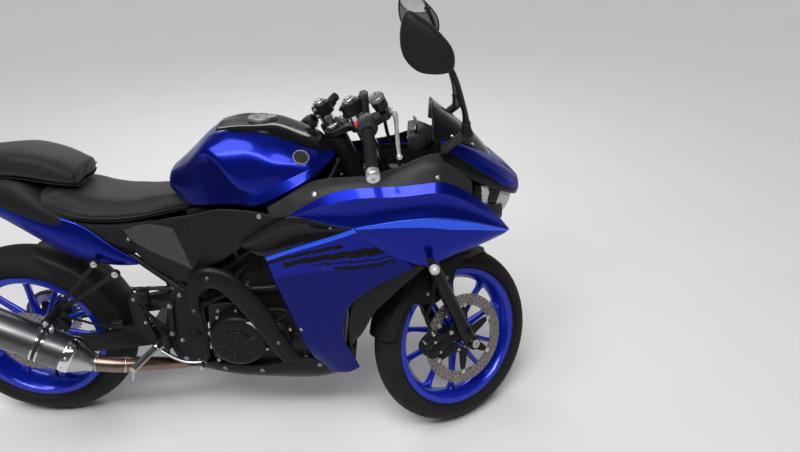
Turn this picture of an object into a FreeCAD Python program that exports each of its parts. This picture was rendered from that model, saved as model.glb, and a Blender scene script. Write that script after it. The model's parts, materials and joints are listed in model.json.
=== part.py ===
import FreeCAD, Part
import math
import os

V = FreeCAD.Vector

# ---------------------------------------------------------------- driving dimensions
# Millimetres and degrees. The bike is drawn upright: X forward, Y left, Z up, ground at z = 0.
# Body stations count forward from a datum line that lies DATUM_BACK behind the front axle.
WHEELBASE = 1380.0
DATUM_BACK = 1380.0
RAKE = 25.0
TRAIL = 95.0
STEER_STOP = 35.0
LEAN = 7.0
CAP_OPEN_END = 95.0

FRONT_SECTION = 82.0
FRONT_TYRE_HALF = 55.0
FRONT_BEAD_HALF = 36.0
REAR_SECTION = 103.0
REAR_TYRE_HALF = 70.0
REAR_BEAD_HALF = 52.0
RIM_SEAT_R = 211.0
RIM_FLANGE_R = 231.0
RIM_FLANGE_T = 5.0
RIM_WALL = 8.0
SPOKES = 10
HUB_R = 40.0
HUB_HALF = 55.0
CROWN_EXTRA = 2.0

FRONT_AXLE_R = 10.0
FRONT_AXLE_BORE_R = 6.5
REAR_AXLE_R = 10.0
RUN_CLEAR = 0.05
SIDE_CLEAR = 0.3
SEAT_GAP = 0.3

DISC_T = 4.5
FRONT_DISC_R = 149.0
REAR_DISC_R = 110.0
DISC_BAND = 42.0
DISC_BOSS_R = 58.0

FORK_HALF = 95.0
SLIDER_R = 25.0
STANCHION_SHOWN = 360.0
STANCHION_R = 20.5
CROWN_Z = 993.0
FORK_RISE = 95.0
YOKE_GAP = 200.0
LOWER_YOKE_T = 30.0
UPPER_YOKE_T = 22.0
STEM_R = 13.0
HEAD_TUBE_R = 29.0

BAR_R = 11.0
BAR_FORWARD = 85.0
BAR_RISE = 72.0
BAR_RUN = (-201.0, 255.0, -120.0)
GRIP_R = 16.5
GRIP_SPAN = (168.0, 318.0)
HOUSING_SPAN = (98.0, 164.0)

PIVOT_X = 558.0
PIVOT_Z = 382.0
PIVOT_R = 10.0
PLATE_T = 12.0
PLATE_CLEAR = 2.0
ARM_CLEAR = 22.0
ARM_T = 24.0
SPOOL_X = 62.0
SPOOL_UP = 4.0
SPOOL_R = 3.0
SPOOL_DEPTH = 18.0

CHAIN_OUT = 6.0
CHAIN_W = 14.0
HUB_IN = 4.0
REAR_SPROCKET_R = 86.0
FRONT_SPROCKET_R = 32.0
FRONT_SPROCKET_X = 640.0
FRONT_SPROCKET_Z = 395.0
CHAIN_CLEAR = 1.5
CHAIN_H = 14.0

FAIRING_Y = 218.0
SKIN = 4.0
TUBE_R = 14.0
RAIL_R = 11.0
RAIL_Y = 60.0
PIPE_R = 20.0
MUFFLER_R = 55.0
MIRROR_Y = 278.0
MUFFLER_FRONT = (205.0, -200.0, 357.0)
MUFFLER_REAR = (-150.0, -212.0, 545.0)
PLATE_BACK = 94.0
STAY_R = 6.0
HOSE_R = 5.0
GUARD_Y = (176.0, 182.0)

CAP_X = 796.0
CAP_Z = 1038.0
CAP_R = 36.0
CAP_T = 9.0
CAP_PIN_R = 2.0

STAND_PIVOT_X = 548.0
STAND_PIVOT_Z = 222.0
STAND_LEG = (75.0, 128.0)
STAND_FOLDED = (-0.97, 0.20, 0.05)
STAND_R = 10.0
STAND_PIN_R = 6.0
STAND_EYE = 9.5

FRONT_TYRE_R = RIM_SEAT_R + FRONT_SECTION
REAR_TYRE_R = RIM_SEAT_R + REAR_SECTION
CHAIN_Y = (REAR_TYRE_HALF + CHAIN_OUT, REAR_TYRE_HALF + CHAIN_OUT + CHAIN_W)
REAR_HUB_HALF = REAR_TYRE_HALF - HUB_IN
ARM_IN = REAR_TYRE_HALF + ARM_CLEAR
ARM_OUT = ARM_IN + ARM_T
PLATE_IN = ARM_OUT + PLATE_CLEAR
PLATE_OUT = PLATE_IN + PLATE_T
PLATE_MID = (PLATE_IN + PLATE_OUT) / 2
STAND_PIVOT = (STAND_PIVOT_X, PLATE_OUT + 8, STAND_PIVOT_Z)
FRONT_X = WHEELBASE
DATUM = V(WHEELBASE - DATUM_BACK, 0, 0)
RAKE_SIN = math.sin(math.radians(RAKE))
RAKE_COS = math.cos(math.radians(RAKE))
# Fork offset follows from rake, trail and wheel radius.
OFFSET = FRONT_TYRE_R * RAKE_SIN - TRAIL * RAKE_COS
# Point of the steering axis nearest the front axle; the steering frame's origin.
STEER_FOOT = V(FRONT_X - OFFSET * RAKE_COS, 0, FRONT_TYRE_R - OFFSET * RAKE_SIN)
STEER_AXIS = V(-RAKE_SIN, 0, RAKE_COS)
CROWN = (CROWN_Z - STEER_FOOT.z) / RAKE_COS
UPPER_YOKE = (CROWN, CROWN + UPPER_YOKE_T)
LOWER_YOKE = (CROWN - YOKE_GAP - LOWER_YOKE_T, CROWN - YOKE_GAP)
SLIDER_TOP = CROWN - STANCHION_SHOWN
FORK_TOP = CROWN + FORK_RISE
BAR_ROOT = (BAR_FORWARD, FORK_HALF, CROWN + BAR_RISE)
BAR_END = (BAR_FORWARD + BAR_RUN[0], FORK_HALF + BAR_RUN[1], CROWN + BAR_RISE + BAR_RUN[2])
BAR_LENGTH = (V(*BAR_END) - V(*BAR_ROOT)).Length
AXLE_HEAD = FORK_HALF + SLIDER_R + 1
AXLE_HALF = AXLE_HEAD + 6
X_AXIS = V(1, 0, 0)
Y_AXIS = V(0, 1, 0)
Z_AXIS = V(0, 0, 1)
ORIGIN = V(0, 0, 0)


# ---------------------------------------------------------------- shape helpers
def prism(outline, y0, y1):
    """Side outline of (x, z) points, extruded from y0 to y1."""
    wire = Part.makePolygon([V(x, y0, z) for x, z in outline + outline[:1]])
    return Part.Face(wire).extrude(V(0, y1 - y0, 0))


def plan(outline, z0, z1):
    """Plan outline of (x, y) points, extruded from z0 to z1."""
    wire = Part.makePolygon([V(x, y, z0) for x, y in outline + outline[:1]])
    return Part.Face(wire).extrude(V(0, 0, z1 - z0))


def box(x0, x1, y0, y1, z0, z1):
    return Part.makeBox(x1 - x0, y1 - y0, z1 - z0, V(x0, y0, z0))


def rod(start, end, radius):
    a = V(*start)
    along = V(*end) - a
    return Part.makeCylinder(radius, along.Length, a, along)


def cone(start, end, r0, r1):
    a = V(*start)
    along = V(*end) - a
    return Part.makeCone(r0, r1, along.Length, a, along)


def disc(centre, radius, y0, y1):
    """Round plate about a lateral axis through centre = (x, z)."""
    return Part.makeCylinder(radius, y1 - y0, V(centre[0], y0, centre[1]), Y_AXIS)


def ring(centre, r_out, r_in, y0, y1):
    return disc(centre, r_out, y0, y1).cut(disc(centre, r_in, y0 - 1, y1 + 1))


def fuse(shapes):
    shapes = list(shapes)
    if len(shapes) == 1:
        return shapes[0]
    return shapes[0].fuse(shapes[1:]).removeSplitter()


def group(shapes):
    """Separate solids kept in one node."""
    return Part.makeCompound([solid for shape in shapes for solid in shape.Solids])


def mirrored(shape):
    return shape.mirror(ORIGIN, Y_AXIS)


def both(shape):
    return group([shape, mirrored(shape)])


def loft(sections):
    """Straight-ruled solid through closed polygons with equal point counts."""
    wires = [Part.makePolygon(points + points[:1]) for points in sections]
    return Part.makeLoft(wires, True, True)


def body(rows):
    """Solid symmetric about y = 0. rows: (x, [(half width, z) from bottom to top])."""
    sections = []
    for x, half in rows:
        left = [V(x, y, z) for y, z in half]
        right = [V(x, -y, z) for y, z in reversed(half)]
        sections.append(left + right)
    return loft(sections)


def skin(rows, thickness):
    """Shell on the left side. rows: (x, [(y, z) along the outer face])."""
    sections = []
    for x, outer in rows:
        inner = []
        last = len(outer) - 1
        for i, (y, z) in enumerate(outer):
            y0, z0 = outer[max(i - 1, 0)]
            y1, z1 = outer[min(i + 1, last)]
            run = math.hypot(y1 - y0, z1 - z0)
            inner.append((y + thickness * (z1 - z0) / run, z - thickness * (y1 - y0) / run))
        points = [V(x, y, z) for y, z in outer] + [V(x, y, z) for y, z in reversed(inner)]
        sections.append(points)
    return loft(sections)


def tube(points, radius, bend):
    """Round bar along straight runs joined by arcs of the given bend radius."""
    corners = [V(*p) for p in points]
    edges = []
    start = corners[0]
    for before, corner, after in zip(corners, corners[1:], corners[2:]):
        back = (before - corner).normalize()
        ahead = (after - corner).normalize()
        half_turn = (math.pi - back.getAngle(ahead)) / 2
        trim = bend * math.tan(half_turn)
        trim = min(trim, 0.45 * (before - corner).Length, 0.45 * (after - corner).Length)
        arc_r = trim / math.tan(half_turn)
        into = corner + back * trim
        out = corner + ahead * trim
        inward = (back + ahead).normalize()
        middle = corner + inward * (arc_r / math.cos(half_turn) - arc_r)
        edges.append(Part.LineSegment(start, into).toShape())
        edges.append(Part.Arc(into, middle, out).toShape())
        start = out
    edges.append(Part.LineSegment(start, corners[-1]).toShape())
    path = Part.Wire(edges)
    first = corners[1] - corners[0]
    profile = Part.Wire([Part.Circle(corners[0], first, radius).toShape()])
    return path.makePipeShell([profile], True, False)


def revolve(profile, angle=360.0, start=0.0):
    """Turn a closed (y, r) profile about the lateral axis; start counts up from forward."""
    wire = Part.makePolygon([V(r, y, 0) for y, r in profile + profile[:1]])
    solid = Part.Face(wire).revolve(ORIGIN, Y_AXIS, -angle)
    solid.rotate(ORIGIN, Y_AXIS, -start)
    return solid


def largest(shape):
    return max(shape.Solids, key=lambda solid: solid.Volume)


def strip(a, b, thickness):
    """Outline (x, z) of a flat strip on the left of the line from a to b."""
    run = math.hypot(b[0] - a[0], b[1] - a[1])
    nx = -(b[1] - a[1]) / run * thickness
    nz = (b[0] - a[0]) / run * thickness
    return [a, b, (b[0] + nx, b[1] + nz), (a[0] + nx, a[1] + nz)]


def reach(start, through, target, depth):
    """Bar end: where a line from start first meets target, and depth further on."""
    a = V(*start)
    aim = (V(*through) - a).normalize()
    line = Part.LineSegment(a, a + aim * 600).toShape()
    inside = line.common(target)
    near = min((v.Point - a).Length for v in inside.Vertexes)
    end = a + aim * (near + depth)
    return (end.x, end.y, end.z)


# ---------------------------------------------------------------- wheels (axle at the origin)
def tyre(radius, half, bead_half):
    crown = half + CROWN_EXTRA
    centre = radius - crown
    shoulder = centre + math.sqrt(crown ** 2 - half ** 2)
    seat = RIM_SEAT_R
    points = [V(centre + crown, 0, 0), V(shoulder, half, 0), V(RIM_FLANGE_R + 2, bead_half, 0)]
    points += [V(seat, bead_half, 0), V(seat, -bead_half, 0)]
    points += [V(RIM_FLANGE_R + 2, -bead_half, 0), V(shoulder, -half, 0)]
    edges = [Part.Arc(points[-1], points[0], points[1]).toShape()]
    edges += [Part.LineSegment(a, b).toShape() for a, b in zip(points[1:], points[2:])]
    return Part.Face(Part.Wire(edges)).revolve(ORIGIN, Y_AXIS, 360)


def spoke(hub_r, rim_r):
    # radius, half width, half depth
    table = [(hub_r - 6, 13, 20), (hub_r + 30, 9, 14), (rim_r - 40, 7, 11), (rim_r + 3, 10, 16)]
    sections = []
    for r, w, d in table:
        sections.append([V(r, -d, -w), V(r, d, -w), V(r, d, w), V(r, -d, w)])
    return loft(sections)


def rim(bead_half, axle_r, hub_ends):
    flange = bead_half + RIM_FLANGE_T
    floor = RIM_SEAT_R - RIM_WALL
    profile = [(-flange, RIM_FLANGE_R), (-bead_half, RIM_FLANGE_R), (-bead_half, RIM_SEAT_R)]
    profile += [(bead_half, RIM_SEAT_R), (bead_half, RIM_FLANGE_R), (flange, RIM_FLANGE_R)]
    profile += [(flange, floor), (-flange, floor)]
    arms = []
    for i in range(SPOKES):
        arm = spoke(HUB_R, floor)
        arm.rotate(ORIGIN, Y_AXIS, i * 360.0 / SPOKES + 10)
        arms.append(arm)
    hub = disc((0, 0), HUB_R, hub_ends[0], hub_ends[1])
    whole = fuse([revolve(profile), hub] + arms)
    return whole.cut(disc((0, 0), axle_r + RUN_CLEAR, hub_ends[0] - 1, hub_ends[1] + 1))


def brake_disc(radius, y0):
    """Rotor band on a slotted carrier."""
    y1 = y0 + DISC_T
    band = ring((0, 0), radius, radius - DISC_BAND, y0, y1)
    boss = ring((0, 0), DISC_BOSS_R, DISC_BOSS_R - 30, y0, y1)
    arms = []
    for i in range(5):
        arm = box(DISC_BOSS_R - 5, radius - DISC_BAND + 4, y0, y1, -11, 11)
        arm.rotate(ORIGIN, Y_AXIS, i * 72.0 + 20)
        arms.append(arm)
    return fuse([band, boss] + arms)


def front_tyre():
    return tyre(FRONT_TYRE_R, FRONT_TYRE_HALF, FRONT_BEAD_HALF)


def front_rim():
    return rim(FRONT_BEAD_HALF, FRONT_AXLE_R, (-HUB_HALF - 4, HUB_HALF))


def front_brake_disc():
    return brake_disc(FRONT_DISC_R, -HUB_HALF - 4 - DISC_T)


def rear_tyre():
    return tyre(REAR_TYRE_R, REAR_TYRE_HALF, REAR_BEAD_HALF)


def rear_rim():
    return rim(REAR_BEAD_HALF, REAR_AXLE_R, (-REAR_HUB_HALF, REAR_HUB_HALF))


def rear_brake_disc():
    return brake_disc(REAR_DISC_R, -REAR_HUB_HALF - DISC_T)


def rear_sprocket():
    y0, y1 = CHAIN_Y
    middle = (y0 + y1) / 2
    plate = disc((0, 0), REAR_SPROCKET_R, middle - 3, middle + 3)
    carrier = disc((0, 0), HUB_R + 14, REAR_HUB_HALF, middle - 3)
    whole = fuse([plate, carrier]).cut(disc((0, 0), REAR_AXLE_R + 5, 0, 200))
    for i in range(6):
        hole = disc((65, 0), 10, middle - 10, middle + 10)
        hole.rotate(ORIGIN, Y_AXIS, i * 60.0 + 30)
        whole = whole.cut(hole)
    return whole


# ---------------------------------------------------------------- steering (axis along Z, wheel
# axle at x = OFFSET, z = 0)
def fork_legs():
    below = 8.0
    leg = Part.makeCylinder(SLIDER_R, SLIDER_TOP + below, V(OFFSET, FORK_HALF, -below))
    upper = Part.makeCylinder(STANCHION_R, FORK_TOP - SLIDER_TOP, V(OFFSET, FORK_HALF, SLIDER_TOP))
    foot = disc((OFFSET, 0), 22, FORK_HALF - SLIDER_R - 1, AXLE_HEAD)
    seal = Part.makeCylinder(SLIDER_R + 3, 24, V(OFFSET, FORK_HALF, SLIDER_TOP - 24))
    leg = fuse([leg, upper, foot, seal])
    return both(leg.cut(disc((OFFSET, 0), FRONT_AXLE_R + RUN_CLEAR, 0, 2 * AXLE_HEAD)))


def front_axle():
    half = AXLE_HALF
    shaft = disc((OFFSET, 0), FRONT_AXLE_R, -half, half)
    inner = FORK_HALF - SLIDER_R - 1
    left = disc((OFFSET, 0), 15, HUB_HALF + SIDE_CLEAR, inner)
    right = disc((OFFSET, 0), 15, -inner, -HUB_HALF - 4 - SIDE_CLEAR)
    head = disc((OFFSET, 0), 14, AXLE_HEAD, half)
    nut = disc((OFFSET, 0), 14, -half, -AXLE_HEAD)
    whole = fuse([shaft, left, right, head, nut])
    return whole.cut(disc((OFFSET, 0), FRONT_AXLE_BORE_R, -half - 1, half + 1))


def yoke(z0, z1, leg_r):
    """Plate that clamps both legs and the stem."""
    reach_y = FORK_HALF + leg_r + 10
    back = -28.0
    front = OFFSET + 12
    outline = [(back, -26), (OFFSET - 30, -reach_y), (OFFSET + 22, -reach_y), (front, -60)]
    outline += [(front, 60), (OFFSET + 22, reach_y), (OFFSET - 30, reach_y), (back, 26)]
    plate = plan(outline, z0, z1)
    for side in (-1, 1):
        plate = plate.cut(Part.makeCylinder(leg_r, z1 - z0 + 2, V(OFFSET, side * FORK_HALF, z0 - 1)))
    return plate


def triple_clamps():
    lower = yoke(LOWER_YOKE[0], LOWER_YOKE[1], STANCHION_R)
    upper = yoke(UPPER_YOKE[0], UPPER_YOKE[1], STANCHION_R)
    stem = Part.makeCylinder(STEM_R, UPPER_YOKE[1] + 8 - LOWER_YOKE[0], V(0, 0, LOWER_YOKE[0]))
    nut = Part.makeCylinder(STEM_R + 5, 8, V(0, 0, UPPER_YOKE[1]))
    return fuse([lower, upper, stem, nut])


def front_fender():
    """Blade over the tyre with cheeks bolted to the sliders; drawn about the wheel axle."""
    inner = FRONT_TYRE_R + 8
    outer = [(-66, inner - 40), (-62, inner - 12), (-34, inner + 2), (0, inner + 6)]
    outer += [(34, inner + 2), (62, inner - 12), (66, inner - 40)]
    lining = [(62, inner - 40), (58, inner - 15), (32, inner - 2), (0, inner + 2)]
    lining += [(-32, inner - 2), (-58, inner - 15), (-62, inner - 40)]
    blade = revolve(outer + lining, 106, 62 - RAKE)
    cheek = prism([(-150, 262), (-75, 190), (-20, 168), (22, 176), (40, 250), (120, 268)], 61, 66)
    lug = disc((0, 188), 12, 61, FORK_HALF)
    lug_top = disc((0, 245), 12, 61, FORK_HALF)
    sides = []
    for piece in (cheek, lug, lug_top):
        sides += [piece, mirrored(piece)]
    reach_y = FORK_HALF + 10
    hole = revolve([(-reach_y, 0), (reach_y, 0), (reach_y, inner - 5), (-reach_y, inner - 5)])
    keep = hole.cut(disc((0, 0), 60, -reach_y, reach_y))
    sides = [side.common(keep) for side in sides]
    whole = fuse([blade] + sides)
    whole.translate(V(OFFSET, 0, 0))
    return whole


def front_caliper():
    disc_y = -HUB_HALF - 4 - DISC_T / 2
    shell = box(-150, -70, disc_y - 26, disc_y + 20, 30, 95)
    slot = box(-160, -60, disc_y - 5, disc_y + 5, 0, 200)
    slot = slot.common(disc((0, 0), FRONT_DISC_R + 6, disc_y - 10, disc_y + 10))
    bracket = box(-90, 0, disc_y - 30, disc_y - 12, 40, 80)
    hose = rod((-95, disc_y - 16, 90), (-95, disc_y - 16, 120), 6)
    whole = fuse([shell, bracket, hose]).cut(slot)
    whole.translate(V(OFFSET, 0, 0))
    return whole


def bar_point(along, forward, up):
    """Point in the left bar's own frame: along the bar from its root, forward of it, above it."""
    root = V(*BAR_ROOT)
    axis = (V(*BAR_END) - root).normalize()
    ahead = axis.cross(Z_AXIS).normalize()
    top = ahead.cross(axis).normalize()
    p = root + axis * along + ahead * forward + top * up
    return (p.x, p.y, p.z)


def clip_on_bars():
    bar = rod(BAR_ROOT, bar_point(BAR_LENGTH - 32, 0, 0), BAR_R)
    clamp = Part.makeCylinder(STANCHION_R + 10, 36, V(OFFSET, FORK_HALF, FORK_TOP - 50))
    lug = rod((OFFSET, FORK_HALF, FORK_TOP - 32), BAR_ROOT, 15)
    whole = fuse([clamp, lug, bar])
    whole = whole.cut(Part.makeCylinder(STANCHION_R, 200, V(OFFSET, FORK_HALF, FORK_TOP - 100)))
    solid = max(whole.Solids, key=lambda s: s.Volume)
    return both(solid)


def grips():
    grip = rod(bar_point(GRIP_SPAN[0], 0, 0), bar_point(GRIP_SPAN[1], 0, 0), GRIP_R)
    core = rod(bar_point(0, 0, 0), bar_point(BAR_LENGTH, 0, 0), BAR_R)
    weight = rod(bar_point(GRIP_SPAN[1] + 1, 0, 0), bar_point(BAR_LENGTH, 0, 0), GRIP_R + 1)
    return both(group([grip.cut(core), weight.cut(core)]))


def bar_box(a0, a1, f0, f1, u0, u1):
    """Box in the bar's frame."""
    low = [bar_point(a, f, u0) for a, f in ((a0, f0), (a1, f0), (a1, f1), (a0, f1))]
    high = [bar_point(a, f, u1) for a, f in ((a0, f0), (a1, f0), (a1, f1), (a0, f1))]
    return loft([[V(*p) for p in low], [V(*p) for p in high]])


def hand_controls():
    """Switch housings and lever perches, with the brake reservoir on the right."""
    a0, a1 = HOUSING_SPAN
    housing = bar_box(a0, a1, -24, 26, -26, 24)
    perch = bar_box(a0 + 8, a0 + 36, 20, 62, -16, 10)
    core = rod(bar_point(0, 0, 0), bar_point(BAR_LENGTH, 0, 0), BAR_R)
    side = fuse([housing, perch]).cut(core)
    neck = rod(bar_point(a0 + 20, 50, 0), bar_point(a0 + 20, 50, 30), 8)
    pot = rod(bar_point(a0 + 20, 54, 22), bar_point(a0 + 20, 54, 62), 20)
    right = fuse([side, neck, pot])
    return group([side, mirrored(right)])


def levers():
    a0 = HOUSING_SPAN[0] + 22
    end = BAR_LENGTH - 42
    pin = bar_box(a0 - 12, a0 + 12, 62 + SEAT_GAP, 76, -8, 6)
    inner = rod(bar_point(a0, 69, -2), bar_point(a0 + 50, 76, -2), 6)
    blade = rod(bar_point(a0 + 46, 76, -2), bar_point(end, 72, -2), 5.5)
    ball = Part.makeSphere(8, V(*bar_point(end, 72, -2)))
    return both(fuse([pin, inner, blade, ball]))


def brake_hose():
    """Hose from the right lever's perch, in front of the right leg, down to the caliper."""
    start = V(*bar_point(HOUSING_SPAN[0] + 20, 62, -6))
    disc_y = -HUB_HALF - 4 - DISC_T / 2
    stub_x = OFFSET - 95
    leg_y = -FORK_HALF
    points = [(start.x, -start.y, start.z), (104, leg_y - 36, CROWN + 36),
              (96, leg_y - 8, CROWN - 50), (80, leg_y - 14, CROWN - 180),
              (70, leg_y - 20, LOWER_YOKE[0] - 20),
              (56, leg_y - 34, SLIDER_TOP), (28, leg_y - 36, SLIDER_TOP - 110),
              (-25, leg_y - 18, 215), (stub_x, disc_y - 16, 165), (stub_x, disc_y - 16, 110)]
    return tube(points, HOSE_R, 50)


# ---------------------------------------------------------------- chassis, body stations
def head_point(along, forward=0.0, y=0.0):
    """Body-frame point at a distance up the steering axis and forward of it."""
    foot = STEER_FOOT - DATUM
    p = foot + STEER_AXIS * along + V(RAKE_COS, 0, RAKE_SIN) * forward
    return (p.x, y, p.z)


def frame():
    """Head tube, twin main tubes, pivot plates and seat rails."""
    low = LOWER_YOKE[1] + 1
    high = UPPER_YOKE[0] - 1
    head = rod(head_point(low), head_point(high), HEAD_TUBE_R)
    bore = rod(head_point(low - 5), head_point(high + 5), STEM_R + RUN_CLEAR)
    upper = tube([head_point(low + 120, -20, 12), (930, 95, 800), (700, PLATE_MID, 640),
                  (560, PLATE_MID, 500)], TUBE_R, 120)
    lower = tube([head_point(low + 35, -20, 12), (960, 120, 690), (860, PLATE_MID, 560),
                  (700, PLATE_MID, 545), (600, PLATE_MID, 500)], TUBE_R, 60)
    brace = rod((930, 95, 800), (925, 122, 650), 10)
    plate = prism([(500, 285), (545, 262), (585, 275), (600, 345), (596, 500), (570, 560),
                   (520, 560), (490, 500), (470, 390)], PLATE_IN, PLATE_OUT)
    rail = tube([(560, PLATE_MID, 545), (430, RAIL_Y + 30, 720), (330, RAIL_Y, 752), (-160, RAIL_Y, 850)],
                RAIL_R, 60)
    stay = rod((540, PLATE_MID, 545), (250, RAIL_Y, 740), 10)
    side = fuse([upper, lower, brace, plate, rail, stay])
    stand_lug = prism([(515, 300), (575, 300), (575, 240), (562, 196), (534, 196), (520, 250)],
                      PLATE_IN - 2, PLATE_OUT - 10)
    cross = rod((535, -PLATE_IN - 2, 530), (535, PLATE_IN + 2, 530), 14)
    cross_rear = rod((120, -RAIL_Y, 790), (120, RAIL_Y, 790), 9)
    whole = fuse([head, side, mirrored(side), cross, cross_rear, stand_lug, stand_pin()]).cut(bore)
    return whole.cut(disc((PIVOT_X, PIVOT_Z), PIVOT_R, -200, 200))


def stand_pin():
    """Boss, pin and head on the side stand's tilted hinge axis."""
    pivot = V(*STAND_PIVOT)
    axis = stand_axis()
    inner = STAND_EYE + SIDE_CLEAR
    boss = rod(pivot - axis * 34, pivot - axis * inner, STAND_PIN_R + 8)
    pin = rod(pivot - axis * 30, pivot + axis * (inner + 4), STAND_PIN_R)
    head = rod(pivot + axis * inner, pivot + axis * (inner + 5), STAND_PIN_R + 4)
    return fuse([boss, pin, head])


def front_stay():
    """Fairing stay on the head tube; carries nose, lamps, screen and mirrors."""
    root = head_point(CROWN - 125)
    beam = box(root[0], 1310, -16, 16, root[2] - 16, root[2] + 16)
    mast = box(1290, 1312, -60, 60, root[2] - 16, 1008)
    arm = box(1300, 1322, -150, 150, 985, 1003)
    tip = rod((1311, 140, 994), (1369, 140, 1040), 12)
    low = box(1292, 1400, -22, 22, root[2] - 16, root[2])
    whole = fuse([beam, mast, arm, tip, mirrored(tip), low])
    return largest(whole.cut(rod(head_point(CROWN - 290), head_point(CROWN + 10), HEAD_TUBE_R)))


def engine():
    """Closed mass: crankcase and inclined cylinder block."""
    case = prism([(604, 300), (640, 262), (900, 262), (925, 330), (925, 455), (840, 480),
                  (604, 480)], -128, 128)
    block = prism([(760, 470), (912, 440), (985, 640), (820, 700)], -110, 110)
    room = FRONT_SPROCKET_R + CHAIN_H + 10
    sprocket = (FRONT_SPROCKET_X, FRONT_SPROCKET_Z)
    pocket = disc(sprocket, room, CHAIN_Y[0] - 4, 200)
    mouth = box(sprocket[0] - 60, sprocket[0], CHAIN_Y[0] - 4, 200, sprocket[1] - room,
                sprocket[1] + room)
    return fuse([case, block]).cut(pocket).cut(mouth)


def engine_covers():
    """Clutch cover right, generator cover left, sprocket cover left."""
    clutch = fuse([disc((701, 388), 98, -164, -128), disc((701, 388), 80, -178, -164)])
    clutch = fuse([clutch, disc((820, 388), 52, -154, -128), disc((640, 330), 36, -150, -128)])
    filler = disc((806, 384), 17, -168, -154)
    generator = fuse([disc((780, 375), 88, 128, 158), disc((780, 375), 70, 158, 172)])
    hub = disc((FRONT_SPROCKET_X, FRONT_SPROCKET_Z), FRONT_SPROCKET_R, CHAIN_Y[0] - 4, CHAIN_Y[1])
    return group([fuse([clutch, filler]), generator, hub])


def engine_guards():
    """Curved side guards that frame the engine covers, on posts from engine and frame."""
    band = [(601, 625), (638, 645), (694, 626), (745, 569), (790, 511), (822, 429), (863, 375),
            (888, 332), (838, 330), (812, 365), (786, 420), (752, 488), (716, 542), (680, 588),
            (640, 602), (604, 580), (600, 490), (574, 490), (572, 583)]
    plate = prism(band, GUARD_Y[0], GUARD_Y[1])
    front_post = disc((826, 395), 9, 120, GUARD_Y[0])
    rear_post = disc((585, 510), 10, PLATE_MID, GUARD_Y[0])
    return both(fuse([plate, front_post, rear_post]))


def swingarm():
    """Box arms from the pivot to the rear axle, joined by a cross tube."""
    rear = -DATUM.x
    pivot_eye = [(PIVOT_X + 24, PIVOT_Z), (PIVOT_X + 10, PIVOT_Z - 26), (PIVOT_X - 40, PIVOT_Z - 34)]
    outline = pivot_eye + [(rear + 30, REAR_TYRE_R - 26), (rear - 45, REAR_TYRE_R - 26),
                           (rear - 52, REAR_TYRE_R), (rear - 45, REAR_TYRE_R + 26),
                           (rear + 40, REAR_TYRE_R + 28), (PIVOT_X - 60, PIVOT_Z + 38),
                           (PIVOT_X + 4, PIVOT_Z + 28)]
    arm = prism(outline, ARM_IN, ARM_OUT)
    cross = box(PIVOT_X - 150, PIVOT_X - 60, -ARM_IN - 2, ARM_IN + 2, PIVOT_Z - 34, PIVOT_Z + 20)
    sleeve = disc((PIVOT_X, PIVOT_Z), 20, -ARM_IN - 2, ARM_IN + 2)
    tie = box(PIVOT_X - 70, PIVOT_X - 10, -40, 40, PIVOT_Z - 22, PIVOT_Z + 12)
    spool_x = rear + SPOOL_X
    whole = fuse([arm, mirrored(arm), cross, sleeve, tie])
    whole = whole.cut(disc((PIVOT_X, PIVOT_Z), PIVOT_R, -200, 200))
    whole = whole.cut(disc((rear, REAR_TYRE_R), REAR_AXLE_R, -200, 200))
    for y0 in (ARM_OUT - SPOOL_DEPTH, -ARM_OUT):
        whole = whole.cut(disc((spool_x, REAR_TYRE_R + SPOOL_UP), SPOOL_R, y0, y0 + SPOOL_DEPTH))
    return whole


def axle_bolts():
    """Swingarm pivot bolt and rear axle."""
    half = PLATE_OUT + 9
    shaft = disc((PIVOT_X, PIVOT_Z), PIVOT_R, -half, half)
    pivot = fuse([shaft, disc((PIVOT_X, PIVOT_Z), 16, PLATE_OUT, half),
                  disc((PIVOT_X, PIVOT_Z), 16, -half, -PLATE_OUT)])
    return group([pivot, rear_axle()])


def rear_axle():
    """Axle with its spacer collars and end nuts."""
    rear = -DATUM.x
    centre = (rear, REAR_TYRE_R)
    half = ARM_OUT + 12
    shaft = disc(centre, REAR_AXLE_R, -half, half)
    left = disc(centre, REAR_AXLE_R + 4, REAR_HUB_HALF + SIDE_CLEAR, ARM_IN)
    right = disc(centre, REAR_AXLE_R + 8, -ARM_IN, -REAR_HUB_HALF - SIDE_CLEAR)
    heads = fuse([disc(centre, 17, ARM_OUT, half), disc(centre, 17, -half, -ARM_OUT)])
    return fuse([shaft, left, right, heads])


def rear_caliper():
    rear = -DATUM.x
    disc_y = -REAR_HUB_HALF - DISC_T / 2
    shell = prism([(rear + 52, 375), (rear + 110, 345), (rear + 138, 395), (rear + 82, 428)],
                  disc_y - 20, disc_y + 16)
    slot = disc((rear, REAR_TYRE_R), REAR_DISC_R + 6, disc_y - 4.5, disc_y + 4.5)
    foot = prism([(rear + 70, 335), (rear + 105, 335), (rear + 110, 375), (rear + 75, 385)],
                 -ARM_IN, disc_y - 8)
    tyre_room = disc((rear, REAR_TYRE_R), 300, disc_y + 4.5, 0)
    return fuse([shell.cut(tyre_room).cut(slot), foot.cut(slot)])


def rear_hugger():
    rear = -DATUM.x
    inner = REAR_TYRE_R + 9
    half = REAR_TYRE_HALF + 4
    outer = [(-half, inner - 46), (4 - half, inner - 12), (-40, inner + 2), (0, inner + 6)]
    outer += [(40, inner + 2), (half - 4, inner - 12), (half, inner - 46)]
    lining = [(half - 3, inner - 46), (half - 7, inner - 14), (39, inner - 1), (0, inner + 3)]
    lining += [(-39, inner - 1), (7 - half, inner - 14), (3 - half, inner - 46)]
    blade = revolve(outer + lining, 66, 14)
    blade.translate(V(rear, 0, REAR_TYRE_R))
    foot = prism([(rear + 250, 345), (rear + 300, 345), (rear + 314, 404), (rear + 280, 404)],
                 half - 2.5, ARM_IN + 2)
    return fuse([blade, foot, mirrored(foot)])


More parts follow.
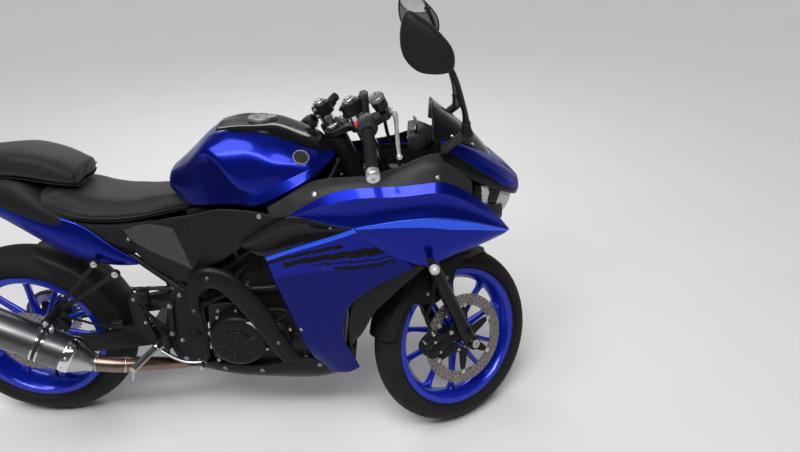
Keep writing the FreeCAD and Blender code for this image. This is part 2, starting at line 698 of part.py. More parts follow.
def belt_outline(grow):
    """Solid stadium over both sprockets, grown outward."""
    rear = -DATUM.x
    front = V(FRONT_SPROCKET_X, 0, FRONT_SPROCKET_Z)
    back = V(rear, 0, REAR_TYRE_R)
    along = front - back
    r_back = REAR_SPROCKET_R + CHAIN_CLEAR + grow
    r_front = FRONT_SPROCKET_R + SEAT_GAP + grow
    tilt = math.acos((r_back - r_front) / along.Length)
    base = math.atan2(along.z, along.x)
    corners = []
    for centre, r, sign in ((back, r_back, 1), (front, r_front, 1), (front, r_front, -1),
                            (back, r_back, -1)):
        a = base + sign * tilt
        corners.append((centre.x + r * math.cos(a), centre.z + r * math.sin(a)))
    y0, y1 = CHAIN_Y
    hull = prism(corners, y0, y1)
    return fuse([hull, disc((back.x, back.z), r_back, y0, y1),
                 disc((front.x, front.z), r_front, y0, y1)])


def chain():
    return belt_outline(CHAIN_H).cut(belt_outline(0))


def rear_shock():
    low = (505, 0, 420)
    high = (455, 0, 640)
    spring = rod((490, 0, 480), (465, 0, 595), 34)
    shaft = rod(low, high, 15)
    eye = disc((505, 420), 18, -18, 18)
    head = disc((455, 640), 18, -RAIL_Y - 40, RAIL_Y + 40)
    return fuse([spring, shaft, eye, head])


def radiator():
    core = prism([(1036, 380), (1062, 376), (1082, 600), (1056, 604)], -125, 125)
    lug = rod((1060, 112, 592), (958, 119, 688), 8)
    return fuse([core, lug, mirrored(lug)])


# ---------------------------------------------------------------- tank, seats and tail
def fuel_tank():
    # x, [(half width, z): bottom, lower side, crease, shoulder, top]
    rows = [
        (545, [(60, 842), (78, 852), (84, 872), (66, 900), (28, 908)]),
        (610, [(70, 818), (98, 832), (108, 872), (92, 936), (42, 962)]),
        (690, [(90, 812), (126, 836), (134, 884), (112, 982), (52, 1024)]),
        (800, [(108, 806), (150, 832), (164, 886), (140, 985), (60, 1028)]),
        (900, [(112, 826), (158, 856), (160, 893), (116, 952), (58, 1000)]),
        (940, [(104, 846), (146, 870), (146, 903), (92, 950), (50, 984)]),
        (985, [(60, 896), (92, 904), (86, 928), (50, 948), (28, 956)]),
    ]
    return body(rows)


def tank_cover():
    """Raised centre cover with a flat land for the filler cap."""
    rows = [
        (690, [(70, 1000), (60, 1022), (36, 1034)]),
        (740, [(74, 1006), (64, 1030), (44, CAP_Z)]),
        (850, [(74, 1000), (64, 1026), (44, CAP_Z)]),
        (915, [(58, 970), (50, 994), (34, 1004)]),
        (972, [(38, 940), (32, 960), (18, 967)]),
    ]
    return fuse([body(rows), cap_hinge()])


def fuel_cap():
    """Round lid with a hinge knuckle at its front edge."""
    base = CAP_Z + SEAT_GAP
    lid = Part.makeCylinder(CAP_R, CAP_T, V(CAP_X, 0, base))
    lug = box(CAP_X + 20, CAP_X + CAP_R + 6, -9, 9, base + 1, base + CAP_T)
    knuckle = disc((CAP_X + CAP_R + 6, base + CAP_T - 4), CAP_PIN_R + 2, -9, 9)
    pin_hole = disc((CAP_X + CAP_R + 6, base + CAP_T - 4), CAP_PIN_R, -20, 20)
    return fuse([lid, lug, knuckle]).cut(pin_hole)


def cap_hinge():
    """Two ears and the pin that carry the lid."""
    x = CAP_X + CAP_R + 6
    z = CAP_Z + SEAT_GAP + CAP_T - 4
    ear = box(x - 5, x + 5, 9.5, 13, CAP_Z - 3, z + 4)
    pin = disc((x, z), CAP_PIN_R - RUN_CLEAR, -13, 13)
    return fuse([ear, mirrored(ear), pin])


def rider_seat():
    rows = [
        (160, [(96, 806), (116, 830), (96, 858), (40, 865)]),
        (260, [(112, 776), (138, 796), (116, 828), (50, 836)]),
        (400, [(104, 766), (128, 784), (106, 810), (50, 817)]),
        (500, [(86, 780), (106, 792), (88, 822), (40, 830)]),
        (596, [(60, 792), (76, 800), (66, 828), (30, 838)]),
    ]
    return body(rows)


def pillion_seat():
    rows = [
        (-130, [(34, 904), (46, 914), (40, 930), (20, 938)]),
        (-40, [(66, 896), (82, 912), (70, 942), (30, 952)]),
        (100, [(80, 892), (100, 908), (86, 948), (40, 960)]),
        (200, [(76, 878), (94, 894), (80, 926), (40, 938)]),
        (262, [(70, 860), (84, 876), (74, 902), (36, 910)]),
    ]
    return body(rows)


def tail_core():
    """Closed inner tail between the seats, the side bands and the undertray."""
    rows = [
        (-250, [(30, 868), (44, 878), (44, 892), (30, 902)]),
        (-40, [(70, 800), (84, 815), (84, 880), (68, 895)]),
        (100, [(84, 742), (102, 760), (102, 850), (78, 880)]),
        (190, [(90, 702), (108, 722), (108, 800), (84, 812)]),
        (260, [(92, 676), (110, 696), (110, 765), (96, 775)]),
        (400, [(92, 652), (108, 665), (108, 750), (94, 765)]),
        (470, [(84, 660), (100, 670), (100, 752), (84, 768)]),
    ]
    return body(rows)


def tail_cowl():
    """Painted side band of the tail."""
    rows = [
        (-270, [(52, 850), (52, 930)]),
        (-40, [(94, 780), (94, 900)]),
        (100, [(118, 700), (116, 840)]),
        (260, [(130, 640), (126, 790)]),
        (430, [(132, 610), (126, 760)]),
    ]
    rows = [(x, list(reversed(points))) for x, points in rows]
    band = prism([(424, 630), (355, 628), (245, 648), (164, 690), (35, 768), (-110, 832),
                  (-255, 868), (-262, 900), (-110, 880), (52, 832), (172, 788), (282, 758),
                  (330, 735), (418, 648)], 0, 200)
    return both(skin(rows, 12).common(band))


def tail_light():
    return prism([(-250, 872), (-274, 874), (-284, 884), (-272, 898), (-250, 898)], -38, 38)


def plate_back():
    """Rear face of the plate holder, behind the tyre."""
    return -DATUM.x - REAR_TYRE_R - PLATE_BACK


def plate_holder():
    back = plate_back()
    arm = prism([(-190, 862), (-240, 866), (back + 78, 720), (back, 600), (back - 9, 560),
                 (back + 8, 556), (back + 38, 612), (-230, 800)], -28, 28)
    arm = arm.cut(tail_core())
    plate = prism(strip((back + 4, 606), (back + 74, 714), 4), -85, 85)
    lamp = prism(strip((back + 82, 726), (back + 100, 753), 16), -22, 22)
    return largest(fuse([arm, plate, lamp]))


def side_covers():
    """Textured side cover between seat, tank and engine."""
    rows = [
        (380, [(118, 790), (124, 720), (120, 640), (112, 570)]),
        (560, [(112, 840), (134, 760), (140, 680), (136, 560)]),
        (700, [(132, 850), (158, 770), (166, 700), (160, 560)]),
        (900, [(160, 860), (188, 790), (190, 700), (180, 560)]),
    ]
    outline = [(388, 725), (398, 748), (516, 776), (600, 788), (640, 812), (790, 806), (884, 802),
               (770, 730), (690, 682), (628, 648), (600, 600), (575, 583), (517, 596), (463, 628),
               (424, 656)]
    return both(skin(rows, SKIN).common(prism(outline, 0, 300)))


# ---------------------------------------------------------------- fairings
def fairing_rows():
    """Outer face of the flank. x, [(y, z)] from the top edge to the belly."""
    y = FAIRING_Y
    return [
        (790, [(y - 34, 860), (y - 22, 800), (y - 34, 690), (y - 42, 560), (y - 54, 420), (y - 90, 270)]),
        (900, [(y - 28, 880), (y - 14, 800), (y - 24, 690), (y - 32, 560), (y - 44, 420), (y - 80, 270)]),
        (1050, [(y - 22, 915), (y - 5, 805), (y - 18, 690), (y - 28, 560), (y - 42, 420), (y - 76, 270)]),
        (1180, [(y - 22, 930), (y, 808), (y - 16, 690), (y - 30, 560), (y - 46, 420), (y - 80, 270)]),
        (1300, [(y - 36, 945), (y - 10, 812), (y - 26, 680), (y - 44, 560), (y - 60, 420), (y - 95, 270)]),
        (1400, [(y - 66, 930), (y - 42, 806), (y - 58, 670), (y - 74, 560), (y - 90, 420), (y - 120, 270)]),
        (1460, [(y - 98, 900), (y - 78, 790), (y - 92, 670), (y - 105, 560), (y - 115, 420), (y - 140, 270)]),
        (1520, [(y - 130, 860), (y - 112, 770), (y - 124, 670), (y - 135, 560), (y - 140, 420), (y - 160, 270)]),
    ]


UPPER_OUTLINE = [(896, 832), (953, 867), (1007, 888), (1061, 902), (1114, 910), (1193, 912),
                 (1297, 923), (1351, 904), (1405, 875), (1456, 800), (1508, 738), (1484, 724),
                 (1428, 694), (1361, 709), (1278, 679), (1250, 670), (1180, 692), (1097, 739),
                 (1071, 784), (1030, 796), (936, 812)]
LOWER_OUTLINE = [(819, 690), (916, 718), (1001, 753), (1071, 784), (1097, 739), (1180, 692),
                 (1250, 670), (1270, 655), (1195, 580), (1151, 525), (1105, 455), (1055, 368),
                 (1078, 312), (1048, 285), (966, 308), (929, 356), (897, 430), (859, 535),
                 (837, 620)]
MID_OUTLINE = [(770, 730), (884, 802), (930, 812), (1030, 796), (1071, 784), (1001, 753),
               (916, 718), (819, 690), (790, 700)]


def flank(outline, thickness, inset):
    rows = [(x, [(y - inset, z) for y, z in points]) for x, points in fairing_rows()]
    return skin(rows, thickness).common(prism(outline, 0, 400))


def upper_fairings():
    return both(flank(UPPER_OUTLINE, SKIN, 0))


def lower_fairings():
    return both(flank(LOWER_OUTLINE, SKIN, 0))


def mid_panels():
    """Glossy panel tucked in between the flank, the tank and the side cover."""
    return both(flank(MID_OUTLINE, SKIN, 10))


def belly_pan():
    rows = [
        (556, [(-122, 275), (-112, 240), (-70, 228), (70, 228), (112, 240), (122, 275)]),
        (700, [(-146, 280), (-126, 226), (-70, 203), (70, 203), (126, 226), (146, 280)]),
        (800, [(-148, 280), (-127, 224), (-70, 198), (70, 198), (127, 224), (148, 280)]),
        (870, [(-150, 310), (-128, 222), (-70, 195), (70, 195), (128, 222), (150, 310)]),
        (960, [(-146, 305), (-124, 226), (-66, 202), (66, 202), (124, 226), (146, 305)]),
        (1052, [(-128, 288), (-108, 244), (-58, 224), (58, 224), (108, 244), (128, 288)]),
    ]
    return skin(rows, SKIN)


def inner_panels():
    """Dark panels between the tank, the screen and the upper cowl."""
    rows = [
        (1000, [(120, 960), (170, 925), (192, 895)]),
        (1200, [(140, 965), (172, 940), (194, 906)]),
        (1300, [(128, 1000), (158, 975), (180, 916)]),
        (1390, [(84, 985), (118, 955), (146, 890)]),
    ]
    outline = [(1003, 890), (1020, 930), (1198, 956), (1233, 974), (1299, 978), (1372, 964),
               (1372, 900), (1297, 926), (1193, 915), (1114, 913), (1061, 905)]
    return both(skin(rows, SKIN).common(prism(outline, 0, 400)))


def nose_cowl():
    rows = [
        (1300, [(112, 1012), (136, 1000), (150, 960)]),
        (1370, [(84, 995), (112, 982), (132, 930)]),
        (1440, [(50, 950), (88, 935), (112, 890)]),
        (1500, [(24, 905), (60, 892), (84, 860)]),
        (1542, [(10, 860), (30, 852), (44, 830)]),
    ]
    side = skin(rows, SKIN)
    outline = [(1302, 1012), (1420, 978), (1545, 870), (1545, 822), (1445, 896), (1374, 924),
               (1302, 1000)]
    bridge = body([(1400, [(66, 968), (60, 972)]), (1500, [(27, 901), (24, 905)]),
                   (1542, [(14, 856), (10, 860)])])
    side = side.common(prism(outline, 0, 200))
    return fuse([side, mirrored(side), bridge])


def headlights():
    """Lamp block behind the nose with an eye each side and a centre duct."""
    rows = [
        (1385, [(96, 800), (112, 850), (104, 900), (60, 930)]),
        (1440, [(80, 775), (92, 830), (84, 868), (40, 895)]),
        (1490, [(52, 775), (62, 820), (52, 852), (24, 868)]),
    ]
    duct = box(1380, 1500, -24, 24, 770, 830)
    return body(rows).cut(duct)


def windscreen():
    rows = [
        (1281, [(0, 1094), (60, 1084), (96, 1050), (112, 1012)]),
        (1371, [(0, 1024), (52, 1014), (76, 1000), (84, 995)]),
        (1450, [(0, 944), (30, 942), (44, 940), (48, 938)]),
    ]
    half = skin(rows, 3)
    return fuse([half, mirrored(half)])


def instrument():
    return prism([(1218, 960), (1290, 966), (1290, 1012), (1240, 1020)], -70, 70)


def mirrors():
    """Mirrors folded back along the bike: base, stalk and a head with a domed outer side."""
    base = rod((1369, 140, 1040), (1364, 150, 1072), 13)
    stalk = tube([(1364, 150, 1068), (1352, 190, 1120), (1318, MIRROR_Y - 22, 1212),
                  (1300, MIRROR_Y - 6, 1246)], 7.5, 40)
    # x, z of the head's rim
    rim_line = [(1300, 1226), (1236, 1228), (1204, 1256), (1190, 1290), (1196, 1346), (1208, 1366),
                (1256, 1338), (1308, 1284), (1316, 1240)]
    middle = (1256, 1290)
    sections = []
    for y, grow in ((MIRROR_Y - 16, 1.0), (MIRROR_Y + 4, 1.0), (MIRROR_Y + 18, 0.72)):
        ringed = [(middle[0] + (x - middle[0]) * grow, middle[1] + (z - middle[1]) * grow)
                  for x, z in rim_line]
        sections.append([V(x, y, z) for x, z in ringed])
    return both(fuse([base, stalk, loft(sections)]))


def turn_signals():
    cowl = flank(UPPER_OUTLINE, SKIN, 0)
    root = reach((1280, FAIRING_Y + 120, 690), (1266, 0, 702), cowl, 0)
    neck = (1280, root[1] + 22, 692)
    front = fuse([rod(root, neck, 8), cone(neck, (1290, root[1] + 66, 686), 10, 15)])
    # The rear stems stand on the plate holder's arm, inside its rear edge.
    stem = -240 + (plate_back() + 318) * 0.83 + 14.7
    rear = fuse([rod((stem, 26, 745), (stem - 34, 62, 747), 7),
                 cone((stem - 34, 60, 747), (stem - 38, 110, 750), 9, 15)])
    return group([both(front), both(rear)])


# Stays that hold each panel: start on the chassis, a point further out, and the panel met.
PANEL_STAYS = [
    ((1301, 50, 895), (1301, 300, 880), "upper_fairings"),
    ((960, 68, 833), (960, 300, 850), "upper_fairings"),
    ((960, 116, 688), (960, 300, 680), "lower_fairings"),
    ((1050, 120, 430), (1050, 300, 425), "lower_fairings"),
    ((910, 120, 400), (950, 300, 400), "lower_fairings"),
    ((890, 100, 772), (890, 300, 775), "mid_panels"),
    ((720, 122, 650), (720, 200, 770), "side_covers"),
    ((450, 95, 700), (450, 300, 690), "side_covers"),
    ((800, 120, 275), (800, 300, 262), "belly_pan"),
]


def panel_stays(shapes):
    bars = []
    for start, through, target in PANEL_STAYS:
        end = reach(start, through, shapes[target], SKIN / 2)
        bar = rod(start, end, STAY_R)
        for other in (target, "frame", "front_stay", "engine", "radiator", "tail_core"):
            bar = bar.cut(shapes[other])
        bar = largest(bar)
        bars += [bar, mirrored(bar)]
    return group(bars)


# ---------------------------------------------------------------- exhaust, controls, stand
def exhaust_pipe():
    left = tube([(955, 42, 560), (1008, 42, 520), (1006, 42, 300), (960, 30, 232), (860, 0, 232)],
                PIPE_R - 3, 50)
    right = tube([(955, -42, 560), (1008, -42, 520), (1006, -42, 300), (960, -30, 232),
                  (860, 0, 232)], PIPE_R - 3, 50)
    main = tube([(890, 0, 232), (620, 0, 232), (520, -60, 236), (430, -150, 290),
                 (340, -192, 318), (262, -196, 330)], PIPE_R, 70)
    return fuse([left, right, main])


def muffler():
    front = V(*MUFFLER_FRONT)
    rear = V(*MUFFLER_REAR)
    along = (front - rear).normalize()
    throat = front + along * 62
    can = rod(MUFFLER_REAR, MUFFLER_FRONT, MUFFLER_R)
    lip = front + along * 5
    collar = cone((front.x, front.y, front.z), (throat.x, throat.y, throat.z), MUFFLER_R - 3,
                  PIPE_R + 5)
    outlet = rod(MUFFLER_REAR, tuple(rear - along * 24), 30)
    bore = rod(tuple(rear + along * 40), tuple(rear - along * 30), 24)
    return fuse([can, collar, outlet]).cut(bore)


def muffler_bracket():
    arm = prism([(290, 660), (366, 622), (372, 606), (352, 598), (150, 470), (132, 486)], -150, -140)
    window = prism([(298, 636), (344, 614), (222, 540), (206, 552)], -151, -139)
    foot = rod((146, -150, 478), (140, -190, 440), 13)
    return fuse([arm.cut(window), foot])


def rearsets():
    """Heel plates, folding pegs and foot levers on both sides."""
    plate = prism([(360, 470), (400, 548), (470, 560), (520, 520), (505, 430), (480, 338),
                   (440, 320), (395, 342)], PLATE_OUT + 8, PLATE_OUT + 14)
    window = prism([(405, 450), (430, 510), (470, 500), (455, 420)], 100, 200)
    spacers = [disc((500, 500), 10, PLATE_OUT, PLATE_OUT + 8),
               disc((492, 400), 10, PLATE_OUT, PLATE_OUT + 8)]
    peg = rod((440, PLATE_OUT + 10, 352), (405, 262, 352), 11)
    feeler = rod((405, 262, 352), (400, 268, 318), 4)
    pedal = tube([(452, PLATE_OUT + 22, 342), (520, PLATE_OUT + 30, 306), (590, PLATE_OUT + 30, 308)],
                 6, 30)
    toe = rod((586, PLATE_OUT + 26, 308), (586, PLATE_OUT + 66, 308), 8)
    link = rod((452, PLATE_OUT + 10, 342), (452, PLATE_OUT + 28, 342), 9)
    side = fuse([plate.cut(window)] + spacers + [peg, feeler, pedal, toe, link])
    return both(side)


def stand_foot():
    """Foot centre: the leg runs forward and outward until it meets the leaned ground."""
    x, y, z = STAND_PIVOT
    foot_y = y + STAND_LEG[1]
    ground = foot_y * math.tan(math.radians(LEAN))
    return V(x + STAND_LEG[0], foot_y, ground)


def stand_down():
    return (stand_foot() - V(*STAND_PIVOT)).normalize()


def stand_back():
    return V(*STAND_FOLDED).normalize()


def stand_axis():
    """Hinge axis square to the leg both down and folded back."""
    return stand_down().cross(stand_back()).normalize()


def stand_travel():
    """Degrees from down to folded."""
    return math.degrees(stand_down().getAngle(stand_back()))


def side_stand():
    pivot = V(*STAND_PIVOT)
    foot = stand_foot()
    lean = math.radians(LEAN)
    up = V(0, -math.sin(lean), math.cos(lean))
    sole = Part.makeCylinder(26, 6, foot, up)
    ankle = foot + up * 14
    axis = stand_axis()
    leg = rod(pivot, ankle, STAND_R)
    leg = leg.cut(rod(pivot + axis * STAND_EYE, pivot + axis * 40, STAND_PIN_R + 12))
    leg = leg.cut(rod(pivot - axis * STAND_EYE, pivot - axis * 40, STAND_PIN_R + 12))
    shin = rod(foot + up * 3, ankle + up * 10, STAND_R + 3)
    eye = rod(pivot - axis * STAND_EYE, pivot + axis * STAND_EYE, STAND_PIN_R + 9)
    whole = fuse([leg, shin, sole, eye])
    return whole.cut(rod(pivot - axis * 30, pivot + axis * 30, STAND_PIN_R + RUN_CLEAR))


# ---------------------------------------------------------------- nodes
# Local frame of each node: wheels about their axle, steering about its axis, chassis in stations.
FRONT_WHEEL = {"front_tyre": front_tyre, "front_rim": front_rim,
               "front_brake_disc": front_brake_disc}
REAR_WHEEL = {"rear_tyre": rear_tyre, "rear_rim": rear_rim, "rear_brake_disc": rear_brake_disc,
              "rear_sprocket": rear_sprocket}
STEERING = {"fork_legs": fork_legs, "triple_clamps": triple_clamps, "front_axle": front_axle,
            "front_fender": front_fender, "front_caliper": front_caliper, "brake_hose": brake_hose,
            "clip_on_bars": clip_on_bars, "grips": grips, "hand_controls": hand_controls,
            "levers": levers}
CHASSIS = {"frame": frame, "front_stay": front_stay, "engine": engine,
           "engine_covers": engine_covers, "swingarm": swingarm, "axle_bolts": axle_bolts,
           "engine_guards": engine_guards, "rear_caliper": rear_caliper, "rear_hugger": rear_hugger,
           "chain": chain, "rear_shock": rear_shock, "radiator": radiator,
           "fuel_tank": fuel_tank, "tank_cover": tank_cover,
           "rider_seat": rider_seat, "pillion_seat": pillion_seat, "tail_core": tail_core,
           "tail_cowl": tail_cowl, "tail_light": tail_light, "plate_holder": plate_holder,
           "side_covers": side_covers, "upper_fairings": upper_fairings,
           "lower_fairings": lower_fairings, "mid_panels": mid_panels, "belly_pan": belly_pan,
           "inner_panels": inner_panels, "nose_cowl": nose_cowl, "headlights": headlights,
           "windscreen": windscreen, "instrument": instrument, "mirrors": mirrors,
           "turn_signals": turn_signals, "exhaust_pipe": exhaust_pipe, "muffler": muffler,
           "muffler_bracket": muffler_bracket, "rearsets": rearsets}


def to_bike_front(shape):
    """Steering frame to the upright bike, bars turned to the left stop."""
    shape.rotate(ORIGIN, Z_AXIS, STEER_STOP)
    shape.rotate(ORIGIN, Y_AXIS, -RAKE)
    shape.translate(STEER_FOOT)
    return shape


def wheel_low(centre, axle, radius, half):
    """Lowest height of a tyre with its centre and axle direction in the world."""
    crown = half + CROWN_EXTRA
    return centre.z - crown - (radius - crown) * math.sqrt(1 - axle.z ** 2)


def parking_pose():
    """Rotation and drop that set both tyres on the ground with the bike on its stand."""
    lean = FreeCAD.Rotation(X_AXIS, -LEAN)
    steer = FreeCAD.Rotation(STEER_AXIS, STEER_STOP)
    front_centre = STEER_FOOT + steer.multVec(V(OFFSET * RAKE_COS, 0, OFFSET * RAKE_SIN))
    front_axle_way = steer.multVec(Y_AXIS)
    rear_centre = V(0, 0, REAR_TYRE_R)
    pitch = 0.0
    for _ in range(6):
        turn = FreeCAD.Rotation(Y_AXIS, pitch).multiply(lean)
        low_front = wheel_low(turn.multVec(front_centre), turn.multVec(front_axle_way),
                              FRONT_TYRE_R, FRONT_TYRE_HALF)
        low_rear = wheel_low(turn.multVec(rear_centre), turn.multVec(Y_AXIS),
                             REAR_TYRE_R, REAR_TYRE_HALF)
        pitch += math.degrees(math.atan2(low_front - low_rear, WHEELBASE))
    return FreeCAD.Placement(V(0, 0, -low_rear), turn)


def wheel_nodes(shapes):
    for node, make in FRONT_WHEEL.items():
        shape = make()
        shape.translate(V(OFFSET, 0, 0))
        shapes[node] = to_bike_front(shape)
    for node, make in REAR_WHEEL.items():
        shapes[node] = make()
        shapes[node].translate(V(0, 0, REAR_TYRE_R))


# A node named first is cut back where it meets the nodes listed after it.
GIVES_WAY = {
    "fork_legs": ["clip_on_bars"],
    "front_tyre": ["front_rim"],
    "rear_tyre": ["rear_rim"],
    "front_fender": ["fork_legs"],
    "front_caliper": ["fork_legs"],
    "triple_clamps": ["fork_legs"],
    "hand_controls": ["clip_on_bars", "fork_legs"],
    "grips": ["hand_controls"],
    "engine": ["frame", "axle_bolts"],
    "engine_guards": ["engine_covers", "engine", "frame"],
    "brake_hose": ["hand_controls", "levers", "front_caliper"],
    "front_stay": ["frame", "radiator"],
    "rear_shock": ["swingarm", "frame"],
    "radiator": ["frame"],
    "rear_caliper": ["swingarm"],
    "rear_hugger": ["swingarm"],
    "engine_covers": ["engine", "chain"],
    "exhaust_pipe": ["engine", "frame", "swingarm"],
    "muffler": ["exhaust_pipe"],
    "muffler_bracket": ["muffler", "frame"],
    "fuel_tank": ["frame"],
    "tank_cover": ["fuel_tank"],
    "tail_core": ["frame"],
    "rider_seat": ["fuel_tank", "tail_core", "frame"],
    "pillion_seat": ["tail_core", "frame", "rider_seat"],
    "tail_cowl": ["tail_core", "frame", "rider_seat", "pillion_seat"],
    "tail_light": ["tail_core", "tail_cowl"],
    "plate_holder": ["tail_core", "frame", "tail_cowl", "tail_light"],
    "belly_pan": ["exhaust_pipe", "lower_fairings", "frame"],
    "side_covers": ["fuel_tank", "rider_seat", "mid_panels", "frame"],
    "inner_panels": ["fuel_tank", "upper_fairings", "nose_cowl", "front_stay"],
    "headlights": ["front_stay", "upper_fairings", "nose_cowl"],
    "nose_cowl": ["upper_fairings", "front_stay"],
    "windscreen": ["nose_cowl", "front_stay", "inner_panels"],
    "instrument": ["front_stay"],
    "mirrors": ["front_stay", "nose_cowl", "windscreen", "inner_panels"],
    "turn_signals": ["upper_fairings", "lower_fairings", "plate_holder"],
    "rearsets": ["frame", "axle_bolts"],
}


def carve(shapes):
    for node, others in GIVES_WAY.items():
        shape = shapes[node]
        for other in others:
            shape = shape.cut(shapes[other])
        shapes[node] = shape


def low_corner(shapes):
    """Bounds of the whole bike, measured on its surfaces."""
    low = V(1e9, 1e9, 1e9)
    high = V(-1e9, -1e9, -1e9)
    for shape in shapes.values():
        for point in shape.tessellate(0.1)[0]:
            low = V(min(low.x, point.x), min(low.y, point.y), min(low.z, point.z))
            high = V(max(high.x, point.x), max(high.y, point.y), max(high.z, point.z))
    return low, high


def build():
    """All nodes in the part's frame, and the placement that maps the upright bike to it."""
    shapes = {}
    wheel_nodes(shapes)
    for node, make in STEERING.items():
        shapes[node] = make()
    for node, make in CHASSIS.items():
        shapes[node] = make()
    shapes["side_stand"] = side_stand()
    shapes["fuel_cap"] = fuel_cap()
    carve(shapes)
    shapes["panel_stays"] = panel_stays(shapes)
    for node in STEERING:
        to_bike_front(shapes[node])
    for node in list(CHASSIS) + ["panel_stays", "side_stand", "fuel_cap"]:
        shapes[node].translate(DATUM)
    pose = parking_pose()
    for node, shape in shapes.items():
        shapes[node] = placed(shape, pose)
    low, high = low_corner(shapes)
    shift = V(-(low.x + high.x) / 2, -(low.y + high.y) / 2, -low.z)
    for shape in shapes.values():
        shape.translate(shift)
    return shapes, FreeCAD.Placement(shift, FreeCAD.Rotation()).multiply(pose)


def placed(shape, pose):
    shape.Placement = pose.multiply(shape.Placement)
    return shape


def main():
    os.makedirs("parts", exist_ok=True)
    shapes, _ = build()
    for node, shape in shapes.items():
        solids = shape.Solids
        whole = solids[0] if len(solids) == 1 else Part.makeCompound(solids)
        whole.exportStep("parts/" + node + ".step")


if __name__ == "__main__":
    main()
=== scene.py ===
import json
import math

import bpy
import numpy as np
from mathutils import Matrix, Vector


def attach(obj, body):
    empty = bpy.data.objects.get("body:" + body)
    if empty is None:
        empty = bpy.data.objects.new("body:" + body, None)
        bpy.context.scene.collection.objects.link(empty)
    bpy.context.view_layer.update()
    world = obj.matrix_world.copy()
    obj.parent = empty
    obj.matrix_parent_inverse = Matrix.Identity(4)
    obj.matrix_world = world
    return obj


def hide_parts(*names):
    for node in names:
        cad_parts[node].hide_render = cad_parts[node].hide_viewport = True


bl_info = {
    "name": "Sport Motorcycle",
    "version": (1, 0, 0),
    "blender": (4, 5, 0),
    "location": "View3D > Sidebar > Motorcycle",
    "description": "Bodywork, wheels and fittings of a faired motorcycle around its CAD frame",
    "category": "Object",
}

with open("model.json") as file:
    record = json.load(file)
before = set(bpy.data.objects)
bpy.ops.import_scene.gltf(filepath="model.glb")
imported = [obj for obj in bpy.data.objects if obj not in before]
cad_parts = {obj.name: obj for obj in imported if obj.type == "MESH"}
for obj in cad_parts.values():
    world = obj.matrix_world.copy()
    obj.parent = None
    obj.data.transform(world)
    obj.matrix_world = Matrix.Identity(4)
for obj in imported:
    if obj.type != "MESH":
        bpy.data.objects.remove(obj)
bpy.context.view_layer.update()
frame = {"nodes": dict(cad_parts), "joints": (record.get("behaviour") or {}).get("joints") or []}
JOINTS = {joint["name"]: joint for joint in frame["joints"]}
RAKE = math.radians(25.0)
REAR_R = 314.0


def unit(v):
    v = np.asarray(v, float)
    return v / np.linalg.norm(v)


SIDE = unit(JOINTS["rear_wheel_spin"]["axis"])
POST = unit(JOINTS["steering_turn"]["axis"])
RAKED = np.cross(SIDE, POST)
FORE = math.cos(RAKE) * RAKED - math.sin(RAKE) * POST
UP = math.sin(RAKE) * RAKED + math.cos(RAKE) * POST
REAR_AXLE = np.array(JOINTS["rear_wheel_spin"]["pos_m"])
FRONT_AXLE = np.array(JOINTS["front_wheel_spin"]["pos_m"])
FRONT_SIDE = unit(JOINTS["front_wheel_spin"]["axis"])
FRONT_FORE = np.cross(FRONT_SIDE, POST)
STEER_FOOT = np.array(JOINTS["steering_turn"]["pos_m"])
OFFSET = float((FRONT_AXLE - STEER_FOOT) @ FRONT_FORE) * 1000

# A space is an origin and three axes that millimetre points are laid along.
BIKE = (REAR_AXLE - UP * REAR_R / 1000, FORE, SIDE, UP)
FORK = (STEER_FOOT, FRONT_FORE, FRONT_SIDE, POST)
REAR_WHEEL = (REAR_AXLE, FORE, SIDE, UP)
FRONT_WHEEL = (FRONT_AXLE, FRONT_FORE, FRONT_SIDE, POST)


def place(points, space):
    """Millimetre points in a space to metres in the part's frame: origin + x*a + y*b + z*c."""
    origin, a, b, c = space
    return origin + np.asarray(points, float) @ np.array([a, b, c]) / 1000


def in_bike(point):
    """A point of the part's frame, in metres, as millimetres in the bike's own space."""
    return (np.asarray(point, float) - BIKE[0]) @ np.array(BIKE[1:]).T * 1000


# ------------------------------------------------------------------ curves and surfaces
def span_weights(knots, at):
    """Natural cubic spline through values at knots, as a matrix from values to samples."""
    n = len(knots)
    h = np.diff(knots)
    k = np.clip(np.searchsorted(knots, at, side="right") - 1, 0, n - 2)
    a = (knots[k + 1] - at) / h[k]
    b = 1 - a
    rows = np.arange(len(at))
    w = np.zeros((len(at), n))
    w[rows, k] += a
    w[rows, k + 1] += b
    if n > 2:
        left = np.eye(n)
        right = np.zeros((n, n))
        i = np.arange(1, n - 1)
        left[i, i - 1], left[i, i], left[i, i + 1] = h[:-1], 2 * (h[:-1] + h[1:]), h[1:]
        right[i, i - 1], right[i, i + 1] = 6 / h[:-1], 6 / h[1:]
        right[i, i] = -6 / h[:-1] - 6 / h[1:]
        curve = np.linalg.solve(left, right)
        w += ((a ** 3 - a) * h[k] ** 2 / 6)[:, None] * curve[k]
        w += ((b ** 3 - b) * h[k] ** 2 / 6)[:, None] * curve[k + 1]
    return w


def weights(knots, steps, breaks=(), closed=False):
    """Spline matrix with steps samples a span; a break is a sharp corner, closed wraps round."""
    knots = np.asarray(knots, float)
    n = len(knots)
    if closed:
        length = knots[-1]
        ring = knots[:-1]
        wide = np.concatenate([ring - length, ring, ring + length])
        at = np.concatenate([ring[i] + (knots[i + 1] - ring[i]) * np.arange(steps) / steps
                             for i in range(n - 1)])
        w = span_weights(wide, at)
        return w[:, :n - 1] + w[:, n - 1:2 * n - 2] + w[:, 2 * n - 2:]
    stops = [0, *breaks, n - 1]
    parts = []
    for lo, hi in zip(stops, stops[1:]):
        at = np.concatenate([np.linspace(knots[i], knots[i + 1], steps, endpoint=False)
                             for i in range(lo, hi)] + [knots[hi:hi + 1]])
        w = np.zeros((len(at), n))
        w[:, lo:hi + 1] = span_weights(knots[lo:hi + 1], at)
        parts.append(w if hi == n - 1 else w[:-1])
    return np.concatenate(parts)


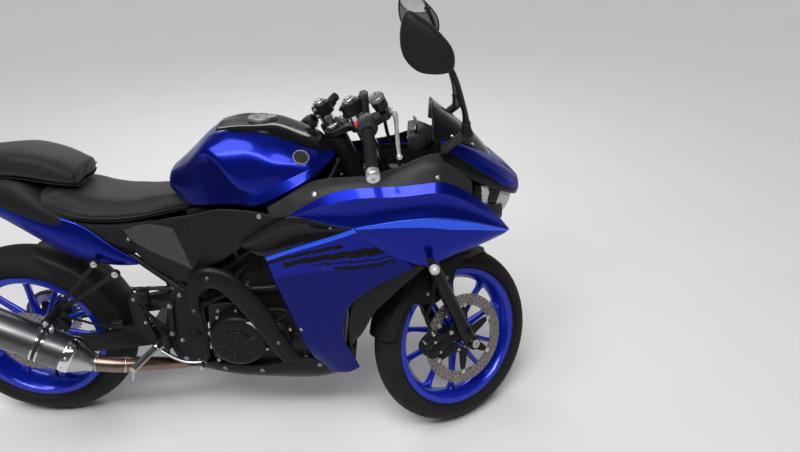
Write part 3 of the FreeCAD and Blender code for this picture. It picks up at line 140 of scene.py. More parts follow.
def chords(points):
    """Mean chord length from row to row, as knots."""
    d = np.linalg.norm(np.diff(points, axis=0), axis=-1)
    if d.ndim > 1:
        d = d.mean(axis=tuple(range(1, d.ndim)))
    return np.concatenate([[0], np.cumsum(np.maximum(d, 1e-3))])


def curve(points, steps=8, breaks=(), closed=False):
    """Smooth line through points."""
    p = np.asarray(points, float)
    if closed:
        p = np.concatenate([p, p[:1]])
        return weights(chords(p), steps, closed=True) @ p[:-1]
    return weights(chords(p), steps, breaks) @ p


def net(rows, su=6, sv=6, bu=(), bv=(), closed=False):
    """Smooth surface through a net of points: rows along u, points in a row along v."""
    p = np.asarray(rows, float)
    wu = weights(chords(p), su, bu)
    q = np.swapaxes(p, 0, 1)
    if closed:
        q = np.concatenate([q, q[:1]])
        wv = weights(chords(q), sv, closed=True)
    else:
        wv = weights(chords(q), sv, bv)
    return np.einsum("ai,bj,ijk->abk", wu, wv, p)


def sheet(p, wrap_v=False, wrap_u=False, caps=False, flip=False):
    """Mesh of a point grid; caps close the two ends of a tube with fans to their middles."""
    n, m = p.shape[:2]
    ids = np.arange(n * m).reshape(n, m)
    a = ids if wrap_u else ids[:-1]
    b = np.roll(ids, -1, 0) if wrap_u else ids[1:]
    if not wrap_v:
        q = np.stack([a[:, :-1], b[:, :-1], b[:, 1:], a[:, 1:]], -1)
    else:
        q = np.stack([a, b, np.roll(b, -1, 1), np.roll(a, -1, 1)], -1)
    faces = q.reshape(-1, 4).tolist()
    verts = p.reshape(-1, 3)
    if caps:
        mid = np.array([p[0].mean(0), p[-1].mean(0)])
        verts = np.concatenate([verts, mid])
        first, last = ids[0], ids[-1]
        faces += np.stack([np.full(m, n * m), first, np.roll(first, -1)], -1).tolist()
        faces += np.stack([np.full(m, n * m + 1), np.roll(last, -1), last], -1).tolist()
    if flip:
        faces = [f[::-1] for f in faces]
    return verts, faces


def normals(mesh):
    """Area-weighted normal of each face, from its diagonals, and its middle."""
    verts, faces = mesh
    f = np.array([(a[0], a[1], a[2], a[-1]) for a in faces])
    p = verts[f]
    return np.cross(p[:, 2] - p[:, 0], p[:, 3] - p[:, 1]), p.mean(1)


def turned(mesh):
    return mesh[0], [f[::-1] for f in mesh[1]]


def outward(mesh):
    """A closed mesh with its faces pointing out: the volume summed over its faces is positive."""
    n, mid = normals(mesh)
    return turned(mesh) if np.sum(n * (mid - mesh[0].mean(0))) < 0 else mesh


def facing(mesh, way):
    """An open mesh whose faces point mostly along a direction."""
    n, _ = normals(mesh)
    return turned(mesh) if n.sum(0) @ np.asarray(way, float) < 0 else mesh


def skin(rows, su=6, sv=6, bu=(), bv=(), way=(0, 1, 0)):
    """Open panel through a net of points, facing a direction."""
    return facing(sheet(net(rows, su, sv, bu, bv)), way)


def hull(sections, su=6, sv=5, bu=(), bv=(), blunt=0.0):
    """Closed body, even about the middle plane. sections: (x, [(y, z) from bottom to top centre]).
    With blunt, each end closes over a smaller copy of its section, that far on."""
    rows = []
    for x, half in sections:
        left = [(x, -y, z) for y, z in reversed(half[:-1])]
        rows.append([(x, y, z) for y, z in half] + left)
    rows = np.asarray(rows, float)
    last = rows.shape[1] - 1
    bv = sorted({*bv, *(last - b for b in bv)})
    p = net(rows, su, sv, bu, bv)[:, :-1]
    if blunt:
        ends = []
        for row, way in ((p[0], -blunt), (p[-1], blunt)):
            mid = row.mean(0)
            small = mid + 0.9 * (row - mid) + [way * 0.7, 0, 0]
            ends.append([small, mid + 0.6 * (row - mid) + [way, 0, 0]])
        p = np.concatenate([ends[0][::-1], p, ends[1]])
    return outward(sheet(p, wrap_v=True, caps=True))


def join(*meshes):
    verts, faces, at = [], [], 0
    for v, f in meshes:
        verts.append(v)
        faces += [[i + at for i in face] for face in f]
        at += len(v)
    return np.concatenate(verts), faces


def mirror(mesh):
    """The same piece on the other side of the bike's middle plane."""
    v, f = mesh
    return v * np.array([1, -1, 1]), [face[::-1] for face in f]


def both(mesh):
    return join(mesh, mirror(mesh))


def moved(mesh, x=0.0, y=0.0, z=0.0):
    return mesh[0] + np.array([x, y, z]), mesh[1]


def frame_of(axis):
    """Two directions square to an axis."""
    axis = unit(axis)
    side = np.cross(axis, [0, 0, 1] if abs(axis[2]) < 0.9 else [1, 0, 0])
    side = unit(side)
    return side, np.cross(axis, side)


def lathe(profile, start, axis, n=48, closed=False):
    """Turned piece: profile of (along, radius) carried round an axis; closed joins its ends."""
    a, b = frame_of(axis)
    t = np.linspace(0, 2 * np.pi, n, endpoint=False)
    round_ = np.cos(t)[:, None] * a + np.sin(t)[:, None] * b
    prof = np.asarray(profile, float)
    p = np.asarray(start, float) + prof[:, None, :1] * unit(axis) + prof[:, None, 1:] * round_
    return outward(sheet(p, wrap_v=True, wrap_u=closed, caps=not closed))


def sweep(points, radius, n=12, steps=8, straight=False, flat=1.0):
    """Round bar of a given radius, or of one radius for each point, carried along a smooth line."""
    p = np.asarray(points, float)
    radius = np.broadcast_to(np.asarray(radius, float), len(p))
    if not straight:
        w = weights(chords(p), steps)
        p, radius = w @ p, w @ radius
    along = np.gradient(p, axis=0)
    along /= np.linalg.norm(along, axis=1)[:, None]
    side = np.zeros_like(p)
    side[0] = frame_of(along[0])[0]
    for i in range(1, len(p)):
        s = side[i - 1] - (side[i - 1] @ along[i]) * along[i]
        side[i] = s / np.linalg.norm(s)
    up = np.cross(along, side)
    t = np.linspace(0, 2 * np.pi, n, endpoint=False)
    ring = np.cos(t)[None, :, None] * side[:, None] + flat * np.sin(t)[None, :, None] * up[:, None]
    return outward(sheet(p[:, None] + radius[:, None, None] * ring, wrap_v=True, caps=True))


def slab(outline, y0, y1):
    """Flat plate: side outline of (x, z) points between y0 and y1."""
    o = np.asarray(outline, float)
    area = np.sum(o[:, 0] * np.roll(o[:, 1], -1) - np.roll(o[:, 0], -1) * o[:, 1])
    if area < 0:
        o = o[::-1]
    n = len(o)
    low = np.stack([o[:, 0], np.full(n, y0), o[:, 1]], -1)
    high = np.stack([o[:, 0], np.full(n, y1), o[:, 1]], -1)
    i = np.arange(n)
    faces = np.stack([i, i + n, (i + 1) % n + n, (i + 1) % n], -1).tolist()
    return np.concatenate([low, high]), faces + [i.tolist(), (i + n)[::-1].tolist()]


def aim(mesh, origin, x_axis, y_axis):
    """Carries a piece drawn about the origin to a place, with its x and y along two directions."""
    x = unit(x_axis)
    y = unit(np.asarray(y_axis, float) - np.dot(y_axis, x) * x)
    return np.asarray(origin, float) + mesh[0] @ np.array([x, y, np.cross(x, y)]), mesh[1]


def block(x0, x1, y0, y1, z0, z1):
    return slab([(x0, z0), (x1, z0), (x1, z1), (x0, z1)], y0, y1)


def bar(start, end, wide):
    """Outline of a straight flat bar of a given width between two (x, z) points, ends rounded."""
    start, end = np.array(start, float), np.array(end, float)
    way = (end - start) / np.linalg.norm(end - start)
    turn = math.atan2(way[1], way[0])
    half = [(wide / 2) * np.array([math.cos(a), math.sin(a)])
            for a in turn + np.linspace(-math.pi / 2, math.pi / 2, 7)]
    return np.array([end + h for h in half] + [start - h for h in half])


def oval(centre, rx, ry, n=16, power=2.0, turn=0.0):
    """Rounded outline (|x|/rx)^power + (|y|/ry)^power = 1 as (x, y) points."""
    t = np.linspace(0, 2 * np.pi, n, endpoint=False)
    c, s = np.cos(t), np.sin(t)
    x = rx * np.sign(c) * np.abs(c) ** (2 / power)
    y = ry * np.sign(s) * np.abs(s) ** (2 / power)
    ct, st = math.cos(turn), math.sin(turn)
    return np.stack([centre[0] + x * ct - y * st, centre[1] + x * st + y * ct], -1)


def seat_on(mesh, point):
    """Middle and outward direction of a mesh's face nearest to a point."""
    n, mid = normals(mesh)
    i = int(np.argmin(np.linalg.norm(mid - np.asarray(point, float), axis=1)))
    return mid[i], unit(n[i])


def bolt(at, axis, r=5.0, h=3.5):
    """Button head with a washer and a six-sided socket, standing on a surface at a point."""
    prof = [(-4, r * 1.25), (0.6, r * 1.3), (0.8, r), (h * 0.55, r * 0.96), (h * 0.9, r * 0.78),
            (h, r * 0.6), (h, r * 0.45), (h * 0.4, r * 0.42)]
    return lathe(prof, at, axis, n=12)


def hex_bolt(at, axis, r=7.0, h=5.0):
    """Six-sided head on a round flange."""
    return join(lathe([(-3, r * 1.2), (1.5, r * 1.25), (2.2, r * 1.1)], at, axis, n=18),
                lathe([(1.5, r), (h, r), (h + 0.8, r * 0.85)], at, axis, n=6))


# ------------------------------------------------------------------ adding pieces
def add(name, mesh, space, finish, body, replaces=(), wall=0.0, offset=-1.0, bevel=0.0,
        subdiv=0, angle=38.0, weld=False, zones=(), inner=None):
    """Puts a mesh in the scene as a piece of a body, with a wall thickness and rounded edges in mm.
    zones: (finish, true for each face that has it). inner: finish of the wall's hidden side."""
    verts, faces = mesh
    data = bpy.data.meshes.new(name)
    data.from_pydata(place(verts, space).tolist(), [], faces)
    zone_of = np.zeros(len(faces), int)
    for i, (_, mask) in enumerate(zones):
        zone_of[mask] = i + 1
    data.polygons.foreach_set("material_index", zone_of)
    data.validate()
    obj = bpy.data.objects.new(name, data)
    bpy.context.scene.collection.objects.link(obj)
    for paint in (finish, *(z[0] for z in zones)):
        data.materials.append(paint)
    data.polygons.foreach_set("use_smooth", np.ones(len(data.polygons), bool))
    data.set_sharp_from_angle(angle=math.radians(angle))
    if weld:
        mod = obj.modifiers.new("weld", "WELD")
        mod.merge_threshold = 0.00005
    if wall:
        mod = obj.modifiers.new("wall", "SOLIDIFY")
        mod.thickness = wall / 1000
        mod.offset = offset
        mod.use_even_offset = False
        if inner:
            data.materials.append(inner)
            mod.material_offset = len(data.materials) - 1
    if bevel:
        mod = obj.modifiers.new("bevel", "BEVEL")
        mod.width = bevel / 1000
        mod.segments = 2
        mod.limit_method = "ANGLE"
        mod.angle_limit = math.radians(40)
        mod.harden_normals = False
    if subdiv:
        mod = obj.modifiers.new("subdivision", "SUBSURF")
        mod.levels = mod.render_levels = subdiv
    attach(obj, body)
    if replaces:
        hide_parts(*replaces)
    return obj


def coat(nodes, finish):
    """Gives carried-over CAD nodes a finish."""
    for node in nodes:
        data = frame["nodes"][node].data
        data.materials.clear()
        data.materials.append(finish)


# ------------------------------------------------------------------ finishes
FINISH = {}


def finish(name, colour, rough=0.5, metal=0.0, second=None, vary=(30.0, 0.5), grain=(400.0, 0.1),
           rough_spread=0.08, clear=0.0, wear=None, sheen=0.0, stretch=(1, 1, 1), ior=1.5,
           cells=None, glow=0.0, alpha=1.0, through=0.0, spec=0.18):
    """Node material: two tones mixed by soft noise, uneven gloss, fine bump, pale worn edges."""
    if name in FINISH:
        return FINISH[name]
    mat = bpy.data.materials.new(name)
    mat.use_nodes = True
    tree = mat.node_tree
    shader = tree.nodes["Principled BSDF"]
    new, link = tree.nodes.new, tree.links.new
    place_at = new("ShaderNodeTexCoord")
    mapping = new("ShaderNodeMapping")
    mapping.inputs["Scale"].default_value = stretch
    link(place_at.outputs["Object"], mapping.inputs["Vector"])
    soft = new("ShaderNodeTexNoise")
    soft.inputs["Scale"].default_value = vary[0]
    soft.inputs["Detail"].default_value = 4
    link(mapping.outputs["Vector"], soft.inputs["Vector"])
    ramp = new("ShaderNodeValToRGB")
    ramp.color_ramp.elements[0].position = 0.5 - vary[1] / 2
    ramp.color_ramp.elements[1].position = 0.5 + vary[1] / 2
    ramp.color_ramp.elements[0].color = (*colour, 1)
    ramp.color_ramp.elements[1].color = (*(second or [min(1, c * 1.35 + 0.004) for c in colour]), 1)
    link(soft.outputs["Fac"], ramp.inputs["Fac"])
    out = ramp.outputs["Color"]
    if wear:
        edge = new("ShaderNodeNewGeometry")
        worn = new("ShaderNodeMapRange")
        worn.inputs["From Min"].default_value = 0.53
        worn.inputs["From Max"].default_value = 0.62
        link(edge.outputs["Pointiness"], worn.inputs["Value"])
        mix = new("ShaderNodeMix")
        mix.data_type = "RGBA"
        link(worn.outputs["Result"], mix.inputs["Factor"])
        link(out, mix.inputs[6])
        mix.inputs[7].default_value = (*wear, 1)
        out = mix.outputs[2]
    link(out, shader.inputs["Base Color"])
    shader.inputs["Metallic"].default_value = metal
    shader.inputs["IOR"].default_value = ior
    shader.inputs["Specular IOR Level"].default_value = spec
    shader.inputs["Coat Weight"].default_value = clear
    shader.inputs["Coat Roughness"].default_value = 0.04
    shader.inputs["Sheen Weight"].default_value = sheen
    shader.inputs["Alpha"].default_value = alpha
    shader.inputs["Transmission Weight"].default_value = through
    gloss = new("ShaderNodeMapRange")
    gloss.inputs["To Min"].default_value = max(0.02, rough - rough_spread)
    gloss.inputs["To Max"].default_value = min(1, rough + rough_spread)
    link(soft.outputs["Fac"], gloss.inputs["Value"])
    link(gloss.outputs["Result"], shader.inputs["Roughness"])
    fine = new("ShaderNodeTexVoronoi" if cells else "ShaderNodeTexNoise")
    fine.inputs["Scale"].default_value = grain[0]
    if not cells:
        fine.inputs["Detail"].default_value = 3
    link(mapping.outputs["Vector"], fine.inputs["Vector"])
    bump = new("ShaderNodeBump")
    bump.inputs["Strength"].default_value = grain[1]
    bump.inputs["Distance"].default_value = cells or 0.0004
    link(fine.outputs["Distance" if cells else "Fac"], bump.inputs["Height"])
    link(bump.outputs["Normal"], shader.inputs["Normal"])
    if glow:
        shader.inputs["Emission Color"].default_value = (*colour, 1)
        shader.inputs["Emission Strength"].default_value = glow
    FINISH[name] = mat
    return mat


# ------------------------------------------------------------------ settings
def colour_prop(name, text, value):
    return bpy.props.FloatVectorProperty(name=name, description=text, subtype="COLOR", size=3,
                                         min=0.0, max=1.0, default=value)


def size_prop(name, text, value, low, high):
    return bpy.props.FloatProperty(name=name, description=text + ", in millimetres",
                                   default=value, min=low, max=high)


class PaintSettings(bpy.types.PropertyGroup):
    """Colours of the painted, moulded and covered surfaces."""
    blue: colour_prop("Blue", "Metallic blue of the tank, nose and flanks", (0.004, 0.018, 0.42))
    # Painted highlight: brighter blue laid on the strip under the cowl's crease and along the
    # flank's top edge, where the crease catches the light; on the flank a pale decal strip runs
    # there as well.
    stripe: colour_prop("Stripe", "Brighter blue of the cowl's stripes", (0.02, 0.09, 0.9))
    # Painted shade: darker blue laid on the tank's hollows under the rider's knees and on the lower
    # flank, where the one blue paint falls into shade; it is also the second tone of the blue's
    # fine mottle.
    deep: colour_prop("Deep blue", "Darker blue of the lower flank", (0.003, 0.006, 0.12))
    rim: colour_prop("Rim blue", "Blue of the wheels", (0.004, 0.02, 0.42))
    black: colour_prop("Black", "Gloss black of the covers and the mid panels",
                       (0.0035, 0.0035, 0.0045))
    plastic: colour_prop("Plastic", "Charcoal of the moulded parts", (0.008, 0.008, 0.009))
    vinyl: colour_prop("Seat cover", "Grained cover of both seats", (0.011, 0.011, 0.012))
    bronze: colour_prop("Pipe", "Heat tint of the exhaust pipe", (0.3, 0.21, 0.15))


class WheelSettings(bpy.types.PropertyGroup):
    """Sizes of the wheels' detail."""
    groove: size_prop("Groove", "Depth of the tread grooves", 3.5, 1.0, 6.0)
    groove_width: size_prop("Groove width", "Width of the tread grooves", 5.5, 2.0, 9.0)
    vent: size_prop("Vent", "Radius of the brake disc's holes", 3.2, 1.5, 4.5)


class SeatSettings(bpy.types.PropertyGroup):
    """How the two seat pads are filled."""
    fill: bpy.props.FloatProperty(name="Fill", description="From slack, 0, to tight, 1",
                                  subtype="FACTOR", default=0.75, min=0.0, max=1.0)
    swell: size_prop("Swell", "Furthest that the cover moves when the pad fills", 7.0, 1.0, 20.0)
    seam: size_prop("Seam", "Radius of the welt along the seams", 1.6, 0.8, 4.0)


class StageSettings(bpy.types.PropertyGroup):
    """Floor and light of the studio."""
    floor: colour_prop("Floor", "Pale floor", (0.74, 0.74, 0.74))
    sun: bpy.props.FloatProperty(name="Sun", description="Strength of the wide soft light",
                                 default=1.85, min=0.0, max=10.0)
    key: bpy.props.FloatProperty(name="Key", description="Power of the long softbox above",
                                 subtype="POWER", default=38.0, min=0.0, max=2000.0)
    fill: bpy.props.FloatProperty(name="Fill", description="Power of the softbox behind",
                                  subtype="POWER", default=24.0, min=0.0, max=2000.0)
    room: bpy.props.FloatProperty(name="Room",
                                  description="Brightness of the room behind the camera",
                                  default=0.12, min=0.0, max=2.0)
    sky: bpy.props.FloatProperty(name="Ceiling",
                                 description="Share of the light left at the ceiling",
                                 subtype="FACTOR", default=0.4, min=0.0, max=1.0)


def tone(name):
    """A colour of the paint settings."""
    return tuple(getattr(bpy.context.scene.motorcycle_paint, name))


def look(name):
    """The finish with this name, made the first time that a piece asks for it."""
    table = {
        "blue": (tone("blue"), dict(rough=0.26, metal=0.75, second=tone("deep"), vary=(900, 0.9),
                                    grain=(1500, 0.02), rough_spread=0.03, clear=0.22)),
        # painted highlight along the crease of the cowl and the flank
        "stripe": (tone("stripe"), dict(rough=0.28, metal=0.5, vary=(900, 0.8), grain=(1500, 0.02),
                                        rough_spread=0.03, clear=0.5)),
        # painted shade for the tank's hollows and the lower flank
        "deep": (tone("deep"), dict(rough=0.26, metal=0.75, vary=(900, 0.9), grain=(1500, 0.02),
                                    rough_spread=0.03, clear=0.12)),
        "rim": (tone("rim"), dict(rough=0.28, metal=0.45, vary=(700, 0.8), grain=(900, 0.04),
                                  rough_spread=0.05, clear=0.6)),
        "gloss_black": (tone("black"), dict(rough=0.14, vary=(30, 0.6), grain=(900, 0.02),
                                            rough_spread=0.04, clear=0.1)),
        "decal": (tone("black"), dict(rough=0.45, vary=(30, 0.6), grain=(900, 0.02), spec=0.1)),
        "plastic": (tone("plastic"), dict(rough=0.5, vary=(60, 0.7), grain=(1300, 0.22),
                                          wear=(0.03, 0.03, 0.032))),
        "satin_black": ((0.005, 0.005, 0.0055), dict(rough=0.38, vary=(40, 0.7), grain=(900, 0.12),
                                                    wear=(0.03, 0.03, 0.03))),
        "grained": ((0.03, 0.03, 0.032), dict(rough=0.42, vary=(45, 0.6), grain=(330, 0.8),
                                             cells=0.0007, spec=0.6)),
        "panel_grey": ((0.018, 0.018, 0.019), dict(rough=0.36, vary=(25, 0.6), grain=(1100, 0.12))),
        "vinyl": (tone("vinyl"), dict(rough=0.52, vary=(35, 0.7), grain=(520, 0.6), cells=0.00045,
                                      sheen=0.15, wear=(0.025, 0.025, 0.027))),
        "stitch": ((0.03, 0.03, 0.032), dict(rough=0.7, vary=(60, 0.5), grain=(1500, 0.2))),
        "rubber": ((0.006, 0.006, 0.0065), dict(rough=0.72, vary=(70, 0.6), grain=(1500, 0.25))),
        "tyre": ((0.009, 0.009, 0.0092), dict(rough=0.7, second=(0.017, 0.0165, 0.016),
                                              vary=(18, 0.8),
                                             grain=(900, 0.35), wear=(0.03, 0.029, 0.027))),
        "cast_black": ((0.006, 0.006, 0.0065), dict(rough=0.42, metal=0.2, vary=(60, 0.7),
                                                 grain=(520, 0.3), wear=(0.05, 0.05, 0.05))),
        "cast_grey": ((0.16, 0.162, 0.168), dict(rough=0.42, metal=0.75, vary=(50, 0.6),
                                                 grain=(600, 0.25), wear=(0.4, 0.4, 0.4))),
        "engine": ((0.009, 0.009, 0.01), dict(rough=0.4, metal=0.35, vary=(40, 0.7),
                                              grain=(480, 0.3), wear=(0.05, 0.05, 0.05))),
        "chrome": ((0.62, 0.62, 0.63), dict(rough=0.12, metal=1.0, vary=(20, 0.5),
                                            grain=(700, 0.03), rough_spread=0.06)),
        "steel": ((0.42, 0.42, 0.43), dict(rough=0.3, metal=1.0, vary=(50, 0.6),
                                           grain=(900, 0.12))),
        "silver": ((0.55, 0.55, 0.56), dict(rough=0.34, metal=0.9, vary=(40, 0.5),
                                            grain=(700, 0.12))),
        "screw": ((0.2, 0.2, 0.205), dict(rough=0.36, metal=0.9, vary=(50, 0.6), grain=(900, 0.1))),
        "disc": ((0.3, 0.265, 0.235), dict(rough=0.36, metal=0.9, second=(0.2, 0.18, 0.165),
                                           vary=(60, 0.8), grain=(160, 0.1), stretch=(1, 1, 1))),
        "can": ((0.22, 0.22, 0.226), dict(rough=0.33, metal=0.95, second=(0.1, 0.1, 0.104),
                                          vary=(30, 0.8), grain=(500, 0.2), stretch=(0.12, 1, 1))),
        "bronze": (tone("bronze"), dict(rough=0.3, metal=0.95, second=(0.16, 0.12, 0.12),
                                        vary=(14, 0.8), grain=(700, 0.1))),
        "chain": ((0.2, 0.19, 0.17), dict(rough=0.42, metal=0.85, second=(0.08, 0.07, 0.055),
                                          vary=(120, 0.7), grain=(600, 0.3))),
        "spring": ((0.3, 0.3, 0.31), dict(rough=0.4, metal=0.7, vary=(60, 0.6), grain=(500, 0.2))),
        "lens": ((0.75, 0.76, 0.77), dict(rough=0.08, vary=(30, 0.4), grain=(900, 0.05), clear=1.0,
                                          through=0.45)),
        "lamp": ((0.62, 0.64, 0.66), dict(rough=0.1, metal=0.6, vary=(50, 0.5), grain=(300, 0.15),
                                          clear=1.0)),
        "red": ((0.34, 0.01, 0.012), dict(rough=0.12, vary=(50, 0.6), grain=(260, 0.3),
                                          cells=0.0006,
                                          clear=1.0)),
        "smoke": ((0.006, 0.006, 0.007), dict(rough=0.07, vary=(20, 0.4), grain=(700, 0.01),
                                             clear=0.6, alpha=0.86)),
        "mirror": ((0.75, 0.76, 0.78), dict(rough=0.03, metal=1.0, vary=(10, 0.3),
                                            grain=(900, 0.01), rough_spread=0.01)),
        "screen": ((0.012, 0.014, 0.017), dict(rough=0.1, vary=(30, 0.4), grain=(900, 0.02),
                                               clear=1.0)),
        "red_switch": ((0.5, 0.02, 0.015), dict(rough=0.4, vary=(50, 0.5), grain=(900, 0.1))),
        "amber": ((0.75, 0.24, 0.02), dict(rough=0.3, vary=(40, 0.4), grain=(900, 0.05))),
        "pale": ((0.5, 0.5, 0.49), dict(rough=0.5, vary=(40, 0.4), grain=(900, 0.1))),
    }
    colour, rest = table[name]
    return finish(name, colour, **rest)


# ------------------------------------------------------------------ stage
class StageOperator(bpy.types.Operator):
    """Pale floor, sky, softboxes and the camera."""
    bl_idname = "motorcycle.stage"
    bl_label = "Stage"

    def execute(self, context):
        studio = context.scene.motorcycle_stage
        self.floor(studio)
        self.sky(context.scene, studio)
        centre = (REAR_AXLE + FRONT_AXLE) / 2
        sun = bpy.data.lights.new("sun", "SUN")
        sun.energy = studio.sun
        sun.angle = math.radians(38)
        self.hang(context.scene, sun, centre + np.array([-0.8, -0.9, 3.0]), centre)
        for name, way, wide, long, power in (("strip", (0.2, -1.5, 2.6), 2.8, 0.4, studio.key),
                                             ("back", (-0.3, 2.4, 1.9), 2.6, 0.5, studio.fill)):
            lamp = bpy.data.lights.new(name, "AREA")
            lamp.shape = "RECTANGLE"
            lamp.size = wide
            lamp.size_y = long
            lamp.energy = power
            self.hang(context.scene, lamp, centre + np.array(way), centre)
        self.camera(context.scene)
        return {"FINISHED"}

    def hang(self, scene, lamp, at, centre):
        obj = bpy.data.objects.new(lamp.name, lamp)
        scene.collection.objects.link(obj)
        obj.rotation_euler = Vector((centre - at).tolist()).to_track_quat("-Z", "Y").to_euler()
        obj.location = at

    def floor(self, studio):
        edge = 30.0
        data = bpy.data.meshes.new("floor")
        data.from_pydata([(-edge, -edge, 0), (edge, -edge, 0), (edge, edge, 0), (-edge, edge, 0)],
                         [],
                         [(0, 1, 2, 3)])
        obj = bpy.data.objects.new("floor", data)
        bpy.context.scene.collection.objects.link(obj)
        data.materials.append(finish("floor", tuple(studio.floor), rough=0.75,
                                     second=[min(1, c * 1.03) for c in studio.floor],
                                     vary=(3, 0.6), grain=(60, 0.02)))

    def sky(self, scene, studio):
        """Light from a pale wall on the left, a dim room on the right and a dimmer ceiling. The
        camera sees it pale from every side."""
        world = bpy.data.worlds.new("studio")
        world.use_nodes = True
        tree = world.node_tree
        new, link = tree.nodes.new, tree.links.new
        way = new("ShaderNodeTexCoord")
        levels = []
        for axis, low, high, dark, pale in ((SIDE, -0.1, 0.5, studio.room, 0.62),
                                            (UP, 0.45, 0.1, studio.sky, 1.0)):
            along = new("ShaderNodeVectorMath")
            along.operation = "DOT_PRODUCT"
            along.inputs[1].default_value = tuple(axis)
            link(way.outputs["Generated"], along.inputs[0])
            level = new("ShaderNodeMapRange")
            for name, value in (("From Min", low), ("From Max", high), ("To Min", dark),
                                ("To Max", pale)):
                level.inputs[name].default_value = value
            link(along.outputs["Value"], level.inputs["Value"])
            levels.append(level)
        light = new("ShaderNodeMath")
        light.operation = "MULTIPLY"
        for socket, level in zip(light.inputs, levels):
            link(level.outputs["Result"], socket)
        plain = new("ShaderNodeMath")
        plain.operation = "MAXIMUM"
        seen = new("ShaderNodeMath")
        seen.operation = "MULTIPLY"
        seen.inputs[1].default_value = 0.62
        link(new("ShaderNodeLightPath").outputs["Is Camera Ray"], seen.inputs[0])
        link(light.outputs["Value"], plain.inputs[0])
        link(seen.outputs["Value"], plain.inputs[1])
        link(plain.outputs["Value"], tree.nodes["Background"].inputs["Color"])
        scene.world = world
        scene.view_settings.view_transform = "Standard"

    def camera(self, scene):
        lens = bpy.data.cameras.new("camera")
        lens.lens = 28.489
        lens.sensor_width = 36
        lens.shift_x = 0.02628
        lens.shift_y = -0.0119
        obj = bpy.data.objects.new("camera", lens)
        scene.collection.objects.link(obj)
        _, *axes = BIKE
        right, up, ahead = (np.array(v) @ np.array(axes) for v in
                            ((0.99974, 0.02099, -0.00942), (-0.00035, 0.42294, 0.90616),
                             (-0.02301, 0.90592, -0.42283)))
        turn = Matrix(np.array([right, up, -ahead]).T.tolist())
        obj.rotation_euler = turn.to_euler()
        obj.location = place([1175.8, -1747.8, 1547.3], BIKE)
        scene.camera = obj


# ------------------------------------------------------------------ bodywork
def flanks(name, mesh, paint, nodes, wall=3.5, zones=(), angle=35.0, bevel=0.0):
    """A panel on the left flank and its mirror image on the right."""
    for tag, side, kept in (("_left", mesh, nodes), ("_right", mirror(mesh), [])):
        add(name + tag, side, BIKE, look(paint), "chassis", replaces=kept, wall=wall,
            zones=zones, angle=angle, bevel=bevel, inner=look("plastic"))


class CowlOperator(bpy.types.Operator):
    """Upper cowl: a rolled top edge, a hollow facet, a sharp crease and a full lower belly."""
    bl_idname = "motorcycle.cowl"
    bl_label = "Upper Cowl"

    def execute(self, context):
        # top edge (x, y, z) and foot of the upper facet (x, y, z)
        upper = [((893, 198, 827), (897, 200, 822)), ((952, 196, 863), (962, 203, 812)),
                 ((1007, 195, 890), (1016, 208, 801)), ((1082, 194, 904), (1070, 213, 795)),
                 ((1145, 194, 908), (1139, 217, 810)), ((1219, 191, 911), (1210, 216, 821)),
                 ((1299, 180, 915), (1290, 209, 823)), ((1345, 168, 899), (1347, 194, 812)),
                 ((1397, 153, 863), (1400, 174, 795)), ((1450, 135, 816), (1452, 149, 772)),
                 ((1503, 110, 750), (1508, 112, 743))]
        rows = []
        for top, foot in upper:
            t, f = np.array(top, float), np.array(foot, float)
            reach = f - t
            full = np.linalg.norm(reach)
            edge = min(24.0, full * 0.3)
            roll = t + reach * edge / full + [0, min(11, full * 0.14), 0]
            hollow = t + reach * 0.62 - [0, min(4.5, full * 0.05), 0]
            lip = t + [0, -min(14, full * 0.2), -min(4, full * 0.05)]
            rows.append([lip, t, roll, hollow, f])
        mesh = skin(rows, 7, 6, bv=(1, 2))
        flanks("cowl_top", mesh, "blue", ["upper_fairings"])
        # crease (x, y, z) and lower edge (x, y, z)
        lower = [((1070, 213, 795), (1087, 209, 771)), ((1139, 217, 810), (1122, 207, 742)),
                 ((1210, 216, 821), (1166, 204, 708)), ((1290, 209, 823), (1212, 199, 686)),
                 ((1347, 194, 812), (1264, 193, 671)), ((1400, 174, 795), (1330, 181, 690)),
                 ((1452, 149, 772), (1408, 156, 711)), ((1508, 112, 743), (1484, 118, 728))]
        rows = []
        for crest, foot in lower:
            c, f = np.array(crest, float), np.array(foot, float)
            fall = np.linalg.norm(f - c)
            strip = c + (f - c) * 0.2 + [0, min(3, fall * 0.03), 0]
            belly = c + (f - c) * 0.62 + [0, min(6, fall * 0.06), 0]
            rows.append([c, strip, belly, f, f - [0, min(12, fall * 0.15), -1]])
        low = net(rows, 8, 6, bv=(3,))
        mesh = facing(sheet(low), (0, 1, 0))
        n, m = low.shape[0] - 1, low.shape[1] - 1
        # band: the strip just below the crease, given the brighter blue as a painted highlight
        # where the crease catches the light.
        band = np.repeat(np.arange(m)[None, :] < 6, n, 0).ravel()
        flanks("cowl_low", mesh, "blue", [], zones=[(look("stripe"), band)])
        return {"FINISHED"}


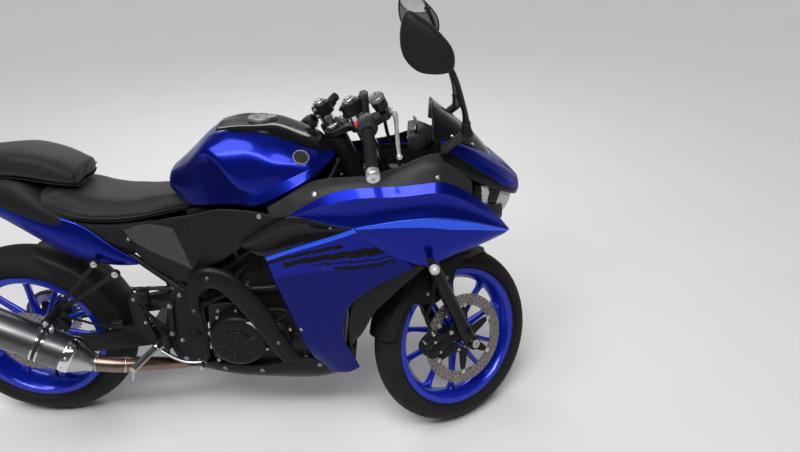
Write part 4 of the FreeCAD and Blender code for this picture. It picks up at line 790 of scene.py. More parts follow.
class FlankOperator(bpy.types.Operator):
    """Lower flank with its slanted stripes, the duct panel behind the wheel and the mid panel."""
    bl_idname = "motorcycle.flank"
    bl_label = "Flank"

    def execute(self, context):
        rows = [
            [(813, 186, 690), (880, 195, 719), (950, 202, 746), (1016, 208, 771), (1068, 212, 793)],
            [(822, 184, 652), (905, 197, 690), (985, 205, 716), (1050, 209, 738), (1108, 206, 756)],
            [(829, 182, 618), (930, 197, 655), (1020, 204, 675), (1100, 206, 690),
             (1169, 202, 708)],
            [(840, 180, 580), (945, 195, 608), (1040, 202, 626), (1130, 202, 648),
             (1212, 197, 687)],
            [(852, 177, 543), (950, 191, 560), (1040, 198, 574), (1110, 197, 600),
             (1240, 193, 664)],
            [(869, 173, 492), (930, 185, 503), (985, 191, 511), (1030, 192, 522), (1066, 189, 551)],
            [(893, 171, 425), (935, 178, 428), (970, 179, 432), (1000, 181, 436), (1027, 178, 446)],
            [(918, 163, 351), (950, 167, 350), (980, 167, 352), (1008, 168, 357), (1034, 164, 372)],
            [(942, 141, 288), (972, 148, 284), (1003, 151, 285), (1030, 151, 294),
             (1056, 148, 314)],
            [(955, 137, 266), (985, 141, 257), (1015, 143, 254), (1042, 142, 257),
             (1070, 139, 272)],
        ]
        p = net(rows, 10, 12, bu=(4,))
        mesh = facing(sheet(p), (0, 1, 0))
        n, m = p.shape[0] - 1, p.shape[1] - 1
        u, v = (g.ravel() for g in np.meshgrid((np.arange(n) + 0.5) / 10, (np.arange(m) + 0.5) / m,
                                               indexing="ij"))
        slant = u - 0.55 * v
        # The top strip of the flank, under the crease, gets the brighter blue as a painted
        # highlight; a pale decal strip runs there as well.
        crease_highlight = u < 0.32
        # start and end of each slanted band, and where along the panel it begins and ends
        bands = ((0.32, 0.62, 0.0, 0.7), (0.86, 1.3, 0.12, 1.0), (1.5, 1.62, 0.3, 1.0),
                 (1.82, 2.05, 0.45, 0.95))
        dark = np.zeros(len(u), bool)
        for a, b, lo, hi in bands:
            dark |= (slant > a) & (slant < b) & (v > lo) & (v < hi) & ~crease_highlight
        # deep: the lower flank past the last slanted band gets the darker blue as painted shade,
        # where the one blue paint falls into shade.
        deep = slant > 2.05
        flanks("flank", mesh, "blue", ["lower_fairings"],
               zones=[(look("deep"), deep & ~crease_highlight & ~dark), (look("stripe"), crease_highlight),
                      (look("decal"), dark)])
        self.duct()
        self.middle()
        return {"FINISHED"}

    def duct(self):
        """Black panel between the flank and the front wheel."""
        rows = [
            [(1258, 188, 669), (1262, 188, 667), (1268, 186, 664)],
            [(1214, 187, 656), (1208, 186, 632), (1198, 182, 592)],
            [(1150, 187, 612), (1152, 187, 582), (1154, 180, 542)],
            [(1100, 186, 586), (1110, 188, 550), (1122, 178, 504)],
            [(1062, 184, 550), (1076, 186, 510), (1096, 174, 452)],
            [(1046, 178, 480), (1058, 180, 452), (1074, 168, 410)],
            [(1040, 168, 405), (1046, 170, 390), (1052, 160, 372)],
            [(1046, 156, 345), (1054, 156, 335), (1062, 148, 322)],
        ]
        flanks("duct", skin(rows, 7, 6), "satin_black", [])

    def middle(self):
        """Hollow gloss panel whose two ridges run together at the crease."""
        rows = [
            [(740, 184, 728), (746, 185, 725), (750, 183, 722), (757, 185, 718), (764, 184, 714)],
            [(798, 193, 770), (804, 195, 756), (810, 187, 734), (817, 191, 708), (822, 186, 690)],
            [(852, 199, 806), (859, 200, 789), (867, 188, 757), (873, 195, 728), (876, 190, 712)],
            [(898, 200, 824), (907, 202, 803), (919, 190, 770), (927, 199, 745), (930, 196, 734)],
            [(960, 203, 812), (966, 205, 800), (973, 194, 778), (981, 202, 760), (984, 200, 754)],
            [(1016, 208, 800), (1018, 208, 795), (1021, 203, 785), (1028, 207, 775),
             (1030, 206, 772)],
            [(1062, 211, 797), (1063, 211, 797), (1064, 210, 796), (1067, 210, 794),
             (1068, 210, 793)],
        ]
        flanks("middle", skin(rows, 8, 6, bv=(1, 3)), "gloss_black", ["mid_panels"])


class InnerPanelOperator(bpy.types.Operator):
    """Satin panels behind the upper cowl, with a rolled top edge."""
    bl_idname = "motorcycle.inner_panels"
    bl_label = "Inner Panels"

    def execute(self, context):
        rows = [
            [(838, 184, 812), (834, 180, 820), (830, 174, 828), (826, 166, 836)],
            [(893, 195, 824), (890, 186, 842), (886, 176, 856), (880, 164, 868)],
            [(952, 194, 860), (950, 182, 878), (946, 166, 892), (940, 150, 902)],
            [(1003, 192, 884), (1003, 178, 899), (1004, 162, 910), (1005, 150, 917)],
            [(1080, 193, 898), (1083, 181, 910), (1087, 169, 919), (1091, 159, 926)],
            [(1150, 193, 904), (1157, 179, 920), (1166, 162, 934), (1174, 150, 943)],
            [(1219, 190, 908), (1224, 176, 930), (1230, 160, 952), (1234, 142, 966)],
            [(1299, 179, 913), (1299, 166, 938), (1299, 150, 962), (1299, 128, 980)],
            [(1345, 166, 898), (1348, 152, 920), (1352, 132, 944), (1356, 108, 968)],
            [(1392, 150, 866), (1392, 136, 886), (1390, 118, 906), (1386, 98, 926)],
        ]
        flanks("inner", skin(rows, 7, 7, way=(0, 1, 1)), "panel_grey",
               ["inner_panels"], wall=3.0)
        return {"FINISHED"}


class NoseOperator(bpy.types.Operator):
    """Nose over the lamps, the two lamps, their block and the dark lip beneath."""
    bl_idname = "motorcycle.nose"
    bl_label = "Nose"

    def execute(self, context):
        rows = [
            [(1302, 108, 1009), (1303, 118, 1006), (1304, 125, 1002), (1305, 130, 997)],
            [(1345, 94, 1001), (1348, 112, 996), (1350, 122, 984), (1352, 128, 970)],
            [(1400, 66, 976), (1402, 92, 969), (1403, 108, 950), (1402, 115, 930)],
            [(1450, 40, 942), (1452, 70, 933), (1454, 90, 911), (1452, 95, 893)],
            [(1500, 16, 904), (1502, 42, 896), (1504, 66, 872), (1502, 70, 856)],
            [(1538, 2, 868), (1539, 16, 862), (1540, 28, 848), (1539, 30, 836)],
        ]
        shell = skin(rows, 8, 6, bv=(1, 2))
        flanks("nose", shell, "blue", ["nose_cowl"])
        bridge = [[(1404, y, 974 - abs(y) * 0.05) for y in (-66, -33, 0, 33, 66)],
                  [(1452, y, 940 - abs(y) * 0.05) for y in (-40, -20, 0, 20, 40)],
                  [(1502, y, 904) for y in (-16, -8, 0, 8, 16)],
                  [(1538, y, 868) for y in (-3, -1.5, 0, 1.5, 3)]]
        add("nose_bridge", skin(bridge, 6, 4, way=(0, 0, 1)), BIKE, look("blue"), "chassis",
            wall=3, inner=look("plastic"))
        lip = [[(1306, 127, 996), (1307, 143, 972), (1308, 149, 944)],
               [(1353, 126, 972), (1354, 136, 950), (1352, 140, 924)],
               [(1403, 113, 933), (1405, 120, 914), (1404, 122, 894)],
               [(1452, 94, 896), (1454, 99, 881), (1452, 99, 866)],
               [(1502, 69, 860), (1503, 71, 850), (1500, 70, 841)],
               [(1536, 32, 841), (1536, 34, 832), (1532, 33, 822)],
               [(1544, 4, 838), (1544, 4, 828), (1541, 4, 816)]]
        flanks("nose_lip", skin(lip, 7, 5), "gloss_black", [], wall=4)
        self.lamps()
        return {"FINISHED"}

    def lamps(self):
        block_ = [(1388, [(0, 808), (88, 806), (108, 848), (104, 892), (62, 920), (0, 924)]),
                  (1436, [(0, 782), (78, 782), (90, 826), (84, 864), (42, 888), (0, 892)]),
                  (1484, [(0, 772), (56, 776), (64, 816), (56, 850), (26, 864), (0, 866)])]
        add("lamp_block", hull(block_, 6, 5, bv=(1,)), BIKE, look("gloss_black"), "chassis",
            replaces=["headlights"])
        eye = [[(1402, 114, 882), (1400, 118, 868), (1398, 121, 852), (1394, 119, 838)],
               [(1436, 98, 872), (1432, 104, 852), (1428, 108, 832), (1420, 106, 812)],
               [(1478, 74, 860), (1472, 80, 836), (1464, 84, 812), (1454, 82, 788)],
               [(1520, 40, 846), (1515, 46, 824), (1508, 50, 800), (1496, 48, 774)]]
        grid = net(eye, 10, 8)
        n, m = grid.shape[0] - 1, grid.shape[1] - 1
        u, v = (g.ravel() for g in np.meshgrid(np.arange(n) / 10, np.arange(m) / m, indexing="ij"))
        dark = (u < 0.5 + v * 0.5) | ((u > 1.15 + v * 0.25) & (u < 2.1))
        flanks("lamp_eye", facing(sheet(grid), (1, 1, 0)), "lens", [], wall=2.5,
               zones=[(look("gloss_black"), dark)])
        shade = [[(1440, 104, 822), (1442, 108, 806), (1450, 106, 790)],
                 [(1468, 88, 812), (1470, 92, 794), (1476, 90, 772)],
                 [(1488, 70, 806), (1490, 74, 784), (1490, 72, 762)]]
        flanks("lamp_trim", skin(shade, 5, 5, way=(1, 1, 0)), "panel_grey", [],
               wall=3)
        for side in (-1, 1):
            cup = lathe([(-18, 4), (-12, 16), (0, 25), (2, 27), (0, 28.5), (-14, 18)],
                        (1452, side * 56, 832), (1, side * 0.35, -0.05), n=32, closed=True)
            bulb = lathe([(-14, 3), (-6, 8), (2, 9), (7, 6), (9, 2)], (1452, side * 56, 832),
                         (1, side * 0.35, -0.05), n=20)
            tag = "left" if side > 0 else "right"
            add("lamp_cup_" + tag, outward(cup), BIKE, look("chrome"), "chassis")
            add("lamp_bulb_" + tag, outward(bulb), BIKE, look("lamp"), "chassis")


class TankOperator(bpy.types.Operator):
    """Fuel tank with hollows for the rider's knees, painted darker there as shade, a belt facet
    that faces up to the light, its raised cover and the filler cap.
    """
    bl_idname = "motorcycle.tank"
    bl_label = "Fuel Tank"

    def execute(self, context):
        # from the bottom's middle: under edge, lower edge, facet, crease, side, shoulder, seam, top
        sections = [
            (540, [(0, 846), (60, 846), (84, 860), (86, 874), (80, 888), (66, 899), (50, 905),
                   (30, 908),
                   (0, 910)]),
            (605, [(0, 820), (90, 818), (118, 826), (117, 868), (106, 912), (98, 934), (82, 952),
                   (46, 964), (0, 968)]),
            (655, [(0, 817), (104, 815), (135, 832), (127, 884), (116, 958), (120, 974), (106, 994),
                   (62, 1008), (0, 1012)]),
            (700, [(0, 815), (110, 814), (142, 836), (131, 876), (121, 926), (139, 944), (126, 988),
                   (78, 1026), (0, 1030)]),
            (740, [(0, 812), (112, 812), (149, 840), (140, 858), (134, 882), (151, 898), (137, 972),
                   (80, 1028), (0, 1033)]),
            (775, [(0, 811), (114, 811), (156, 838), (153, 852), (147, 867), (153, 888), (138, 968),
                   (80, 1026), (0, 1034)]),
            (840, [(0, 818), (120, 820), (168, 860), (160, 876), (150, 891), (148, 920), (134, 963),
                   (80, 1015), (0, 1030)]),
            (900, [(0, 838), (118, 848), (167, 892), (158, 905), (148, 918), (143, 938), (124, 966),
                   (78, 994), (0, 1010)]),
            (950, [(0, 872), (90, 880), (148, 917), (140, 926), (131, 935), (123, 947), (104, 963),
                   (74, 976), (0, 990)]),
            (980, [(0, 900), (60, 908), (104, 930), (99, 936), (94, 941), (88, 947), (76, 955),
                   (58, 961), (0, 972)]),
            (1002, [(0, 926), (40, 932), (66, 942), (64, 945), (60, 948), (54, 951), (46, 954),
                    (34, 956), (0, 960)]),
        ]
        tank = hull(sections, 8, 7, bv=(2, 4, 7), blunt=7)
        # Painted shade: the darker blue on the hollows under the rider's knees.
        knee_shade = self.knee_shade(normals(tank)[1])
        add("tank", tank, BIKE, look("blue"), "chassis", replaces=["fuel_tank"],
            angle=32, zones=[(look("deep"), knee_shade)])
        cover = [
            (682, [(0, 1008), (66, 1008), (70, 1016), (58, 1026), (38, 1030), (0, 1033)]),
            (735, [(0, 1018), (80, 1022), (82, 1030), (68, 1037), (44, 1038), (0, 1038)]),
            (790, [(0, 1018), (80, 1020), (82, 1027), (68, 1036), (44, 1038), (0, 1038)]),
            (840, [(0, 1008), (80, 1010), (82, 1018), (68, 1030), (44, 1037), (0, 1038)]),
            (900, [(0, 990), (78, 990), (80, 998), (66, 1010), (42, 1017), (0, 1019)]),
            (950, [(0, 968), (74, 971), (76, 979), (60, 990), (36, 996), (0, 999)]),
            (982, [(0, 950), (56, 956), (57, 963), (44, 971), (26, 977), (0, 980)]),
            (1004, [(0, 946), (32, 951), (33, 956), (26, 961), (14, 964), (0, 966)]),
        ]
        add("tank_cover", hull(cover, 9, 5, bv=(1, 2), blunt=4), BIKE, look("gloss_black"),
            "chassis", replaces=["tank_cover"], angle=40)
        self.badges(tank)
        self.cap()
        return {"FINISHED"}

    def knee_shade(self, mid):
        """Faces below the crease that falls from the tank's rear shoulder to its waist: the hollows
        for the rider's knees, given the darker blue as painted shade.
        """
        line = np.interp(mid[:, 0], (600, 655, 700, 740, 775), (990, 960, 930, 886, 868))
        return (mid[:, 0] < 772) & (mid[:, 2] < line) & (np.abs(mid[:, 1]) > 60)

    def badges(self, tank):
        """Blank round discs where a badge sits, with a turned rim."""
        for side in (-1, 1):
            at, way = seat_on(tank, (926, side * 122, 966))
            rim = lathe([(-4, 20), (-4, 23), (1.6, 23), (2.6, 22), (2.6, 20.6), (1.4, 20)], at, way,
                        n=48, closed=True)
            disc = lathe([(-4, 20.5), (1.0, 20.5), (1.4, 17), (0.8, 16), (1.6, 10), (1.0, 9),
                          (1.8, 3),
                          (1.8, 1)], at, way, n=40)
            tag = "left" if side > 0 else "right"
            add("badge_rim_" + tag, rim, BIKE, look("silver"), "chassis")
            add("badge_" + tag, disc, BIKE, look("panel_grey"), "chassis")

    def cap(self):
        """Turned ring with six screws, a raised centre and the flap over its key."""
        base = 1038.3
        ring = lathe([(0, 36), (6.5, 36), (8.6, 34.6), (9, 32.5), (9, 28), (7.6, 26.5), (7.2, 24),
                      (8.6, 22.5), (9, 20), (9, 2)], (796, 0, base), (0, 0, 1), n=56)
        screws = [bolt((796 + 30 * math.cos(a), 30 * math.sin(a), base + 8.0), (0, 0, 1), 2.6, 1.6)
                  for a in np.arange(6) * math.pi / 3 + 0.5]
        flap = lathe([(0, 9), (2.2, 9), (3, 7.6), (3.1, 2)], (788, 0, base + 8.8), (0, 0, 1), n=24)
        hinge = join(block(814, 838, -9, 9, base + 3, base + 8.8),
                     lathe([(-9, 5.6), (-8, 6), (8, 6), (9, 5.6)], (838, 0, base + 5), (0, 1, 0),
                           n=20))
        add("cap", join(outward(ring), outward(flap), *map(outward, screws)), BIKE,
            look("cast_grey"),
            "fuel_cap", replaces=["fuel_cap"])
        add("cap_hinge", hinge, BIKE, look("cast_grey"), "fuel_cap", bevel=0.8)


class TailOperator(bpy.types.Operator):
    """Side bands, the closed tail, its lamp and the side covers."""
    bl_idname = "motorcycle.tail"
    bl_label = "Tail"

    def execute(self, context):
        band = [
            [(422, 129, 634), (422, 131, 640), (420, 128, 647)],
            [(355, 124, 630), (350, 131, 662), (345, 124, 700)],
            [(245, 118, 650), (250, 129, 702), (262, 118, 764)],
            [(164, 112, 690), (172, 122, 736), (182, 110, 786)],
            [(35, 96, 768), (46, 106, 800), (60, 96, 832)],
            [(-110, 82, 832), (-108, 88, 857), (-106, 80, 880)],
            [(-255, 56, 868), (-259, 60, 884), (-262, 54, 900)],
        ]
        flanks("tail_band", skin(band, 9, 8), "blue", ["tail_cowl"], wall=5)
        core = [
            (-248, [(0, 868), (30, 869), (43, 878), (43, 892), (30, 901), (0, 903)]),
            (-40, [(0, 798), (70, 801), (83, 816), (83, 878), (66, 893), (0, 897)]),
            (100, [(0, 740), (84, 743), (101, 760), (101, 848), (76, 878), (0, 884)]),
            (190, [(0, 700), (90, 703), (107, 722), (107, 798), (82, 811), (0, 816)]),
            (260, [(0, 675), (92, 677), (109, 696), (109, 763), (94, 774), (0, 778)]),
            (400, [(0, 651), (92, 653), (107, 665), (107, 748), (92, 764), (0, 766)]),
            (468, [(0, 659), (84, 661), (99, 670), (99, 751), (82, 767), (0, 768)]),
        ]
        add("tail_core", hull(core, 6, 5, bv=(1, 4)), BIKE, look("plastic"), "chassis",
            replaces=["tail_core"])
        lamp = [(-274, [(0, 874), (24, 876), (32, 884), (24, 894), (0, 897)]),
                (-262, [(0, 872), (32, 874), (38, 884), (32, 896), (0, 899)]),
                (-248, [(0, 872), (34, 874), (40, 884), (34, 897), (0, 900)])]
        add("tail_lamp", hull(lamp, 5, 6, blunt=2), BIKE, look("red"), "chassis",
            replaces=["tail_light"])
        self.covers()
        return {"FINISHED"}

    def covers(self):
        """Side cover: a grained facet that tips upward, a crease, smooth facets below and ahead."""
        rows = [
            [(384, 114, 744), (392, 117, 742), (404, 122, 722), (398, 116, 712)],
            [(426, 116, 761), (428, 119, 756), (446, 134, 697), (426, 122, 662)],
            [(482, 118, 772), (484, 121, 763), (520, 146, 665), (480, 128, 612)],
            [(538, 121, 783), (541, 125, 752), (592, 156, 634), (534, 132, 579)],
            [(580, 125, 792), (588, 138, 742), (612, 160, 664), (580, 140, 585)],
            [(618, 132, 802), (622, 148, 750), (636, 162, 694), (614, 150, 626)],
            [(672, 146, 820), (672, 158, 766), (672, 164, 716), (662, 158, 657)],
            [(740, 164, 828), (734, 172, 787), (728, 172, 748), (718, 168, 694)],
            [(806, 181, 827), (796, 182, 800), (786, 179, 776), (776, 176, 736)],
            [(886, 189, 806), (872, 188, 798), (858, 186, 790), (844, 184, 780)],
        ]
        p = net(rows, 9, 9, bu=(3,), bv=(1, 2))
        mesh = facing(sheet(p), (0, 1, 0))
        row, column = np.divmod(np.arange(len(mesh[1])), p.shape[1] - 1)
        flanks("side_cover", mesh, "plastic", ["side_covers"], wall=4, angle=20,
               zones=[(look("grained"), (row < 27) & (column >= 9) & (column < 18))])


# ------------------------------------------------------------------ wheels
SPROCKET_R, SPROCKET_X, SPROCKET_Z = 89.5, 640.0, 395.0
CHAIN_BACK_R, CHAIN_FORE_R = 94.5, 39.3


def tyre_profile(radius, half, bead, n):
    """Outside of a tyre from bead to bead as (y, radius): wall, shoulder and the round crown."""
    crown = half + 2
    centre = radius - crown
    tip = math.asin(half / crown)
    a = np.linspace(-tip, tip, n)
    top = np.stack([crown * np.sin(a), centre + crown * np.cos(a)], -1)
    shoulder = top[-1]
    wall = curve([(bead, 213), (bead + 3.5, 226), (bead + 4, 234), (half - 1.5, shoulder[1] - 14),
                  (shoulder[0], shoulder[1])], 3)[:-1]
    return np.concatenate([wall * [-1, 1], top, wall[::-1]])


def tread(angle, y, half, grooves, width):
    """Depth from 0 to 1 of slanted, bent cuts repeated round the tyre, mirrored and staggered."""
    pitch = 2 * np.pi / grooves
    cut = np.zeros(np.broadcast(angle, y).shape)
    for side, shift in ((1, 0.0), (-1, 0.5)):
        # share of the half width where the cut starts and ends, lean round the tyre, share of pitch
        for lo, hi, lean, start in ((0.08, 0.62, 1.15, 0.0), (0.5, 0.93, -0.7, 0.42)):
            t = np.clip((side * y / half - lo) / (hi - lo), 0, 1)
            inside = (side * y / half > lo) & (side * y / half < hi)
            line = (start + shift + lean * (t - 0.35 * t ** 2)) * pitch
            off = (angle - line + pitch / 2) % pitch - pitch / 2
            reach = width * np.sqrt(np.clip(4 * t * (1 - t), 0.0, 1)) / 2
            cut = np.maximum(cut, inside * np.clip((reach - np.abs(off) * 300) / 1.2 + 0.5, 0, 1))
    return cut


def tyre_mesh(radius, half, bead, grooves, setting):
    profile = tyre_profile(radius, half, bead, 57)
    t = np.linspace(0, 2 * np.pi, 720, endpoint=False)
    y, r = profile[None, :, 0], profile[None, :, 1]
    shown = r > radius - half * 0.95
    depth = tread(t[:, None], y, half, grooves, setting.groove_width) * setting.groove * shown
    r = r - depth
    ring = np.abs((profile[:, 1] - 226.0)) < 1.0
    r = r - ring[None, :] * 0.8
    p = np.stack([r * np.cos(t)[:, None], np.broadcast_to(y, r.shape), r * np.sin(t)[:, None]], -1)
    inner = [[212.0, bead - 6], [212.0, 6 - bead]]
    closing = np.stack([np.stack([q * np.cos(t), np.full(720, w), q * np.sin(t)], -1)
                        for q, w in inner], 1)
    return outward(sheet(np.concatenate([p, closing], 1), wrap_v=True, wrap_u=True))


def rim_mesh(bead, hub, axle):
    """Barrel with a well, a hub, and ten spokes that spread into the barrel."""
    flange = bead + 5
    outer = [(-flange, 229), (-flange + 1.5, 231), (-bead - 1.5, 231), (-bead, 228),
             (-bead + 1, 214),
             (-bead + 9, 211.5), (-bead + 20, 203), (0, 199), (bead - 20, 203), (bead - 9, 211.5),
             (bead - 1, 214), (bead, 228), (bead + 1.5, 231), (flange - 1.5, 231), (flange, 229)]
    inner = [(flange - 1, 212), (flange - 7, 206), (flange - 16, 202), (12, 193), (0, 192.5),
             (-12, 193), (16 - flange, 202), (7 - flange, 206), (1 - flange, 212)]
    barrel = lathe(outer + inner, (0, 0, 0), (0, 1, 0), n=144, closed=True)
    low, high = hub
    body = [(low, axle), (low, 27), (low + 3, 30), (low + 14, 33), (low + 22, 40), (high - 22, 40),
            (high - 14, 33), (high - 3, 30), (high, 27), (high, axle)]
    centre = lathe(body, (0, 0, 0), (0, 1, 0), n=64, closed=True)
    # along the spoke: radius, half width, half depth, and where it lies across the wheel
    table = np.array([(34, 17, 21, 0), (52, 12.5, 18, 0), (90, 9.5, 14.5, 1), (130, 8, 12.5, 1),
                      (166, 7.6, 12, 0), (184, 10, 14, 0), (194, 17, 17, 0), (199, 24, 19, 0)],
                      float)
    t = weights(chords(table[:, :1]), 4) @ table
    spokes = []
    ring = oval((0, 0), 1, 1, 16, power=3.2)
    for i in range(10):
        a = math.radians(10 + 36 * i)
        fan = (1 if i % 2 else -1) * 0.05
        turn = a + fan * (t[:, 0] - 34) / 165
        out = np.stack([np.cos(turn), 0 * turn, -np.sin(turn)], -1)
        across = np.stack([np.sin(turn), 0 * turn, np.cos(turn)], -1)
        p = t[:, None, :1] * out[:, None] + t[:, None, 1:2] * ring[None, :, :1] * across[:, None]
        p = p + (t[:, None, 2:3] * ring[None, :, 1:] + t[:, None, 3:]) * np.array([0, 1, 0])
        spokes.append(outward(sheet(p, wrap_v=True, caps=True)))
    return join(outward(barrel), outward(centre), *spokes)


def pierced_band(r_in, r_out, y0, y1, count, rows, hole):
    """Flat ring of cells with a round hole each, staggered by half a cell from row to row."""
    edge = np.linspace(0, 2 * np.pi, 8, endpoint=False) + np.pi / 4
    square = np.array([(1, 1), (0, 1), (-1, 1), (-1, 0), (-1, -1), (0, -1), (1, -1), (1, 0)]) / 2
    pitch = 2 * np.pi / count
    tall = (r_out - r_in) / rows
    i, j = (g.ravel() for g in np.meshgrid(np.arange(count), np.arange(rows), indexing="ij"))
    turn = (i + 0.5 * (j % 2)) * pitch
    mid = r_in + (j + 0.5) * tall
    angle = turn[:, None] + square[None, :, 0] * pitch
    radius = mid[:, None] + square[None, :, 1] * tall
    ha = turn[:, None] + hole * np.cos(edge)[None] / mid[:, None]
    hr = mid[:, None] + hole * np.sin(edge)[None]
    loops = []
    for y, (a, r) in ((y1, (angle, radius)), (y1, (ha, hr)), (y0, (ha, hr)), (y0, (angle, radius))):
        loops.append(np.stack([r * np.cos(a), np.full(a.shape, y), -r * np.sin(a)], -1))
    p = np.stack(loops, 1)
    cells = len(i)
    ids = np.arange(cells * 32).reshape(cells, 4, 8)
    a, b = ids[:, :3], ids[:, 1:]
    quads = np.stack([a, b, np.roll(b, -1, 2), np.roll(a, -1, 2)], -1).reshape(-1, 4)
    mesh = p.reshape(-1, 3), quads.tolist()
    rims = []
    t = np.linspace(0, 2 * np.pi, count * 2, endpoint=False)
    for r, way in ((r_out, 1), (r_in, -1)):
        wall = np.stack([np.stack([r * np.cos(t), np.full(len(t), y), -r * np.sin(t)], -1)
                         for y in (y0, y1)], 1)
        grid = sheet(wall, wrap_u=True)
        rims.append(grid if way < 0 else turned(grid))
    return join(mesh, *rims)


def carrier(r_in, r_hub, r_out, y0, y1, arms, width):
    """Ring whose outer edge runs out into arms: radius from a smooth wave round the axle."""
    t = np.linspace(0, 2 * np.pi, 240, endpoint=False)
    wave = (0.5 + 0.5 * np.cos(arms * t)) ** width
    outer = r_hub + (r_out - r_hub) * wave
    loops = [(outer - 1, y1), (outer, y1 - 1), (outer, y0 + 1), (outer - 1, y0),
             (np.full(240, r_in), y0), (np.full(240, r_in), y1)]
    p = np.stack([np.stack([r * np.cos(t), np.full(240, y), r * np.sin(t)], -1) for r, y in loops],
                 1)
    return outward(sheet(p, wrap_v=True, wrap_u=True))


def buttons(count, radius, y, side, r=7.5, start=0.0):
    """Floating rivets round a disc."""
    profile = [(-1, r), (2.2, r), (3.2, r - 1.2), (3.4, r - 3), (2.0, r - 3.6), (1.8, 1.5)]
    return join(*(lathe(profile, (radius * math.cos(a), y, -radius * math.sin(a)),
                                (0, side, 0), n=20)
                  for a in start + np.arange(count) * 2 * np.pi / count))


class TyresOperator(bpy.types.Operator):
    """Tyres with cut tread, a rim line on the wall and a valve."""
    bl_idname = "motorcycle.tyres"
    bl_label = "Tyres"

    def execute(self, context):
        setting = context.scene.motorcycle_wheels
        front = tyre_mesh(293.0, 55.0, 36.0, 20, setting)
        rear = tyre_mesh(314.0, 70.0, 52.0, 18, setting)
        add("tyre_front", front, FRONT_WHEEL, look("tyre"), "front_wheel",
            replaces=["front_tyre"], angle=50)
        add("tyre_rear", rear, REAR_WHEEL, look("tyre"), "rear_wheel",
            replaces=["rear_tyre"], angle=50)
        for name, space, body in (("front", FRONT_WHEEL, "front_wheel"),
                                  ("rear", REAR_WHEEL, "rear_wheel")):
            stem = lathe([(0, 5), (6, 4.2), (20, 3.6), (22, 4.4), (30, 4.4), (32, 3)],
                         (0, 0, -193), (0, 0.2, 1), n=14)
            add("valve_" + name, outward(stem), space, look("rubber"), body)
        return {"FINISHED"}


class RimsOperator(bpy.types.Operator):
    """Cast wheels with ten thin spokes."""
    bl_idname = "motorcycle.rims"
    bl_label = "Rims"

    def execute(self, context):
        add("rim_front", rim_mesh(36.0, (-59.0, 55.0), 10.05), FRONT_WHEEL, look("rim"),
            "front_wheel", replaces=["front_rim"])
        add("rim_rear", rim_mesh(52.0, (-66.0, 66.0), 10.05), REAR_WHEEL, look("rim"),
            "rear_wheel", replaces=["rear_rim"])
        return {"FINISHED"}


